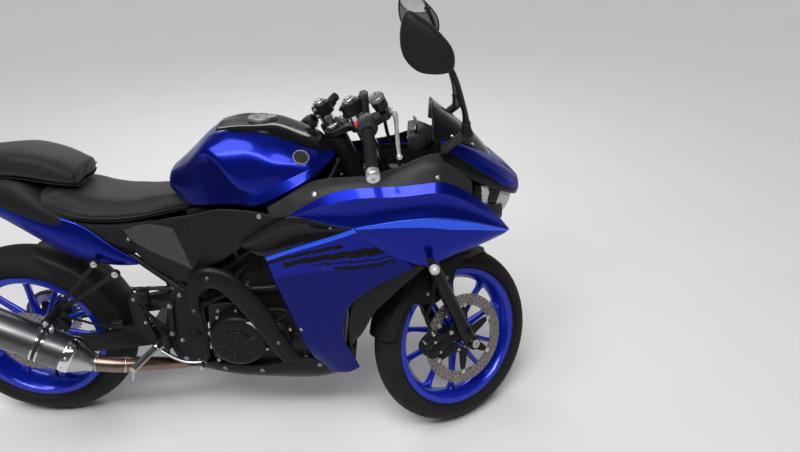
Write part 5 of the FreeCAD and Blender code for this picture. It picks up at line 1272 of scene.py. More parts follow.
class DiscsOperator(bpy.types.Operator):
    """Drilled brake discs on carriers with rivets, the sprocket and the chain's links."""
    bl_idname = "motorcycle.discs"
    bl_label = "Discs and Chain"

    def execute(self, context):
        vent = context.scene.motorcycle_wheels.vent
        for name, space, body, y, r, inner, count, arms, node in (
                ("front", FRONT_WHEEL, "front_wheel", -63.5, 149.0, 112.0, 48, 6,
                 "front_brake_disc"),
                ("rear", REAR_WHEEL, "rear_wheel", -70.5, 110.0, 76.0, 36, 5, "rear_brake_disc")):
            band = pierced_band(inner, r, y + 0.3, y + 4.2, count, 3, vent)
            add("disc_" + name, band, space, look("disc"), body, replaces=[node])
            plate = carrier(30.0, 50.0, inner + 3, y + 0.8, y + 3.8, arms, 3.0)
            add("disc_carrier_" + name, plate, space, look("satin_black"), body,
                bevel=0.4)
            rivets = join(buttons(arms, inner + 1, y + 1, -1),
                          buttons(arms, 40, y + 1, -1, r=5.5, start=math.pi / arms))
            add("disc_rivets_" + name, rivets, space, look("silver"), body)
        self.sprocket()
        self.chain()
        return {"FINISHED"}

    def sprocket(self):
        """Tooth line: radius rises and falls 43 times round the sprocket."""
        t = np.linspace(0, 2 * np.pi, 43 * 12, endpoint=False)
        r = SPROCKET_R + 4.0 * np.clip(np.cos(43 * t) * 1.3, -1, 1)
        y0, y1 = 80.0, 86.0
        loops = [(r, y1 - 0.8), (r - 1.2, y1), (np.full(len(t), 60.0), y1),
                 (np.full(len(t), 60.0), y0),
                 (r - 1.2, y0), (r, y0 + 0.8)]
        p = np.stack([np.stack([q * np.cos(t), np.full(len(t), y), q * np.sin(t)], -1)
                      for q, y in loops], 1)
        ring = outward(sheet(p, wrap_v=True, wrap_u=True))
        add("sprocket", ring, REAR_WHEEL, look("steel"), "rear_wheel",
            replaces=["rear_sprocket"])
        hub = join(carrier(16.0, 50.0, 66.0, 78.5, 85.0, 6, 1.2),
                   lathe([(65, 16), (65, 50), (74, 52), (79, 50), (79, 16)], (0, 0, 0),
                                 (0, 1, 0), n=60, closed=True),
                   buttons(6, 55, 85, 1, r=6))
        add("sprocket_hub", hub, REAR_WHEEL, look("cast_black"), "rear_wheel")

    def chain(self):
        """Side plates shaped like a figure of eight and their rollers, set along a closed belt."""
        back, fore = np.array([0.0, 314.0]), np.array([SPROCKET_X, SPROCKET_Z])
        r_back, r_fore = CHAIN_BACK_R, CHAIN_FORE_R
        along = fore - back
        tilt = math.acos((r_back - r_fore) / np.linalg.norm(along))
        base = math.atan2(along[1], along[0])
        a = np.linspace(base + tilt, base + 2 * np.pi - tilt, 60)
        b = np.linspace(base - tilt, base + tilt, 24)
        ring = np.concatenate([back + r_back * np.stack([np.cos(a), np.sin(a)], -1),
                               fore + r_fore * np.stack([np.cos(b), np.sin(b)], -1)])
        ring = np.concatenate([ring, ring[:1]])
        s = np.concatenate([[0], np.cumsum(np.linalg.norm(np.diff(ring, axis=0), axis=1))])
        count = int(s[-1] / 15.9) // 2 * 2
        at = np.linspace(0, s[-1], count, endpoint=False)
        pins = np.stack([np.interp(at, s, ring[:, k]) for k in (0, 1)], -1)
        step = np.roll(pins, -1, 0) - pins
        turn = np.arctan2(step[:, 1], step[:, 0])
        size = float(np.linalg.norm(step, axis=1).mean())
        t = np.linspace(0, 2 * np.pi, 16, endpoint=False)
        plate = np.stack([size / 2 + (size / 2 + 6.6) * np.cos(t),
                          (4.6 + 2.2 * np.abs(np.cos(t)) ** 2) * np.sign(np.sin(t))
                          * np.abs(np.sin(t)) ** 0.6], -1)
        parts = []
        for y0, y1, first in ((76.4, 78.2, 0), (87.8, 89.6, 0), (78.4, 80.0, 1), (86.0, 87.6, 1)):
            pick = np.arange(first, count, 2)
            c, sn = np.cos(turn[pick])[:, None], np.sin(turn[pick])[:, None]
            x = pins[pick, :1] + plate[None, :, 0] * c - plate[None, :, 1] * sn
            z = pins[pick, 1:] + plate[None, :, 0] * sn + plate[None, :, 1] * c
            v = np.stack([np.stack([x, np.full(x.shape, y), z], -1) for y in (y0, y1)], 1)
            k = len(pick)
            ids = np.arange(k * 32).reshape(k, 2, 16)
            sides = np.stack([ids[:, 0], ids[:, 1], np.roll(ids[:, 1], -1, 1),
                              np.roll(ids[:, 0], -1, 1)], -1).reshape(-1, 4).tolist()
            caps = ids[:, 0].tolist() + ids[:, 1, ::-1].tolist()
            parts.append(outward((v.reshape(-1, 3), sides + caps)))
        rollers = [lathe([(77, 1.5), (77, 3.2), (79, 4.2), (87, 4.2), (89, 3.2), (89, 1.5)],
                                 (p[0], 0, p[1]), (0, 1, 0), n=8) for p in pins]
        add("chain", join(*parts, *rollers), BIKE, look("chain"), "chassis",
            replaces=["chain"], angle=30)




# ------------------------------------------------------------------ front end
FORK_HALF = 95.0
CROWN = (993.0 - 293.0 + OFFSET * math.sin(RAKE)) / math.cos(RAKE)
SLIDER_TOP = CROWN - 360
FORK_TOP = CROWN + 95
FENDER_R = 301.0


def deck(outline, z0, z1):
    """Flat plate: plan outline of (x, y) points between two heights."""
    o = np.asarray(outline, float) * [1, -1]
    return outward(aim(slab(o, z0, z1), (0, 0, 0), (1, 0, 0), (0, 0, 1)))


class ForkOperator(bpy.types.Operator):
    """Sliders and legs turned from radius against height, with cast feet, bosses and top caps."""
    bl_idname = "motorcycle.fork"
    bl_label = "Fork"

    def execute(self, context):
        top = SLIDER_TOP
        foot = (OFFSET, FORK_HALF, 0)
        slider = lathe([(-8, 15), (-7, 20), (-3, 23.6), (3, 25), (50, 25), (57, 23.2), (64, 22.6),
                        (228, 22.6), (236, 23.8), (top - 44, 24), (top - 30, 24.6), (top - 25, 26),
                        (top - 22, 28), (top - 7, 28), (top - 4, 27.2), (top - 1, 25.4),
                        (top, 24.8), (top, 20.6)], foot, (0, 0, 1), n=56)
        y0, y1 = FORK_HALF - 26, FORK_HALF + 26
        eye = lathe([(y0, 12), (y0, 20.5), (y0 + 2, 22), (y1 - 2, 22), (y1, 20.5), (y1, 12)],
                    (OFFSET, 0, 0), (0, 1, 0), n=40)
        web = slab(oval((OFFSET - 8, 52), 17, 46, 24, 2.6), FORK_HALF - 9, FORK_HALF + 9)
        bosses = [lathe([(60, 9), (60, 11), (76, 13)], (OFFSET, 0, z), (0, 1, 0), n=20)
                  for z in (188, 245)]
        legs = both(join(slider, eye, web, *bosses))
        add("fork_sliders", legs, FORK, look("gloss_black"), "steering",
            replaces=["fork_legs"], angle=30, bevel=0.6)
        stanchion = lathe([(top - 4, 18), (top - 4, 20.4), (FORK_TOP - 9, 20.4),
                           (FORK_TOP - 8, 17)],
                          (OFFSET, FORK_HALF, 0), (0, 0, 1), n=48)
        add("fork_stanchions", both(stanchion), FORK, look("chrome"), "steering")
        cap = join(lathe([(FORK_TOP - 12, 12), (FORK_TOP - 12, 20.6), (FORK_TOP - 7, 20.6),
                          (FORK_TOP - 5, 19), (FORK_TOP - 4, 12)],
                         (OFFSET, FORK_HALF, 0), (0, 0, 1), n=40),
                   lathe([(FORK_TOP - 6, 12.5), (FORK_TOP - 1, 12.5), (FORK_TOP, 11.5)],
                         (OFFSET, FORK_HALF, 0), (0, 0, 1), n=6))
        rear_bolts = [hex_bolt((OFFSET - 22, FORK_HALF, z), (-1, 0, 0), r=5, h=5) for z in (-1, 18)]
        plug = lathe([(116, 5), (116, 12), (119, 13), (123, 12), (124, 10)], (OFFSET, 0, 0),
                     (0, 1, 0), n=6)
        add("fork_caps", both(join(cap, plug, *rear_bolts)), FORK, look("steel"), "steering",
            bevel=0.3)
        return {"FINISHED"}


class ClampOperator(bpy.types.Operator):
    """Two waisted yokes with round leg clamps, pinch bolts, stem nut and key barrel."""
    bl_idname = "motorcycle.clamps"
    bl_label = "Clamps"

    def execute(self, context):
        parts, bolts = [], []
        for z0, z1 in ((CROWN - 230, CROWN - 200), (CROWN, CROWN + 22)):
            half = curve([(-26, 0), (-20, 30), (OFFSET - 26, 66), (OFFSET - 22, 100),
                          (OFFSET - 4, 122),
                          (OFFSET + 18, 112), (OFFSET + 17, 76), (OFFSET + 4, 44),
                          (OFFSET + 10, 0)], 5)
            outline = np.concatenate([half, half[-2:0:-1] * [1, -1]])
            parts.append(deck(outline, z0 + 3, z1 - 3))
            for side in (-1, 1):
                at = (OFFSET, side * FORK_HALF, 0)
                parts.append(lathe([(z0, 21), (z0, 28), (z0 + 2, 30), (z1 - 2, 30), (z1, 28),
                                    (z1, 21)],
                                   at, (0, 0, 1), n=40, closed=True))
                bolts.append(hex_bolt((OFFSET + 27, side * (FORK_HALF - 18), (z0 + z1) / 2),
                                      (0, side, 0), r=5, h=5))
        stem = [lathe([(CROWN - 230, 9), (CROWN - 230, 22), (CROWN - 196, 22), (CROWN - 192, 13),
                       (CROWN + 2, 13), (CROWN + 2, 20), (CROWN + 24, 20), (CROWN + 25, 9)],
                      (0, 0, 0), (0, 0, 1), n=36)]
        key = lathe([(CROWN + 16, 10), (CROWN + 16, 17), (CROWN + 34, 17), (CROWN + 37, 15),
                     (CROWN + 37, 7), (CROWN + 35, 6)], (OFFSET + 4, 0, 0), (0, 0, 1), n=32)
        add("yokes", join(*parts, *stem), FORK, look("cast_black"), "steering",
            replaces=["triple_clamps"], bevel=1.2)
        nut = lathe([(CROWN + 22, 17), (CROWN + 29, 17), (CROWN + 30, 15), (CROWN + 30, 9),
                     (CROWN + 26, 8)], (0, 0, 0), (0, 0, 1), n=6)
        add("yoke_bolts", join(nut, key, *bolts), FORK, look("steel"), "steering",
            bevel=0.3)
        return {"FINISHED"}


class FenderOperator(bpy.types.Operator):
    """Blade over the tyre: each angle has a width and a skirt, longest beside the fork leg."""
    bl_idname = "motorcycle.fender"
    bl_label = "Front Fender"

    def execute(self, context):
        rows = []
        for a in np.linspace(37, 143, 17):
            t = math.radians(a)
            beak = max(0.0, (60 - a) / 23) ** 1.4
            tail = max(0.0, (a - 118) / 25) ** 1.6
            lobe = math.exp(-((a - 91) / 21) ** 4)
            wide = 1 - 0.68 * beak - 0.1 * tail
            edge = FENDER_R - 36 - 90 * lobe + 30 * beak
            half = [(66 * wide, edge), (66 * wide, (edge + FENDER_R - 14) / 2),
                    (62 * wide, FENDER_R - 12),
                    (36 * wide, FENDER_R + 1), (0, FENDER_R + 6)]
            line = [(y, r) for y, r in half] + [(-y, r) for y, r in half[-2::-1]]
            rows.append([(OFFSET + r * math.cos(t), y, r * math.sin(t)) for y, r in line])
        blade = skin(rows, 5, 5, way=(0, 0, 1))
        add("fender_blade", blade, FORK, look("plastic"), "steering",
            replaces=["front_fender"], wall=3, bevel=0.8, angle=50)
        bolts = [bolt((OFFSET + dx, y * 67, 222), (0, y, 0), 5, 3) for dx in (-42,
                                                                              40) for y in (-1, 1)]
        brace = sweep([(OFFSET - 6, -64, 292), (OFFSET - 6, -30, 307), (OFFSET - 6, 0, 310),
                       (OFFSET - 6, 30, 307), (OFFSET - 6, 64, 292)], 3.2, n=10, flat=2.4)
        add("fender_bolts", join(*bolts), FORK, look("steel"), "steering")
        add("fender_brace", brace, FORK, look("satin_black"), "steering")
        return {"FINISHED"}


class CaliperOperator(bpy.types.Operator):
    """Two-piston caliper: side plates, bridge past the disc's edge, cups, pins, hose union."""
    bl_idname = "motorcycle.caliper"
    bl_label = "Front Caliper"

    def execute(self, context):
        x = OFFSET
        side = curve([(x - 148, 56), (x - 140, 36), (x - 112, 30), (x - 82, 32), (x - 71, 48),
                      (x - 72, 80), (x - 86, 94), (x - 116, 95), (x - 142, 84)], 4, closed=True)
        outer = slab(side, -86, -68)
        inner = slab(side, -54, -42)
        bridge = slab([(x - 150, 52), (x - 144, 66), (x - 132, 80), (x - 118, 94), (x - 134, 93),
                       (x - 147, 80)], -70, -50)
        cups = [lathe([(-92, 5), (-92, 11), (-90, 15.5), (-84, 17), (-78, 17)], (x + dx, 0, z),
                      (0, 1, 0), n=32) for dx, z in ((-122, 62), (-92, 60))]
        mount = slab(curve([(x - 98, 44), (x - 60, 36), (x - 14, 30), (x + 4, 44), (x - 4, 84),
                            (x - 48, 78), (x - 96, 84)], 4, closed=True), -88, -76)
        ribs = [slab([(x - 142, z), (x - 76, z), (x - 76, z + 4), (x - 142, z + 4)], -90, -84)
                for z in (42, 78)]
        add("caliper_body", join(outer, inner, bridge, *cups, mount, *ribs), FORK,
            look("cast_black"), "steering", replaces=["front_caliper"], bevel=1.4)
        pins = [lathe([(-94, 3), (-94, 4.5), (-90, 5), (-46, 5), (-42, 5), (-42, 3)],
                      (x + dx, 0, z),
                      (0, 1, 0), n=16) for dx, z in ((-107, 82), (-107, 41))]
        bolts = [hex_bolt((x + dx, -89, z), (0, -1, 0), 6.5, 5) for dx, z in ((-42, 70), (-16, 40))]
        banjo = join(lathe([(98, 6), (98, 9), (104, 9), (104, 6)], (x - 95, -77, 0), (0, 0, 1),
                           n=24),
                     lathe([(92, 5), (110, 5), (111, 4)], (x - 95, -77, 0), (0, 0, 1), n=6))
        bleed = lathe([(0, 2), (0, 5), (6, 5), (7, 3), (16, 2.6), (17, 2)], (x - 132, -78, 92),
                      (-0.3, 0, 1), n=6)
        add("caliper_bolts", join(*pins, *bolts, banjo, bleed), FORK, look("steel"), "steering",
            bevel=0.3)
        return {"FINISHED"}




# ------------------------------------------------------------------ handlebars
BAR_ROOT = np.array([85.0, FORK_HALF, CROWN + 72])
BAR_RUN = np.array([-201.0, 255.0, -120.0])
BAR_LENGTH = float(np.linalg.norm(BAR_RUN))


def on_bar(mesh):
    """Carries a piece drawn as (along the bar, forward, up) to the left handlebar."""
    axis = unit(BAR_RUN)
    ahead = unit(np.cross(axis, [0, 0, 1]))
    return outward((BAR_ROOT + mesh[0] @ np.array([axis, ahead, np.cross(ahead, axis)]), mesh[1]))


def pod(a0, a1, sections):
    """Moulded housing round the bar: closed (forward, up) outlines carried from a0 to a1."""
    at = np.linspace(a0, a1, len(sections))
    rows = [[(a, f, u) for f, u in line] for a, line in zip(at, sections)]
    return outward(sheet(net(rows, 5, 4, closed=True), wrap_v=True, caps=True))


def ring_line(front, back, top, low, power=3.2):
    """Rounded box outline of 12 (forward, up) points between four limits."""
    return oval(((front + back) / 2, (top + low) / 2), (front - back) / 2, (top - low) / 2, 12,
                power)


class BarsOperator(bpy.types.Operator):
    """Clip-on bars: turned tube, split clamp round the leg, ribbed grips and turned bar weights."""
    bl_idname = "motorcycle.bars"
    bl_label = "Handlebars"

    def execute(self, context):
        clamp = join(lathe([(FORK_TOP - 50, 21), (FORK_TOP - 50, 28.5), (FORK_TOP - 48, 30.5),
                            (FORK_TOP - 16, 30.5), (FORK_TOP - 14, 28.5), (FORK_TOP - 14, 21)],
                           (OFFSET, FORK_HALF, 0), (0, 0, 1), n=44, closed=True),
                     sweep([(OFFSET + 8, FORK_HALF, FORK_TOP - 32), (68, FORK_HALF, FORK_TOP - 30),
                            (80, FORK_HALF, FORK_TOP - 26)], (17, 15.5, 14.5), n=20))
        tube = on_bar(lathe([(-13, 6), (-13, 11.5), (-11, 13), (34, 13), (37, 11),
                             (BAR_LENGTH - 34, 11)],
                            (0, 0, 0), (1, 0, 0), n=28))
        add("clip_ons", both(join(clamp, tube)), FORK, look("satin_black"), "steering",
            replaces=["clip_on_bars"], bevel=0.8)
        pinch = [hex_bolt((OFFSET - 28, FORK_HALF - 12, FORK_TOP - z), (0, -1, 0), 4.5, 5)
                 for z in (22, 42)]
        add("clip_on_bolts", both(join(*pinch)), FORK, look("steel"), "steering")
        self.grips()
        return {"FINISHED"}

    def grips(self):
        """Radius 16 with shallow ribs: rings along the grip crossed by lengthwise flutes."""
        along = np.linspace(168, 318, 151)
        t = np.linspace(0, 2 * np.pi, 72, endpoint=False)
        ends = np.minimum(along - 168, 318 - along)
        middle = np.clip((ends - 16) / 3, 0, 1)
        rings = 0.9 * np.clip(np.sin(along * 2 * np.pi / 6.0) * 2, -1, 1) * middle
        flute = 0.35 * np.clip(np.cos(18 * t) * 2, -1, 1)
        collar = 1.6 * (np.clip(1 - (along - 168) / 9, 0, 1) > 0) + 1.0 * (318 - along < 8)
        edge = -3.0 * np.clip(1 - ends / 2.0, 0, 1) ** 2
        r = 15.0 + (rings + collar + edge)[:, None] + flute[None] * middle[:, None]
        p = np.stack([np.broadcast_to(along[:, None], r.shape), r * np.cos(t), r * np.sin(t)], -1)
        grip = on_bar(outward(sheet(p, wrap_v=True, caps=True)))
        add("grip_rubbers", both(grip), FORK, look("rubber"), "steering",
            replaces=["grips"], angle=60)
        end = BAR_LENGTH
        weight = on_bar(lathe([(320, 10), (320, 16), (321.5, 17.2), (end - 9, 17.2),
                               (end - 7, 15.8),
                               (end - 5.5, 15.8), (end - 4, 16.8), (end - 1.5, 16.2), (end, 13.5),
                               (end, 5), (end - 3, 4.5)], (0, 0, 0), (1, 0, 0), n=40))
        add("bar_weights", both(weight), FORK, look("silver"), "steering", angle=25)


class ControlsOperator(bpy.types.Operator):
    """Switch housings lofted round the bar, switches, lever perches, reservoir and bent levers."""
    bl_idname = "motorcycle.controls"
    bl_label = "Hand Controls"

    def execute(self, context):
        housing = on_bar(pod(98, 164, [ring_line(14, -16, 15, -17), ring_line(22, -23, 21, -24),
                                       ring_line(25, -24, 23, -25), ring_line(24, -24, 22, -25),
                                       ring_line(17, -20, 18, -20)]))
        split = on_bar(lathe([(97, 13), (97, 15.2), (99, 15.2), (99, 13)], (0, 0, 0), (1, 0, 0),
                             n=28))
        perch = on_bar(self.flat([(104, 12), (106, 40), (108, 58), (118, 65), (130, 60), (134, 38),
                                  (138, 12)], -13, 8))
        add("control_housings", both(join(housing, split)), FORK, look("panel_grey"), "steering",
            replaces=["hand_controls"], angle=50)
        add("lever_perches", both(perch), FORK, look("cast_black"), "steering",
            bevel=1.2)
        self.switches()
        self.reservoir()
        self.levers()
        return {"FINISHED"}

    def flat(self, outline, u0, u1):
        """Plate drawn as (along, forward) points between two heights."""
        return deck(curve(outline, 4, closed=True), u0, u1)

    def switches(self):
        """Raised keys on the inner faces: engine switch and starter right, four left."""
        def key(a0, a1, u0, u1, depth):
            return on_bar(block(a0, a1, -24 - depth, -20, u0, u1))
        right = [mirror(key(118, 138, 6, 17, 5))]
        start = [mirror(key(142, 154, -10, 2, 3))]
        left = [key(112, 126, 8, 17, 4), key(132, 152, 8, 17, 3.5), key(116, 134, -8, 2, 5),
                key(140, 154, -20, -12, 3)]
        add("engine_switch", join(*right), FORK, look("red_switch"), "steering",
            bevel=1.2)
        add("switches", join(*start, *left), FORK, look("plastic"), "steering",
            bevel=1.2)
        screws = [on_bar(bolt((a, -6, -24), (0, 0, -1), 3, 2)) for a in (108, 152)]
        add("control_screws", both(join(*screws)), FORK, look("steel"), "steering")

    def reservoir(self):
        """Turned pot with a sight glass and a capped lid with two screws, on a bent neck."""
        pot = on_bar(lathe([(18, 8), (20, 15), (23, 19), (48, 20), (50, 20)], (118, 54, 0),
                           (0, 0, 1),
                           n=40))
        neck = on_bar(sweep([(118, 46, -2), (118, 50, 12), (118, 54, 24)], 8, n=16))
        lid = on_bar(join(lathe([(50, 12), (50, 20.5), (52, 21), (58, 21), (60.5, 19.5), (62, 16),
                                 (62.5, 8)], (118, 54, 0), (0, 0, 1), n=40),
                          *[lathe([(60, 3), (63.5, 3), (64, 2)], (118 + dx, 54, 0), (0, 0, 1), n=12)
                            for dx in (-11, 11)]))
        window = on_bar(lathe([(17, 6), (20.4, 6), (21, 4.5)], (118, 54, 36), (0, -1, 0), n=24))
        add("reservoir_pot", mirror(join(pot, neck)), FORK, look("gloss_black"), "steering",
            bevel=0.5)
        add("reservoir_lid", mirror(lid), FORK, look("cast_grey"), "steering",
            bevel=0.4)
        add("reservoir_window", mirror(window), FORK, look("lens"), "steering")

    def levers(self):
        """Blade whose line bends twice and whose half height falls from 7 to 4, with a ball end."""
        end = BAR_LENGTH - 42
        line = [(112, 66, -2), (122, 74, -2), (150, 79, -2), (190, 77, -2), (240, 74, -2),
                (end - 14, 72, -2), (end, 72, -2)]
        blade = on_bar(sweep(line, (6, 7.5, 7, 6, 5.4, 4.6, 4.2), n=20, steps=8, flat=0.62))
        ball = on_bar(lathe([(-7.5, 1), (-6.6, 4), (-4, 6.6), (0, 7.8), (4, 6.6), (6.6, 4),
                             (7.5, 1)],
                            (end, 72, -2), (1, 0, 0), n=28))
        eye = on_bar(self.flat([(104, 62), (106, 74), (116, 76), (128, 78), (124, 64)], -8, 5))
        add("lever_blades", both(join(blade, ball, eye)), FORK, look("silver"), "steering",
            replaces=["levers"], bevel=0.8, angle=50)
        pins = on_bar(lathe([(-16, 3), (-16, 5), (-12, 5.5), (8, 5.5), (11, 5), (12, 3)],
                            (112, 66, 0), (0, 0, 1), n=20))
        add("lever_pins", both(pins), FORK, look("steel"), "steering", angle=30)




# ------------------------------------------------------------------ screen, dash, mirrors, signals
class ScreenOperator(bpy.types.Operator):
    """Smoked screen: a spline net between five cross lines, with a beaded rim and its screws."""
    bl_idname = "motorcycle.screen"
    bl_label = "Windscreen"

    def execute(self, context):
        # station, then (y, z) from the middle to the edge
        half = [(1281, [(0, 1094), (34, 1092), (64, 1080), (94, 1050), (112, 1012)]),
                (1325, [(0, 1060), (32, 1058), (58, 1048), (84, 1024), (98, 1003)]),
                (1371, [(0, 1025), (28, 1023), (52, 1015), (72, 1002), (84, 994)]),
                (1412, [(0, 988), (22, 987), (40, 981), (56, 972), (65, 966)]),
                (1450, [(0, 945), (16, 944), (30, 942), (42, 940), (48, 938)])]
        rows = [[(x, -y, z) for y, z in line[:0:-1]] + [(x, y, z) for y, z in line] for x,
                line in half]
        glass = net(rows, 7, 5)
        add("screen", facing(sheet(glass), (0, 0, 1)), BIKE, look("smoke"), "chassis",
            replaces=["windscreen"], wall=3)
        rim = np.concatenate([glass[::-1, 0], glass[0, 1:], glass[1:, -1]])
        add("screen_rim", sweep(rim - [0, 0, 1.5], 2.2, n=10, straight=True), BIKE,
            look("satin_black"), "chassis")
        screws = [bolt((x, side * y, z), (0.4, side * 0.5, 0.8), 4.5, 3)
                  for side in (-1, 1) for x, y, z in ((1335, 86, 1014), (1395, 66, 984))]
        add("screen_screws", join(*screws), BIKE, look("chrome"), "chassis")
        return {"FINISHED"}


class DashOperator(bpy.types.Operator):
    """Instrument: ribbed shell, hood, round dial with bare ticks, needle, blank display."""
    bl_idname = "motorcycle.dash"
    bl_label = "Instrument"

    def execute(self, context):
        shell = [(1219, [(0, 960), (52, 962), (66, 972), (69, 990), (62, 1010), (44, 1019),
                         (0, 1021)]),
                 (1236, [(0, 958), (54, 960), (68, 970), (70, 990), (63, 1012), (45, 1021),
                         (0, 1023)]),
                 (1262, [(0, 962), (48, 964), (60, 974), (62, 992), (56, 1008), (40, 1016),
                         (0, 1018)]),
                 (1288, [(0, 974), (34, 975), (42, 982), (44, 992), (40, 1002), (30, 1007),
                         (0, 1008)])]
        ribs = []
        for x, width in ((1246, 68), (1256, 64), (1266, 60), (1276, 53)):
            line = [(x, y, z) for y, z in oval((0, 991), width, 30 - (x - 1246) * 0.35, 40, 3.4)]
            ribs.append(sweep(line + line[:1], 1.8, n=8, straight=True))
        add("dash_shell", join(hull(shell, 6, 5, blunt=3), *ribs), BIKE, look("panel_grey"),
            "chassis", replaces=["instrument"], angle=45)
        face = self.on_face
        hood = [(34, -66), (38, -40), (39, 0), (38, 40), (34, 66)]
        edge = face(sweep([(u, v, 2) for u, v in hood], 3.5, n=12, flat=1.6))
        plate = face(outward(aim(slab(oval((4, 0), 31, 63, 40, 4.5), -1, 2), (0, 0, 0), (1, 0, 0),
                                 (0, 0, 1))))
        add("dash_plate", join(plate, edge), BIKE, look("gloss_black"), "chassis",
            bevel=0.8)
        ring = face(lathe([(1, 23), (1, 26), (4, 26.5), (5, 25), (4, 23)], (5, 26, 0), (0, 0, 1),
                          n=56,
                          closed=True))
        ticks = []
        for t in np.linspace(-0.75 * np.pi, 0.75 * np.pi, 13):
            way = np.array([math.cos(t), math.sin(t), 0])
            ticks.append(face(sweep([way * 17 + [5, 26, 2.6], way * 21 + [5, 26, 2.6]], 0.7, n=6,
                                    straight=True)))
        needle = face(sweep([(5, 26, 3.2), (-9, 13, 3.2)], (1.4, 0.5), n=8, straight=True))
        add("dash_ring", ring, BIKE, look("silver"), "chassis", angle=30)
        add("dash_ticks", join(*ticks), BIKE, look("pale"), "chassis")
        add("dash_needle", needle, BIKE, look("red_switch"), "chassis")
        glass = face(outward(aim(slab(oval((4, -30), 20, 25, 28, 6), 1, 3.4), (0, 0, 0), (1, 0, 0),
                                 (0, 0, 1))))
        add("dash_display", glass, BIKE, look("screen"), "chassis", bevel=0.6)
        return {"FINISHED"}

    def on_face(self, mesh):
        """A piece drawn as (up the face, left, out of the face) about the face's middle."""
        up = unit((22, 0, 60))
        left = np.array([0, 1.0, 0])
        return outward((np.array([1226.5, 0, 991]) + mesh[0] @ np.array([up, left,
                                                                         np.cross(up, left)]),
                        mesh[1]))


class MirrorOperator(bpy.types.Operator):
    """Domed head from shrinking copies of one rim line, glass, ball joint, stalk, boot."""
    bl_idname = "motorcycle.mirrors"
    bl_label = "Mirrors"

    def execute(self, context):
        rim = curve([(1298, 1226), (1262, 1224), (1236, 1229), (1214, 1244), (1200, 1262),
                     (1191, 1290), (1190, 1320), (1196, 1350), (1207, 1366), (1222, 1361),
                     (1258, 1338), (1290, 1308), (1311, 1280), (1317, 1252), (1313, 1234)], 5,
                    closed=True)
        middle = np.array([1254.0, 1288.0])
        loops = []
        # share of the rim's size and distance from the bike's middle
        for grow, y in ((0.93, 265), (0.955, 262.5), (0.985, 262), (1.0, 266), (1.003, 274),
                        (0.985, 281), (0.93, 287.5), (0.82, 292), (0.64, 295.5), (0.4, 297.5)):
            xz = middle + (rim - middle) * grow
            loops.append(np.stack([xz[:, 0], np.full(len(xz), float(y)), xz[:, 1]], -1))
        shell = outward(sheet(np.array(loops), wrap_v=True, caps=True))
        add("mirror_shells", both(shell), BIKE, look("plastic"), "chassis",
            replaces=["mirrors"], angle=50)
        flat = middle + (rim - middle) * 0.925
        glass = slab(flat, 263.2, 265.5)
        add("mirror_glass", both(glass), BIKE, look("mirror"), "chassis")
        stalk = sweep([(1364, 150, 1070), (1360, 164, 1092), (1350, 192, 1126), (1334, 226, 1174),
                       (1318, 256, 1214), (1304, 270, 1240)], (9.5, 8, 7.2, 7.2, 7.5, 8.5), n=20,
                      steps=7, flat=0.85)
        base = lathe([(-6, 8), (-4, 17), (0, 18), (6, 16), (18, 12.5), (30, 11.5), (34, 12.5),
                      (38, 11.5), (40, 8)], (1369, 140, 1036), (-0.14, 0.27, 0.95), n=32)
        knuckle = lathe([(-11, 3), (-9, 9), (-3, 12), (3, 12), (9, 9), (11, 3)], (1302, 271, 1243),
                        (0, 1, 0), n=24)
        add("mirror_stalks", both(join(stalk, base, knuckle)), BIKE, look("satin_black"), "chassis",
            angle=45)
        return {"FINISHED"}


class SignalOperator(bpy.types.Operator):
    """Turn signals: rubber stem, turned black body and a clear domed lens over an amber bulb."""
    bl_idname = "motorcycle.signals"
    bl_label = "Turn Signals"

    def execute(self, context):
        # root, tip, radius of the tip
        for name, root, tip, r in (("front", (1278, 190, 690), (1290, 262, 686), 15.0),
                                   ("rear", (-331, 56, 747), (-338, 110, 750), 15.0)):
            root, tip = np.array(root, float), np.array(tip, float)
            long = np.linalg.norm(tip - root)
            way = (tip - root) / long
            stem = lathe([(-6, 6), (-6, 9), (6, 9.5), (9, 8), (12, 9.5), (15, 8), (18, 9),
                          (long * 0.42, 10)], root, way, n=28)
            body = lathe([(long * 0.4, 5), (long * 0.4, 10), (long * 0.5, 12.5), (long * 0.68, r),
                          (long * 0.7, r), (long * 0.7, r - 2.5)], root, way, n=36)
            if name == "rear":
                arm = sweep([(-296, 22, 745), (-314, 38, 746), (-331, 56, 747)], (8, 7, 7.5), n=16)
                stem = join(stem, arm)
            lens = lathe([(long * 0.69, r - 1.2), (long * 0.8, r - 0.4), (long * 0.92, r * 0.8),
                          (long * 0.98, r * 0.48), (long, 2)], root, way, n=36)
            bulb = lathe([(long * 0.6, 3), (long * 0.66, 6), (long * 0.76, 6), (long * 0.82, 3)],
                         root, way, n=16)
            add(name + "_signal_bodies", both(join(stem, body)), BIKE, look("rubber"), "chassis",
                replaces=["turn_signals"] if name == "front" else [], angle=40)
            add(name + "_signal_lenses", both(lens), BIKE, look("lens"), "chassis")
            add(name + "_signal_bulbs", both(bulb), BIKE, look("amber"), "chassis")
        return {"FINISHED"}




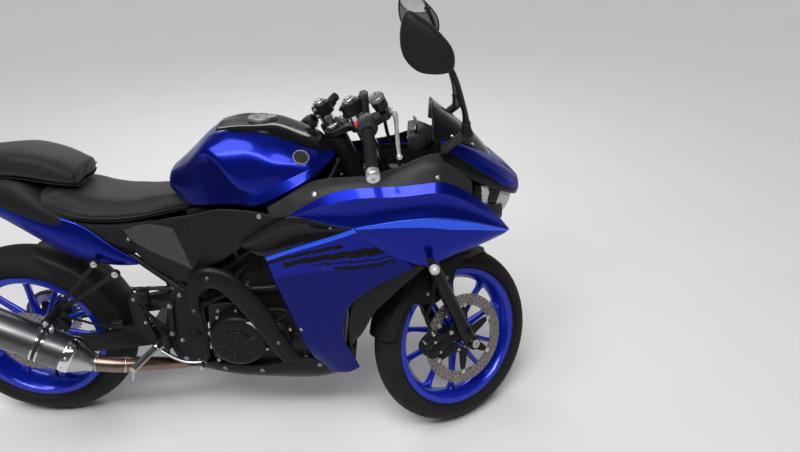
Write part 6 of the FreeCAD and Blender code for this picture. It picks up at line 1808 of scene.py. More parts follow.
# ------------------------------------------------------------------ seats
RIDER_SEAT = [(160, [(0, 790), (80, 796), (104, 806), (113, 828), (97, 850), (50, 862), (0, 864)]),
              (205, [(0, 778), (84, 780), (116, 792), (124, 812), (107, 834), (54, 848), (0, 851)]),
              (260, [(0, 766), (90, 768), (124, 778), (134, 796), (115, 818), (58, 833), (0, 836)]),
              (330, [(0, 760), (88, 762), (121, 770), (131, 785), (113, 804), (58, 818), (0, 821)]),
              (400, [(0, 760), (84, 762), (114, 769), (124, 784), (106, 802), (54, 814), (0, 817)]),
              (460, [(0, 766), (76, 768), (103, 776), (112, 788), (95, 806), (48, 818), (0, 821)]),
              (520, [(0, 776), (66, 778), (87, 785), (95, 796), (82, 814), (42, 825), (0, 828)]),
              (592, [(0, 788), (50, 789), (66, 794), (72, 802), (64, 819), (32, 831), (0, 834)])]
PILLION_SEAT = [(-128, [(0, 902), (30, 903), (40, 908), (44, 916), (38, 927), (20, 935), (0, 936)]),
                (-90, [(0, 897), (44, 898), (58, 904), (63, 915), (54, 931), (28, 942), (0, 943)]),
                (-40, [(0, 894), (56, 895), (73, 901), (79, 914), (68, 936), (34, 949), (0, 951)]),
                (30, [(0, 888), (68, 889), (86, 896), (92, 911), (78, 938), (40, 954), (0, 956)]),
                (100, [(0, 882), (74, 884), (92, 893), (98, 910), (84, 940), (42, 956), (0, 958)]),
                (160, [(0, 872), (74, 874), (92, 883), (97, 900), (82, 930), (42, 946), (0, 948)]),
                (215, [(0, 862), (70, 864), (86, 872), (91, 888), (77, 914), (38, 928), (0, 930)]),
                (258, [(0, 856), (62, 858), (77, 865), (82, 878), (70, 897), (34, 907), (0, 909)])]


def welt(sections, at, radius, steps=10):
    """Cord laid along one line of a seat's sections, round both sides."""
    side = curve([(x, *line[at]) for x, line in sections], steps)
    return both(sweep(side, radius, n=10, straight=True))


def stitches(line, pitch, size):
    """Short raised threads, one each pitch along a line."""
    gap = np.linalg.norm(np.diff(line, axis=0), axis=1)
    s = np.concatenate([[0], np.cumsum(gap)])
    at = np.arange(pitch, s[-1], pitch)
    ends = [np.stack([np.interp(at + off, s, line[:, k]) for k in range(3)], -1)
            for off in (-size * 1.6, size * 1.6)]
    return join(*[sweep([a, (a + b) / 2 + [0, 0, 0.5], b], size, n=6, straight=True)
                  for a, b in zip(*ends)])


class SeatOperator(bpy.types.Operator):
    """Pads filled by a cloth simulation from a smaller hull, then welts, seams, bases."""
    bl_idname = "motorcycle.seats"
    bl_label = "Seats"

    def execute(self, context):
        seats = context.scene.motorcycle_seats
        for name, sections, crease in (("rider_seat", RIDER_SEAT, 3),
                                       ("pillion_seat", PILLION_SEAT, 3)):
            small = [(x, self.shrunk(line, 2.0)) for x, line in sections]
            pad = add(name + "_pad", hull(small, 7, 6, bv=(3,), blunt=5), BIKE, look("vinyl"),
                      "chassis", replaces=[name], angle=60)
            self.fill(context, pad, seats)
            seam = welt(sections, crease, seats.seam)
            add(name + "_welts", seam, BIKE, look("vinyl"), "chassis")
            line = curve([(x, *row[crease + 1]) for x, row in sections], 10)
            add(name + "_stitches", both(stitches(line - [0, 0, 0.4], 7.0, 0.7)), BIKE,
                look("stitch"),
                "chassis")
            base = [(x, [(y * 0.97, z - 1.5) for y, z in row[:3]]) for x, row in sections]
            rows = [[(x, y, z) for y, z in row] for x, row in base]
            pan = skin(rows, 5, 4, way=(0, 0, -1))
            add(name + "_base", both(pan), BIKE, look("plastic"), "chassis",
                wall=2)
        self.strap()
        return {"FINISHED"}

    def shrunk(self, line, inset):
        """A section drawn in towards its middle by a few millimetres."""
        p = np.asarray(line, float)
        middle = np.array([0, (p[0, 1] + p[-1, 1]) / 2])
        way = p - middle
        long = np.linalg.norm(way, axis=1)[:, None]
        return [tuple(q) for q in middle + way * (1 - inset / np.maximum(long, inset * 2))]

    def fill(self, context, pad, seats):
        """Even voxel skin, pumped up as cloth for 20 frames, with each point's travel capped."""
        remesh = pad.modifiers.new("skin", "REMESH")
        remesh.mode = "VOXEL"
        remesh.voxel_size = 0.006
        self.apply(context, pad, remesh)
        rest = np.empty(len(pad.data.vertices) * 3)
        pad.data.vertices.foreach_get("co", rest)
        rest = rest.reshape(-1, 3)
        cloth = pad.modifiers.new("cloth", "CLOTH")
        cloth.settings.use_pressure = True
        cloth.settings.uniform_pressure_force = 4
        cloth.settings.effector_weights.gravity = 0
        cloth.point_cache.frame_end = 20
        for number in range(1, 21):
            context.scene.frame_set(number)
        self.apply(context, pad, cloth)
        context.scene.frame_set(1)
        full = np.empty(len(pad.data.vertices) * 3)
        pad.data.vertices.foreach_get("co", full)
        full = full.reshape(-1, 3)
        step = full - rest
        far = np.linalg.norm(step, axis=1)[:, None]
        cap = seats.swell / 1000
        step *= np.minimum(1, cap / np.maximum(far, 1e-9))
        pad.data.vertices.foreach_set("co", (rest + step).ravel())
        pad.data.polygons.foreach_set("use_smooth", np.ones(len(pad.data.polygons), bool))
        pad.data.update()
        smooth = pad.modifiers.new("subdivision", "SUBSURF")
        smooth.levels = smooth.render_levels = 1

    def apply(self, context, obj, modifier):
        context.view_layer.objects.active = obj
        bpy.ops.object.modifier_apply(modifier=modifier.name)

    def strap(self):
        """Flat grab strap across the pillion pad, a few millimetres outside its section."""
        x, line = PILLION_SEAT[3]
        over = curve([(y, z + 1.5) for y, z in line[3:]] + [(-y, z + 1.5) for y,
                                                            z in line[-2:2:-1]], 6)
        rows = [[(x + dx, y, z + dz) for y, z in over] for dx,
                dz in ((-15, 0), (-14, 2.2), (14, 2.2),
                                                                      (15, 0))]
        add("grab_strap", facing(sheet(np.array(rows)), (0, 0, 1)), BIKE, look("vinyl"), "chassis",
            wall=2)




# ------------------------------------------------------------------ engine and frame fittings
def cover(centre, r, y0, y1, count, start=0.0):
    """Cast cover: turned dome, bolt bosses round its edge. Gives the casting and its bolts."""
    way = 1 if y1 > y0 else -1
    deep = abs(y1 - y0)
    at = (centre[0], y0, centre[1])
    dome = lathe([(-2, r * 0.9), (0, r), (5, r), (6.5, r - 1.5), (deep - 10, r - 5),
                  (deep - 4, r - 9),
                  (deep - 1, r - 16), (deep, r - 22), (deep - 1.5, r * 0.55), (deep - 1.5, 3)], at,
                 (0, way, 0), n=72)
    bosses, bolts = [], []
    for a in start + np.arange(count) * 2 * math.pi / count:
        spot = (centre[0] + (r + 1) * math.cos(a), y0, centre[1] + (r + 1) * math.sin(a))
        bosses.append(lathe([(-1, 9), (12, 8.5), (13.5, 7)], spot, (0, way, 0), n=18))
        head = (spot[0], y0 + way * 13.5, spot[2])
        bolts.append(hex_bolt(head, (0, way, 0), r=4.6, h=4.5))
    return join(dome, *bosses), join(*bolts)


class EngineOperator(bpy.types.Operator):
    """Crankcase and inclined cylinders as bevelled slabs with ribs, cam cover, bolts and hoses."""
    bl_idname = "motorcycle.engine"
    bl_label = "Engine"

    def execute(self, context):
        case = slab([(606, 300), (640, 264), (898, 264), (922, 330), (922, 452), (840, 478),
                     (700, 478),
                     (690, 500), (610, 500), (606, 440)], -126, 126)
        joint = slab([(602, 384), (926, 384), (926, 392), (602, 392)], -128, 128)
        ribs = [slab([(x, 268), (x + 5, 268), (x + 5, 330), (x, 330)], -127.5, 127.5)
                for x in range(700, 900, 24)]
        add("crankcase", join(case, joint, *ribs), BIKE, look("engine"), "chassis",
            replaces=["engine"], bevel=3)
        along = unit((0.34, 0, 0.94))
        barrel = slab([(764, 470), (912, 442), (944, 540), (800, 580)], -108, 108)
        fins = [slab(np.array([(770, 486), (916, 456), (917, 460), (771, 490)])
                     + along[[0, 2]] * 15 * i, -110, 110) for i in range(6)]
        head = slab([(800, 582), (944, 542), (962, 596), (818, 640)], -106, 106)
        cam = slab(curve([(812, 642), (960, 598), (982, 634), (974, 656), (846, 696), (822, 684)],
                         3,
                         closed=True), -100, 100)
        add("cylinders", join(barrel, *fins, head, cam), BIKE, look("engine"), "chassis",
            bevel=2.5)
        bolts = []
        for side in (-1, 1):
            for x, z in ((824, 668), (866, 656), (908, 644), (952, 632), (816, 604), (944, 566)):
                bolts.append(hex_bolt((x, side * 100, z), (0, side, 0), r=5.5, h=5))
            for x, z in ((640, 470), (900, 440), (900, 300), (660, 284)):
                bolts.append(hex_bolt((x, side * 126, z), (0, side, 0), r=6, h=6))
        add("engine_bolts", join(*bolts), BIKE, look("screw"), "chassis")
        hoses = [sweep([(930, -60, 520), (975, -84, 516), (1015, -92, 540), (1052, -96, 560)], 15,
                       n=20),
                 sweep([(926, 92, 420), (968, 104, 410), (1012, 104, 408), (1048, 100, 412)], 14,
                       n=20),
                 sweep([(700, -108, 480), (690, -116, 540), (716, -112, 600), (760, -96, 640)], 9,
                       n=16)]
        clips = [lathe([(-4, 15), (-4, 16.6), (4, 16.6), (4, 15)], at, way, n=28)
                 for at, way in (((940, -66, 518), (1, -0.4, 0)),
                                 ((1040, -95, 556), (1, -0.1, 0.6)),
                                 ((940, 96, 417), (1, 0.3, -0.2)), ((1036, 101, 410), (1, 0, 0)))]
        add("hoses", join(*hoses), BIKE, look("rubber"), "chassis")
        add("hose_clips", join(*clips), BIKE, look("steel"), "chassis", angle=30)
        self.covers()
        return {"FINISHED"}

    def covers(self):
        clutch, clutch_bolts = cover((701, 388), 92, -128, -174, 9, 0.2)
        pump, pump_bolts = cover((820, 388), 46, -128, -152, 4, 0.6)
        small, small_bolts = cover((640, 330), 32, -128, -149, 3, 0.1)
        dynamo, dynamo_bolts = cover((780, 375), 82, 128, 170, 8, 0.3)
        boss = lathe([(0, 40), (3, 40), (5, 38), (5, 20), (3, 18), (3, 3)], (701, -172, 388),
                     (0, -1, 0),
                     n=48)
        spokes = []
        for a in np.arange(6) * math.pi / 3 + 0.3:
            way = np.array([math.cos(a), 0, math.sin(a)])
            mid = np.array([701, -172.5, 388])
            spokes.append(sweep([mid + way * 38, mid + way * 58 + [0, 1.5, 0],
                                 mid + way * 80 + [0, 8, 0]],
                                (4.5, 4, 3), n=10))
        lid = lathe([(0, 44), (2, 44), (3.5, 42), (3.5, 4)], (780, 168, 375), (0, 1, 0), n=48)
        final = lathe([(90, 18), (94, 30), (97, 32), (97, 12)], (640, 0, 395), (0, 1, 0), n=40)
        arm = slab(curve([(742, 462), (770, 452), (780, 440), (770, 432), (742, 446), (726, 456)],
                         3,
                         closed=True), -172, -164)
        tower = lathe([(0, 11), (20, 10), (24, 8), (30, 8)], (740, -160, 440), (-0.2, 0, 1), n=20)
        add("covers", join(clutch, pump, small, dynamo, boss, *spokes, lid, final, tower), BIKE,
            look("cast_black"), "chassis", replaces=["engine_covers"], bevel=0.6,
            angle=35)
        filler = join(lathe([(0, 17), (6, 17), (7, 16), (13, 16), (14, 14.5), (14, 3)],
                            (806, -152, 384), (0, -1, 0), n=12),
                      block(800, 812, -170, -165, 377, 391))
        add("oil_filler", filler, BIKE, look("plastic"), "chassis", bevel=1)
        cable = sweep([(776, -168, 442), (840, -160, 470), (880, -146, 540), (870, -120, 640)],
                      3.4, n=10)
        add("clutch_cable", cable, BIKE, look("rubber"), "chassis")
        add("cover_bolts", join(clutch_bolts, pump_bolts, small_bolts, dynamo_bolts, arm), BIKE,
            look("steel"), "chassis", bevel=0.4)


class GuardOperator(bpy.types.Operator):
    """Crowned bands beside the engine: closed sections between two lines."""
    bl_idname = "motorcycle.guards"
    bl_label = "Engine Guards"

    def execute(self, context):
        # outer and inner edge (x, z) along the band
        stations = [((570, 498), (604, 494)), ((566, 556), (606, 548)), ((582, 614), (620, 576)),
                    ((634, 650), (650, 586)), ((700, 634), (676, 572)), ((756, 576), (712, 528)),
                    ((802, 512), (748, 474)), ((836, 434), (784, 410)), ((864, 384), (814, 360)),
                    ((892, 332), (838, 328))]
        rows = []
        for outer, inner in stations:
            crest = np.array(outer) * 0.38 + np.array(inner) * 0.62
            mid = (np.array(outer) + inner) / 2
            rows.append([(outer[0], 170, outer[1]), (outer[0], 174, outer[1]),
                         (crest[0], 189, crest[1]),
                         (inner[0], 182, inner[1]), (inner[0], 176, inner[1]),
                         (mid[0], 172, mid[1])])
        band = outward(sheet(net(rows, 7, 4, bv=(1, 2, 3, 4), closed=True), wrap_v=True, caps=True))
        posts = [lathe([(120, 9), (176, 9), (177, 12), (180, 12)], (826, 0, 395), (0, 1, 0), n=24),
                 lathe([(120, 10), (176, 10), (177, 14), (180, 14)], (586, 0, 510), (0, 1, 0),
                       n=24)]
        add("guards", both(join(band, *posts)), BIKE, look("satin_black"), "chassis",
            replaces=["engine_guards"], angle=40)
        bolts = [bolt((x, 186, z), (0, 1, 0), 6, 4) for x, z in ((829, 398), (588, 512), (640,
                                                                                          622))]
        add("guard_bolts", both(join(*bolts)), BIKE, look("screw"), "chassis")
        return {"FINISHED"}


class BellyOperator(bpy.types.Operator):
    """Belly pan: a spline net under the engine, its lips folded in, with quarter-turn screws."""
    bl_idname = "motorcycle.belly"
    bl_label = "Belly Pan"

    def execute(self, context):
        # station, then (y, z) from the middle to the top edge
        half = [(558, [(0, 229), (68, 228), (104, 240), (118, 262), (122, 275), (116, 277)]),
                (630, [(0, 216), (70, 214), (114, 230), (134, 254), (137, 278), (130, 281)]),
                (700, [(0, 205), (70, 203), (121, 224), (143, 252), (146, 281), (139, 284)]),
                (800, [(0, 200), (70, 198), (122, 220), (145, 252), (149, 286), (142, 289)]),
                (870, [(0, 197), (70, 195), (122, 218), (146, 260), (151, 309), (143, 311)]),
                (960, [(0, 204), (66, 202), (118, 222), (141, 258), (147, 304), (139, 306)]),
                (1050, [(0, 226), (58, 224), (102, 242), (122, 264), (128, 288), (121, 290)])]
        rows = [[(x, -y, z) for y, z in line[:0:-1]] + [(x, y, z) for y, z in line] for x,
                line in half]
        mesh = skin(rows, 9, 6, bv=(1, 9), way=(0, 0, -1))
        add("belly", mesh, BIKE, look("satin_black"), "chassis",
            replaces=["belly_pan"], wall=3.5, angle=40)
        spots = [seat_on(mesh, (x, side * y, z)) for side in (-1, 1)
                 for x, y, z in ((640, 136, 262), (760, 146, 262), (940, 146, 285),
                                 (1020, 134, 270))]
        add("belly_screws", join(*[bolt(at, way, 6, 3) for at, way in spots]), BIKE, look("screw"),
            "chassis")
        return {"FINISHED"}


class CoolingOperator(bpy.types.Operator):
    """Radiator: core of thin folded fins between two side tanks, cap, lugs and lower guard."""
    bl_idname = "motorcycle.radiator"
    bl_label = "Radiator"

    def execute(self, context):
        low, high = np.array([1049, 382.0]), np.array([1069, 600.0])
        up = unit(high - low)
        ahead = np.array([up[1], -up[0]])
        fins = []
        for d in np.arange(6, 214, 5.2):
            mid = low + up * d
            quad = [mid + ahead * a + up * b for a, b in ((-11, -0.9), (11, -0.9), (11, 0.9),
                                                          (-11, 0.9))]
            fins.append(slab(quad, -104, 104))
        back = slab([low - ahead * 10, low + ahead * 10, high + ahead * 10, high - ahead * 10],
                    -103, 103)
        add("radiator_core", join(*fins), BIKE, look("cast_grey"), "chassis")
        tanks = [slab([low - ahead * 13, low + ahead * 13, high + ahead * 13, high - ahead * 13],
                      y0, y1)
                 for y0, y1 in ((-125, -104), (104, 125))]
        rails = [slab([at - ahead * 13 - up * 3, at + ahead * 13 - up * 3, at + ahead * 13 + up * 3,
                       at - ahead * 13 + up * 3], -124, 124) for at in (low + up * 3,
                                                                        high - up * 3)]
        lug = sweep([(1060, 112, 592), (1010, 116, 640), (958, 119, 688)], 8, n=16)
        cap = lathe([(0, 10), (10, 12), (12, 19), (16, 19), (18, 15), (18, 3)],
                    (1066, 90, 600), (0, 0, 1), n=32)
        add("radiator_tanks", join(*tanks, *rails, lug, mirror(lug), cap), BIKE,
            look("satin_black"),
            "chassis", replaces=["radiator"], bevel=2.5)
        add("radiator_back", moved(back, x=-3), BIKE, look("rubber"), "chassis")
        return {"FINISHED"}




# ------------------------------------------------------------------ rear end
ARM_IN, ARM_OUT, PLATE_OUT = 92.0, 116.0, 130.0


class SwingarmOperator(bpy.types.Operator):
    """Box arms with rounded edges, pressed panels, chain adjusters and the pivot's end caps."""
    bl_idname = "motorcycle.swingarm"
    bl_label = "Swingarm"

    def execute(self, context):
        arm = slab([(578, 384), (566, 358), (518, 350), (250, 312), (30, 289), (-44, 290),
                    (-51, 302),
                    (-51, 328), (-44, 339), (38, 341), (250, 372), (498, 418), (562, 408)],
                   ARM_IN + 0.5, ARM_OUT - 0.5)
        panel = slab(curve([(110, 312), (250, 326), (440, 352), (470, 372), (450, 392), (250, 358),
                            (110, 334)], 3, closed=True), ARM_OUT - 1, ARM_OUT + 1.5)
        bridge = slab([(410, 350), (496, 350), (496, 400), (410, 398)], -ARM_IN - 1, ARM_IN + 1)
        sleeve = lathe([(-ARM_IN - 1, 12), (-ARM_IN - 1, 20), (ARM_IN + 1, 20), (ARM_IN + 1, 12)],
                       (558, 0, 382), (0, 1, 0), n=36)
        tie = slab([(490, 362), (546, 362), (546, 392), (490, 392)], -38, 38)
        add("swingarm", join(both(join(arm, panel)), bridge, sleeve, tie), BIKE,
            look("satin_black"),
            "chassis", replaces=["swingarm"], bevel=3.5)
        slots = slab(oval((0, REAR_R), 30, 13, 24, 4), ARM_OUT - 1, ARM_OUT + 3)
        screw = lathe([(-70, 4), (-52, 4), (-52, 7), (-45, 7)], (0, 104, REAR_R), (1, 0, 0), n=6)
        nut = lathe([(3, 17), (9, 17), (10, 15.5), (10, 12), (12, 11)], (0, ARM_OUT, REAR_R),
                    (0, 1, 0), n=6)
        pivot = lathe([(0, 21), (3, 21), (5, 18), (5, 15), (9, 14), (9, 9), (6, 8), (6, 2)],
                      (558, PLATE_OUT, 386), (0, 1, 0), n=40)
        add("adjusters", both(join(slots, screw, nut)), BIKE, look("steel"), "chassis",
            replaces=["axle_bolts"], bevel=0.6, angle=30)
        add("pivot_caps", both(pivot), BIKE, look("engine"), "chassis", bevel=0.5)
        return {"FINISHED"}


class ShockOperator(bpy.types.Operator):
    """Shock absorber: a helix spring between collars, damper body, rod, bumper and both eyes."""
    bl_idname = "motorcycle.shock"
    bl_label = "Rear Shock"

    def execute(self, context):
        low, high = np.array([505.0, 0, 420]), np.array([455.0, 0, 640])
        way = unit(high - low)
        side, other = frame_of(way)
        t = np.linspace(0, 6.5 * 2 * np.pi, 6 * 36)
        centre = low + way * (62 + 112 * t / t[-1])[:, None]
        coil = centre + 28 * (np.cos(t)[:, None] * side + np.sin(t)[:, None] * other)
        add("spring", sweep(coil, 5.4, n=10, straight=True), BIKE, look("spring"), "chassis",
            angle=60)
        body = lathe([(18, 8), (18, 14), (56, 14), (57, 33), (63, 33), (63, 20), (118, 20),
                      (120, 9),
                      (172, 9), (172, 34), (180, 34), (184, 24), (206, 22), (208, 10)], low, way,
                      n=40)
        eyes = [lathe([(-18, 8), (-18, 17), (-16, 18), (16, 18), (18, 17), (18, 8)], at, (0, 1, 0),
                      n=32)
                for at in (low, high)]
        beam = lathe([(-100, 8), (-100, 12), (100, 12), (100, 8)], high, (0, 1, 0), n=24)
        add("damper", join(body, *eyes, beam), BIKE, look("satin_black"), "chassis",
            replaces=["rear_shock"], angle=30, bevel=0.5)
        return {"FINISHED"}


class HuggerOperator(bpy.types.Operator):
    """Rear hugger: a crowned blade turned about the axle, its ends curved, side feet."""
    bl_idname = "motorcycle.hugger"
    bl_label = "Rear Hugger"

    def execute(self, context):
        inner = REAR_R + 9
        rows = []
        for a in np.linspace(14, 80, 12):
            end = max(0.0, (a - 62) / 18) ** 1.7
            edge = inner - 44 + 34 * end
            wide = 1 - 0.3 * end
            half = [(74 * wide, edge), (73 * wide, (edge + inner - 14) / 2),
                    (69 * wide, inner - 12),
                    (40 * wide, inner + 2), (0, inner + 6)]
            line = half + [(-y, r) for y, r in half[-2::-1]]
            t = math.radians(a)
            rows.append([(r * math.cos(t), y, REAR_R + r * math.sin(t)) for y, r in line])
        add("hugger", skin(rows, 6, 5, way=(0, 0, 1)), BIKE, look("plastic"), "chassis",
            replaces=["rear_hugger"], wall=3, angle=50)
        foot = slab([(252, 346), (298, 350), (312, 400), (282, 402)], 71, ARM_IN + 1)
        screw = hex_bolt((276, ARM_IN + 1, 378), (0, 1, 0), 5, 4)
        add("hugger_feet", both(foot), BIKE, look("plastic"), "chassis", bevel=2)
        add("hugger_bolts", both(screw), BIKE, look("screw"), "chassis")
        return {"FINISHED"}


class RearCaliperOperator(bpy.types.Operator):
    """Single-piston rear caliper on its bracket, with a cup, pins and a hose along the arm."""
    bl_idname = "motorcycle.rear_caliper"
    bl_label = "Rear Caliper"

    def execute(self, context):
        side = curve([(54, 378), (82, 352), (112, 348), (136, 390), (124, 412), (84, 426),
                      (60, 402)], 3,
                     closed=True)
        halves = [slab(side, -87, -75.5), slab(side, -64, -53)]
        bridge = slab([(84, 408), (128, 384), (137, 394), (124, 412), (86, 427)], -78, -60)
        cup = lathe([(84, 10), (88, 16), (86, 17), (76, 18)], (96, 0, 386), (0, -1, 0), n=28)
        foot = slab([(62, 336), (104, 336), (112, 372), (76, 384)], -ARM_IN, -78)
        add("rear_caliper", join(*halves, bridge, cup, foot), BIKE, look("cast_black"), "chassis",
            replaces=["rear_caliper"], bevel=1.6)
        pins = [lathe([(52, 4), (90, 4), (91, 3)], (x, 0, z), (0, -1, 0), n=12)
                for x, z in ((70, 398), (118, 368))]
        hose = sweep([(90, -84, 424), (150, -100, 428), (300, -118, 404), (430, -120, 420)], 4,
                     n=12)
        add("rear_caliper_pins", join(*pins), BIKE, look("steel"), "chassis",
            angle=30)
        add("rear_hose", hose, BIKE, look("rubber"), "chassis")
        return {"FINISHED"}


class ExhaustOperator(bpy.types.Operator):
    """Headers and link pipe swept along their bends, raised weld rings and flanges."""
    bl_idname = "motorcycle.exhaust"
    bl_label = "Exhaust"

    def execute(self, context):
        headers = [sweep([(957, y, 558), (992, y, 540), (1006, y, 500), (1008, y, 400),
                          (1004, y, 300),
                          (985, y * 0.85, 252), (930, y * 0.5, 234), (876, y * 0.1, 232)], 17, n=24)
                   for y in (-42, 42)]
        route = [(885, 0, 232), (760, 0, 232), (620, 0, 232), (520, -60, 237), (432, -142, 284),
                 (380, -176, 308), (330, -192, 319), (262, -197, 329)]
        pipe = sweep(route, (20, 20, 20, 20.5, 22, 23.5, 24.5, 25), n=32, steps=10)
        bronze = look("bronze")
        add("link_pipe", join(*headers, pipe), BIKE, bronze, "chassis",
            replaces=["exhaust_pipe"], angle=60)
        line = curve(route, 10)
        rings = []
        for spot, r in (((352, -186, 314), 24), ((268, -197, 328), 25), ((560, -34, 234), 20.3)):
            i = int(np.argmin(np.linalg.norm(line - spot, axis=1)))
            way = unit(line[min(i + 1, len(line) - 1)] - line[i - 1])
            rings.append(lathe([(-3.2, r - 0.5), (-2, r + 0.9), (0, r + 1.5), (2, r + 0.9),
                                (3.2, r - 0.5)], line[i], way, n=40))
        flanges = [lathe([(0, 16), (0, 24), (6, 24), (6, 16)], (952, y, 559), (0.95, 0, -0.3), n=32)
                   for y in (-42, 42)]
        add("weld_rings", join(*rings, *flanges), BIKE, look("steel"), "chassis",
            angle=35)
        return {"FINISHED"}


class MufflerOperator(bpy.types.Operator):
    """Muffler turned about its axis: can, rings, cone, tip, clamp, rivets."""
    bl_idname = "motorcycle.muffler"
    bl_label = "Muffler"

    def execute(self, context):
        rear, front = np.array([-150.0, -212, 545]), np.array([205.0, -200, 357])
        way = unit(front - rear)
        long = float(np.linalg.norm(front - rear))

        def turned_on(profile, n=72):
            return lathe(profile, rear, way, n=n)
        add("can", turned_on([(6, 40), (6, 53.6), (9, 54.4), (long - 26, 54.4), (long - 24, 53)]),
            BIKE,
            look("can"), "chassis", replaces=["muffler"], angle=30)
        ring = turned_on([(long - 26, 50), (long - 26, 55.2), (long - 24, 55.8), (long - 3, 55.8),
                          (long, 54.6), (long + 3, 52.4), (long + 3, 48)])
        clamp = join(turned_on([(long - 112, 54), (long - 112, 56.6), (long - 106, 56.8),
                                (long - 105, 55)]),
                     turned_on([(long - 96, 55), (long - 96, 56.6), (long - 90, 56.8),
                                (long - 89, 54)]))
        add("can_rings", join(ring, clamp), BIKE, look("chrome"), "chassis",
            angle=30)
        band = turned_on([(long - 106, 54), (long - 106, 55.8), (long - 95, 55.8), (long - 95, 54)])
        cap = turned_on([(12, 30), (8, 54.9), (2, 54.6), (-3, 50), (-6, 42), (-6, 33), (-2, 30)])
        add("can_ends", join(band, cap), BIKE, look("satin_black"), "chassis",
            angle=30)
        cone = turned_on([(long + 1, 48), (long + 2, 52), (long + 20, 44.5), (long + 46, 31),
                          (long + 58, 27), (long + 66, 26), (long + 66, 20)])
        add("can_cone", cone, BIKE, look("steel"), "chassis", angle=30)
        tip = turned_on([(40, 24), (-25, 24), (-27, 25.5), (-27, 28.5), (-25, 30), (4, 30),
                         (10, 26),
                         (40, 26)])
        baffle = turned_on([(34, 23.9), (30, 12), (26, 10), (26, 2)])
        add("can_tip", tip, BIKE, look("steel"), "chassis", angle=30)
        add("can_baffle", baffle, BIKE, look("rubber"), "chassis")
        a, b = frame_of(way)
        rivets = []
        for at, r in ((long - 14, 55.4), (20, 54.2)):
            for t in np.arange(10) * math.pi / 5 + 0.2:
                out = a * math.cos(t) + b * math.sin(t)
                rivets.append(lathe([(-1, 4), (0.6, 4), (1.6, 3), (2, 1)],
                                    rear + way * at + out * r,
                                    out, n=12))
        add("can_rivets", join(*rivets), BIKE, look("silver"), "chassis")
        return {"FINISHED"}


class HangerOperator(bpy.types.Operator):
    """Muffler hanger: a narrow pierced strap, its bolts, the clamp's lug and a rubber bush."""
    bl_idname = "motorcycle.hanger"
    bl_label = "Muffler Hanger"

    def execute(self, context):
        struts = [slab(bar(start, end, wide), -150, -142) for start, end, wide in
                  (((300, 644), (150, 486), 13), ((354, 610), (148, 474), 13),
                   ((304, 642), (352, 612), 17), ((158, 480), (140, 470), 22))]
        bosses = [lathe([(138, 7), (138, 13), (150, 13), (151, 12), (151, 7)], (x, 0, z),
                        (0, -1, 0),
                        n=28) for x, z in ((300, 646), (356, 612))]
        add("hanger", join(*struts, *bosses), BIKE, look("satin_black"), "chassis",
            replaces=["muffler_bracket"], bevel=1.4)
        bolts = [hex_bolt((x, -150, z), (0, -1, 0), 8, 6) for x, z in ((300, 646), (356, 612))]
        lug = slab(oval((143, 462), 15, 26, 24, 2.6, 0.35), -196, -160)
        bush = lathe([(138, 8), (138, 14), (200, 14), (202, 12), (202, 6)], (144, 0, 474),
                     (0, -1, 0),
                     n=28)
        head = hex_bolt((144, -202, 474), (0, -1, 0), 7, 5)
        add("hanger_bolts", join(*bolts, head), BIKE, look("silver"), "chassis",
            bevel=0.4)
        add("hanger_lug", lug, BIKE, look("steel"), "chassis", bevel=2)
        add("hanger_bush", bush, BIKE, look("rubber"), "chassis", angle=30)
        return {"FINISHED"}


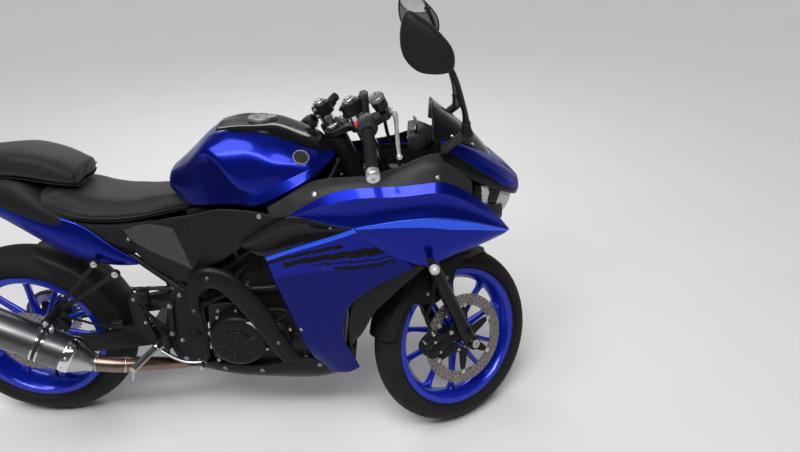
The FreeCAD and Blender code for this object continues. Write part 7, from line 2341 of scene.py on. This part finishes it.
class RearsetOperator(bpy.types.Operator):
    """Heel plates with a window, ribbed pegs, bent pedals, rods and the rear cylinder."""
    bl_idname = "motorcycle.rearsets"
    bl_label = "Rearsets"

    def execute(self, context):
        y0, y1 = PLATE_OUT + 8, PLATE_OUT + 14
        plate = join(*(slab(bar(start, end, wide), y0, y1 - shrink) for start, end, wide, shrink in
                       (((500, 500), (392, 524), 17, 0), ((392, 524), (440, 352), 22, 0.4),
                        ((440, 352), (492, 400), 24, 0.8), ((500, 500), (492, 400), 15, 1.2),
                        ((492, 402), (400, 500), 11, 1.6))))
        shield = slab(curve([(376, 470), (386, 528), (412, 520), (428, 440), (436, 376), (420, 352),
                             (398, 372), (382, 420)], 4, closed=True), y0 - 3, y0 + 0.5)
        spacers = [lathe([(PLATE_OUT, 6), (PLATE_OUT, 10), (y0, 10), (y0, 6)], (x, 0, z),
                         (0, 1, 0), n=24)
                   for x, z in ((500, 500), (492, 400))]
        add("heel_plates", both(join(plate, shield, *spacers)), BIKE, look("satin_black"),
            "chassis",
            replaces=["rearsets"], bevel=1.2)
        start, end = np.array([440.0, PLATE_OUT + 10, 352]), np.array([405.0, 262, 352])
        way = unit(end - start)
        long = float(np.linalg.norm(end - start))
        profile = [(0, 7), (0, 12), (14, 12), (18, 9)]
        for d in np.arange(22, long - 6, 7.0):
            profile += [(d, 9.5), (d + 1, 11), (d + 5, 11), (d + 6, 9.5)]
        profile += [(long - 4, 11), (long, 9.5), (long, 4)]
        peg = lathe(profile, start, way, n=24)
        feeler = lathe([(0, 4), (30, 4), (36, 3), (38, 1)], end + way * -5, (-0.15, 0.18, -1), n=12)
        pedal = sweep([(452, PLATE_OUT + 20, 342), (486, PLATE_OUT + 26, 322),
                       (524, PLATE_OUT + 30, 307),
                       (592, PLATE_OUT + 30, 308)], (9, 7, 6, 6), n=16, flat=0.7)
        toe = lathe([(0, 6), (0, 8), (10, 8), (11, 6.5), (14, 6.5), (15, 8), (36, 8), (38, 7),
                     (38, 3)],
                    (586, PLATE_OUT + 28, 308), (0, 1, 0), n=20)
        add("pegs", both(join(peg, feeler, pedal, toe)), BIKE, look("steel"), "chassis",
            angle=35)
        bolts = [hex_bolt((x, y1, z), (0, 1, 0), 7, 6) for x,
                 z in ((500, 500), (492, 400), (440, 352))]
        bolts += [hex_bolt((x, y1, z), (0, 1, 0), 5, 4) for x, z in ((394, 522), (418, 440))]
        add("heel_bolts", both(join(*bolts)), BIKE, look("screw"), "chassis")
        cylinder = lathe([(0, 8), (2, 12), (50, 12), (52, 9), (66, 8), (68, 5)],
                         (478, -PLATE_OUT - 26, 352), (-0.06, 0, 1), n=28)
        pot = lathe([(0, 10), (3, 17), (34, 17), (36, 18.5), (42, 18.5), (45, 14), (45, 3)],
                    (432, -PLATE_OUT - 26, 520), (0, 0, 1), n=32)
        feed = sweep([(474, -PLATE_OUT - 30, 404), (462, -PLATE_OUT - 40, 450),
                      (438, -PLATE_OUT - 32, 490), (432, -PLATE_OUT - 26, 522)], 4.5, n=12)
        add("rear_cylinder", join(cylinder, pot), BIKE, look("cast_black"), "chassis",
            bevel=0.5, angle=35)
        rod_ = sweep([(478, -PLATE_OUT - 26, 352), (476, -PLATE_OUT - 24, 330)], 4, n=12,
                     straight=True)
        add("rear_feed", join(feed, rod_), BIKE, look("rubber"), "chassis")
        return {"FINISHED"}


class PlateOperator(bpy.types.Operator):
    """Plate holder: bevelled arm, blank plate in its frame, two screws, lamp and a reflector."""
    bl_idname = "motorcycle.plate"
    bl_label = "Plate Holder"

    def execute(self, context):
        back = -REAR_R - 94.0
        arm = slab([(-194, 860), (-240, 864), (back + 80, 724), (back + 2, 602), (back - 6, 562),
                    (back + 8, 560), (back + 36, 612), (-232, 806)], -26, 26)
        add("plate_arm", arm, BIKE, look("plastic"), "chassis",
            replaces=["plate_holder"], bevel=5)
        foot, head = np.array([back + 4, 606.0]), np.array([back + 74, 714.0])
        up = unit((head[0] - foot[0], 0, head[1] - foot[1]))
        out = np.array([-up[2], 0, up[0]])
        mid = np.array([(foot[0] + head[0]) / 2, 0, (foot[1] + head[1]) / 2]) + out * 3.5

        def on_plate(outline, w0, w1):
            u = np.asarray(outline, float)
            return outward(aim(slab(u, w0, w1), mid, up, out))
        long = float(np.linalg.norm(head - foot))
        frame_line = oval((0, 0), long / 2, 86, 48, 14)
        add("plate_frame", on_plate(frame_line, -3.5, -0.5), BIKE, look("plastic"), "chassis",
            bevel=0.8)
        add("plate_blank", on_plate(oval((0, 0), long / 2 - 4, 82, 48, 14), -0.6, 0.8), BIKE,
            look("pale"), "chassis", bevel=0.4)
        screws = [bolt(mid + up * (long / 2 - 14) + np.array([0, y, 0]) + out * 0.6, out, 4, 2.4)
                  for y in (-40, 40)]
        add("plate_screws", join(*screws), BIKE, look("steel"), "chassis")
        lamp = slab(curve([(back + 78, 722), (back + 96, 752), (back + 84, 762), (back + 64, 730)],
                          3,
                          closed=True), -22, 22)
        add("plate_lamp", lamp, BIKE, look("satin_black"), "chassis", bevel=2)
        reflector = on_plate(oval((-long / 2 - 8, 0), 7, 22, 24, 5), -3, 3)
        add("plate_reflector", reflector, BIKE, look("red"), "chassis", bevel=1)
        return {"FINISHED"}




# ------------------------------------------------------------------ frame
PLATE_IN, PLATE_MID = 118.0, 124.0


def head_at(along, forward=0.0, y=0.0):
    """Point at a distance up the steering axis and forward of it, in the bike's space."""
    return in_bike(place([forward, y, along], FORK))


def stand_hinge():
    """Middle and direction of the side stand's pin, in the bike's space."""
    hinge = JOINTS["side_stand_fold"]
    pivot = in_bike(hinge["pos_m"])
    return pivot, unit(in_bike(np.array(hinge["pos_m"]) + hinge["axis"]) - pivot)


class StandOperator(bpy.types.Operator):
    """Side stand: eye, bent tapered leg, toe tab, rounded sole with grooves under the ankle."""
    bl_idname = "motorcycle.side_stand"
    bl_label = "Side Stand"

    def execute(self, context):
        pivot, axis = stand_hinge()
        plumb = unit(in_bike(BIKE[0] + [0, 0, 1]))
        foot = np.array([623.0, 266, 33])
        foot = foot - plumb * (place(foot, BIKE)[2] * 1000 - 0.4)
        ankle = foot + plumb * 16
        leg = sweep([pivot, pivot * 0.72 + ankle * 0.28 + [0, 2, 0],
                     pivot * 0.3 + ankle * 0.7 + [0, -1, 0],
                     ankle], (8.5, 9.5, 8.6, 8.2), n=20)
        eye = lathe([(-9, 7), (-9, 14), (-7.5, 15), (7.5, 15), (9, 14), (9, 7)], pivot, axis, n=32,
                    closed=True)
        cup = lathe([(2, 4), (4, 12), (20, 12.6), (24, 10), (25, 3)], foot, plumb, n=28)
        fore, _ = frame_of(plumb)
        sole = outward(aim(slab(oval((0, 0), 25, 25, 40, 2.6), 0, 5.5), foot, fore, plumb))
        ribs = [outward(aim(block(-20, 20, 5, 6.6, z - 1.4, z + 1.4), foot, fore, plumb))
                for z in (-15, -9, 9, 15)]
        tab = sweep([pivot * 0.25 + ankle * 0.75, pivot * 0.3 + ankle * 0.7 + [-18, 16, 4],
                     pivot * 0.3 + ankle * 0.7 + [-30, 22, 6]], (5, 4.5, 4.5), n=12)
        add("stand", join(leg, eye, cup, sole, *ribs, tab), BIKE, look("cast_grey"), "side_stand",
            replaces=["side_stand"], bevel=0.8, angle=35)
        return {"FINISHED"}


class FrameOperator(bpy.types.Operator):
    """Frame: bent tubes, pressed pivot plates with a raised edge, head tube, gussets."""
    bl_idname = "motorcycle.frame"
    bl_label = "Frame"

    def execute(self, context):
        low, high = CROWN - 185.0, CROWN - 1.0
        upper = sweep([head_at(low + 120, -20, 12), (930, 95, 800), (820, 114, 726),
                       (700, PLATE_MID, 640),
                       (560, PLATE_MID, 505)], 14, n=24, flat=0.9)
        lower = sweep([head_at(low + 35, -20, 12), (960, 119, 690), (860, PLATE_MID, 566),
                       (700, PLATE_MID, 543), (600, PLATE_MID, 500)], 13.5, n=24)
        brace = sweep([(930, 96, 798), (925, 121, 652)], 9.5, n=20, straight=True)
        rail = sweep([(560, PLATE_MID, 545), (500, 112, 630), (430, 91, 716), (330, 62, 752),
                      (90, 60, 800), (-160, 60, 850)], 11, n=20)
        stay = sweep([(540, PLATE_MID, 545), (250, 61, 740)], 9.8, n=20, straight=True)
        plate = slab(curve([(500, 288), (520, 268), (548, 264), (580, 277), (594, 310), (599, 400),
                            (597, 496), (584, 540), (566, 558), (528, 559), (504, 538), (490, 498),
                            (471, 395), (480, 330)], 4, closed=True), PLATE_IN, PLATE_OUT)
        ridge = sweep(curve([(512, PLATE_OUT, 292), (482, PLATE_OUT, 396), (502, PLATE_OUT, 496),
                             (530, PLATE_OUT, 546), (566, PLATE_OUT, 545), (586, PLATE_OUT, 490),
                             (588, PLATE_OUT, 400), (582, PLATE_OUT, 300)], 4), 3.2, n=10,
                      straight=True)
        gusset = slab([(900, 770), (932, 806), (946, 700), (920, 646)], 112, 117)
        side = join(upper, lower, brace, rail, stay, plate, ridge, gusset)
        head = lathe([(low, 24), (low, 28), (low + 8, 29), (high - 8, 29), (high, 28), (high, 24)],
                     head_at(0), head_at(1) - head_at(0), n=40, closed=True)
        cross = lathe([(-119, 9), (-119, 14), (119, 14), (119, 9)], (535, 0, 530), (0, 1, 0), n=24)
        rear = lathe([(-60, 6), (-60, 9), (60, 9), (60, 6)], (120, 0, 790), (0, 1, 0), n=20)
        pivot, axis = stand_hinge()
        lug = slab([(517, 300), (573, 300), (573, 242), (562, 198), (536, 198), (522, 250)], 116,
                   122)
        boss = lathe([(-34, 8), (-34, 13), (-13, 14), (-13, 6), (14, 6), (14, 10), (18, 9),
                      (18, 3)],
                     pivot, axis, n=28)
        add("frame_body", join(both(side), head, cross, rear, lug, boss), BIKE, look("satin_black"),
            "chassis", replaces=["frame"], bevel=2.2, angle=40)
        bolts = [hex_bolt((x, PLATE_OUT, z), (0, 1, 0), r, 5) for x, z, r in
                 ((517, 366, 6), (520, 296, 7), (560, 286, 6), (530, 530, 6))]
        bolts.append(join(lathe([(112, 9), (136, 9), (138, 12)], (737, 0, 562), (0, 1, 0), n=20),
                          hex_bolt((737, 136, 562), (0, 1, 0), 10, 7)))
        bolts.append(hex_bolt((673, 110, 641), (0, 1, 0), 6, 5))
        add("frame_bolts", both(join(*bolts)), BIKE, look("screw"), "chassis")
        self.liners()
        return {"FINISHED"}

    def liners(self):
        """Dark sheets inside the frame behind the openings in the bodywork, with pressed ribs: they
        stand in for the shade in there.
        """
        rows = [[(566, 100, 560), (566, 101, 640), (570, 102, 720), (580, 100, 800)],
                [(640, 104, 540), (640, 106, 640), (640, 107, 730), (646, 104, 812)],
                [(760, 106, 520), (760, 109, 640), (760, 109, 740), (764, 106, 814)],
                [(880, 104, 520), (884, 108, 640), (890, 108, 740), (896, 104, 826)],
                [(985, 98, 560), (990, 102, 660), (990, 100, 750), (985, 92, 836)]]
        ribs = [sweep([(x, 109, 560), (x + 8, 111, 680), (x + 20, 108, 790)], 3, n=8)
                for x in (610, 690, 770, 850)]
        flanks("liner", skin(rows, 6, 6), "rubber", [], wall=2)
        add("liner_ribs", both(join(*ribs)), BIKE, look("rubber"), "chassis")
        # A dark hump of the same kind beside the engine, standing in for shade.
        hump = [[(640, 96, 480), (640, 98, 540), (640, 96, 575)],
                [(740, 108, 486), (740, 113, 540), (740, 108, 590)],
                [(860, 106, 470), (866, 112, 560), (872, 106, 660)],
                [(960, 92, 560), (966, 98, 620), (972, 92, 700)]]
        flanks("side_shroud", skin(hump, 7, 6), "rubber", [], wall=2)


class PanelScrewOperator(bpy.types.Operator):
    """Panel screws: button heads seated on the nearest face of the panel that they hold."""
    bl_idname = "motorcycle.panel_screws"
    bl_label = "Panel Screws"

    def execute(self, context):
        heads = []
        for panel, spots in SCREWS.items():
            data = bpy.data.objects[panel].data
            points = np.empty(len(data.vertices) * 3)
            data.vertices.foreach_get("co", points)
            mesh = (in_bike(points.reshape(-1, 3)),
                    [tuple(face.vertices) for face in data.polygons])
            for x, y, z, r in spots:
                at, way = seat_on(mesh, (x, y, z))
                heads.append(bolt(at, way * (1 if way[1] * y > 0 else -1), r, r * 0.55))
        add("panel_screws", both(join(*heads)), BIKE, look("steel"), "chassis")
        return {"FINISHED"}


# panel: (x, y, z, radius) of each screw on the left side
SCREWS = {
    "side_cover_left": [(804, 182, 817, 5.5), (396, 118, 716, 5.5)],
    "inner_left": [(1294, 170, 925, 5), (960, 178, 880, 5)],
    "middle_left": [(1000, 204, 790, 3.5)],
    "flank_left": [(900, 172, 440, 4)],
}




# ------------------------------------------------------------------ pieces kept from the CAD model
KEPT = {
    "satin_black": ["front_stay", "panel_stays"],
    "steel": ["front_axle"],
    "rubber": ["brake_hose"],
}


class KeptPartsOperator(bpy.types.Operator):
    """Gives each CAD piece that stays in view its finish."""
    bl_idname = "motorcycle.kept_parts"
    bl_label = "Kept Parts"

    def execute(self, context):
        for name, nodes in KEPT.items():
            coat(nodes, look(name))
        return {"FINISHED"}


# ------------------------------------------------------------------ add-on
SETTINGS = {"motorcycle_paint": PaintSettings, "motorcycle_wheels": WheelSettings,
            "motorcycle_seats": SeatSettings, "motorcycle_stage": StageSettings}
OPERATORS = (
    StageOperator, CowlOperator, FlankOperator, InnerPanelOperator, NoseOperator, TankOperator,
    TailOperator, TyresOperator, RimsOperator, DiscsOperator, ForkOperator, ClampOperator,
    FenderOperator, CaliperOperator, BarsOperator, ControlsOperator, ScreenOperator, DashOperator,
    MirrorOperator, SignalOperator, SeatOperator, EngineOperator, GuardOperator, BellyOperator,
    CoolingOperator, SwingarmOperator, ShockOperator, HuggerOperator, RearCaliperOperator,
    ExhaustOperator, MufflerOperator, HangerOperator, RearsetOperator, PlateOperator,
    StandOperator, FrameOperator, PanelScrewOperator, KeptPartsOperator,
)


class MotorcyclePanel(bpy.types.Panel):
    """Lists the pieces in the order in which they are made."""
    bl_idname = "VIEW3D_PT_motorcycle"
    bl_label = "Sport Motorcycle"
    bl_space_type = "VIEW_3D"
    bl_region_type = "UI"
    bl_category = "Motorcycle"

    def draw(self, context):
        for name, kind in SETTINGS.items():
            group = getattr(context.scene, name)
            for field in kind.__annotations__:
                self.layout.prop(group, field)
        for kind in OPERATORS:
            self.layout.operator(kind.bl_idname)


def register():
    for name, kind in SETTINGS.items():
        bpy.utils.register_class(kind)
        setattr(bpy.types.Scene, name, bpy.props.PointerProperty(type=kind))
    for kind in (*OPERATORS, MotorcyclePanel):
        bpy.utils.register_class(kind)


def unregister():
    for kind in (MotorcyclePanel, *reversed(OPERATORS)):
        bpy.utils.unregister_class(kind)
    for name, kind in SETTINGS.items():
        delattr(bpy.types.Scene, name)
        bpy.utils.unregister_class(kind)


def main():
    register()
    for kind in OPERATORS:
        group, name = kind.bl_idname.split(".")
        getattr(getattr(bpy.ops, group), name)()


if __name__ == "__main__":
    main()
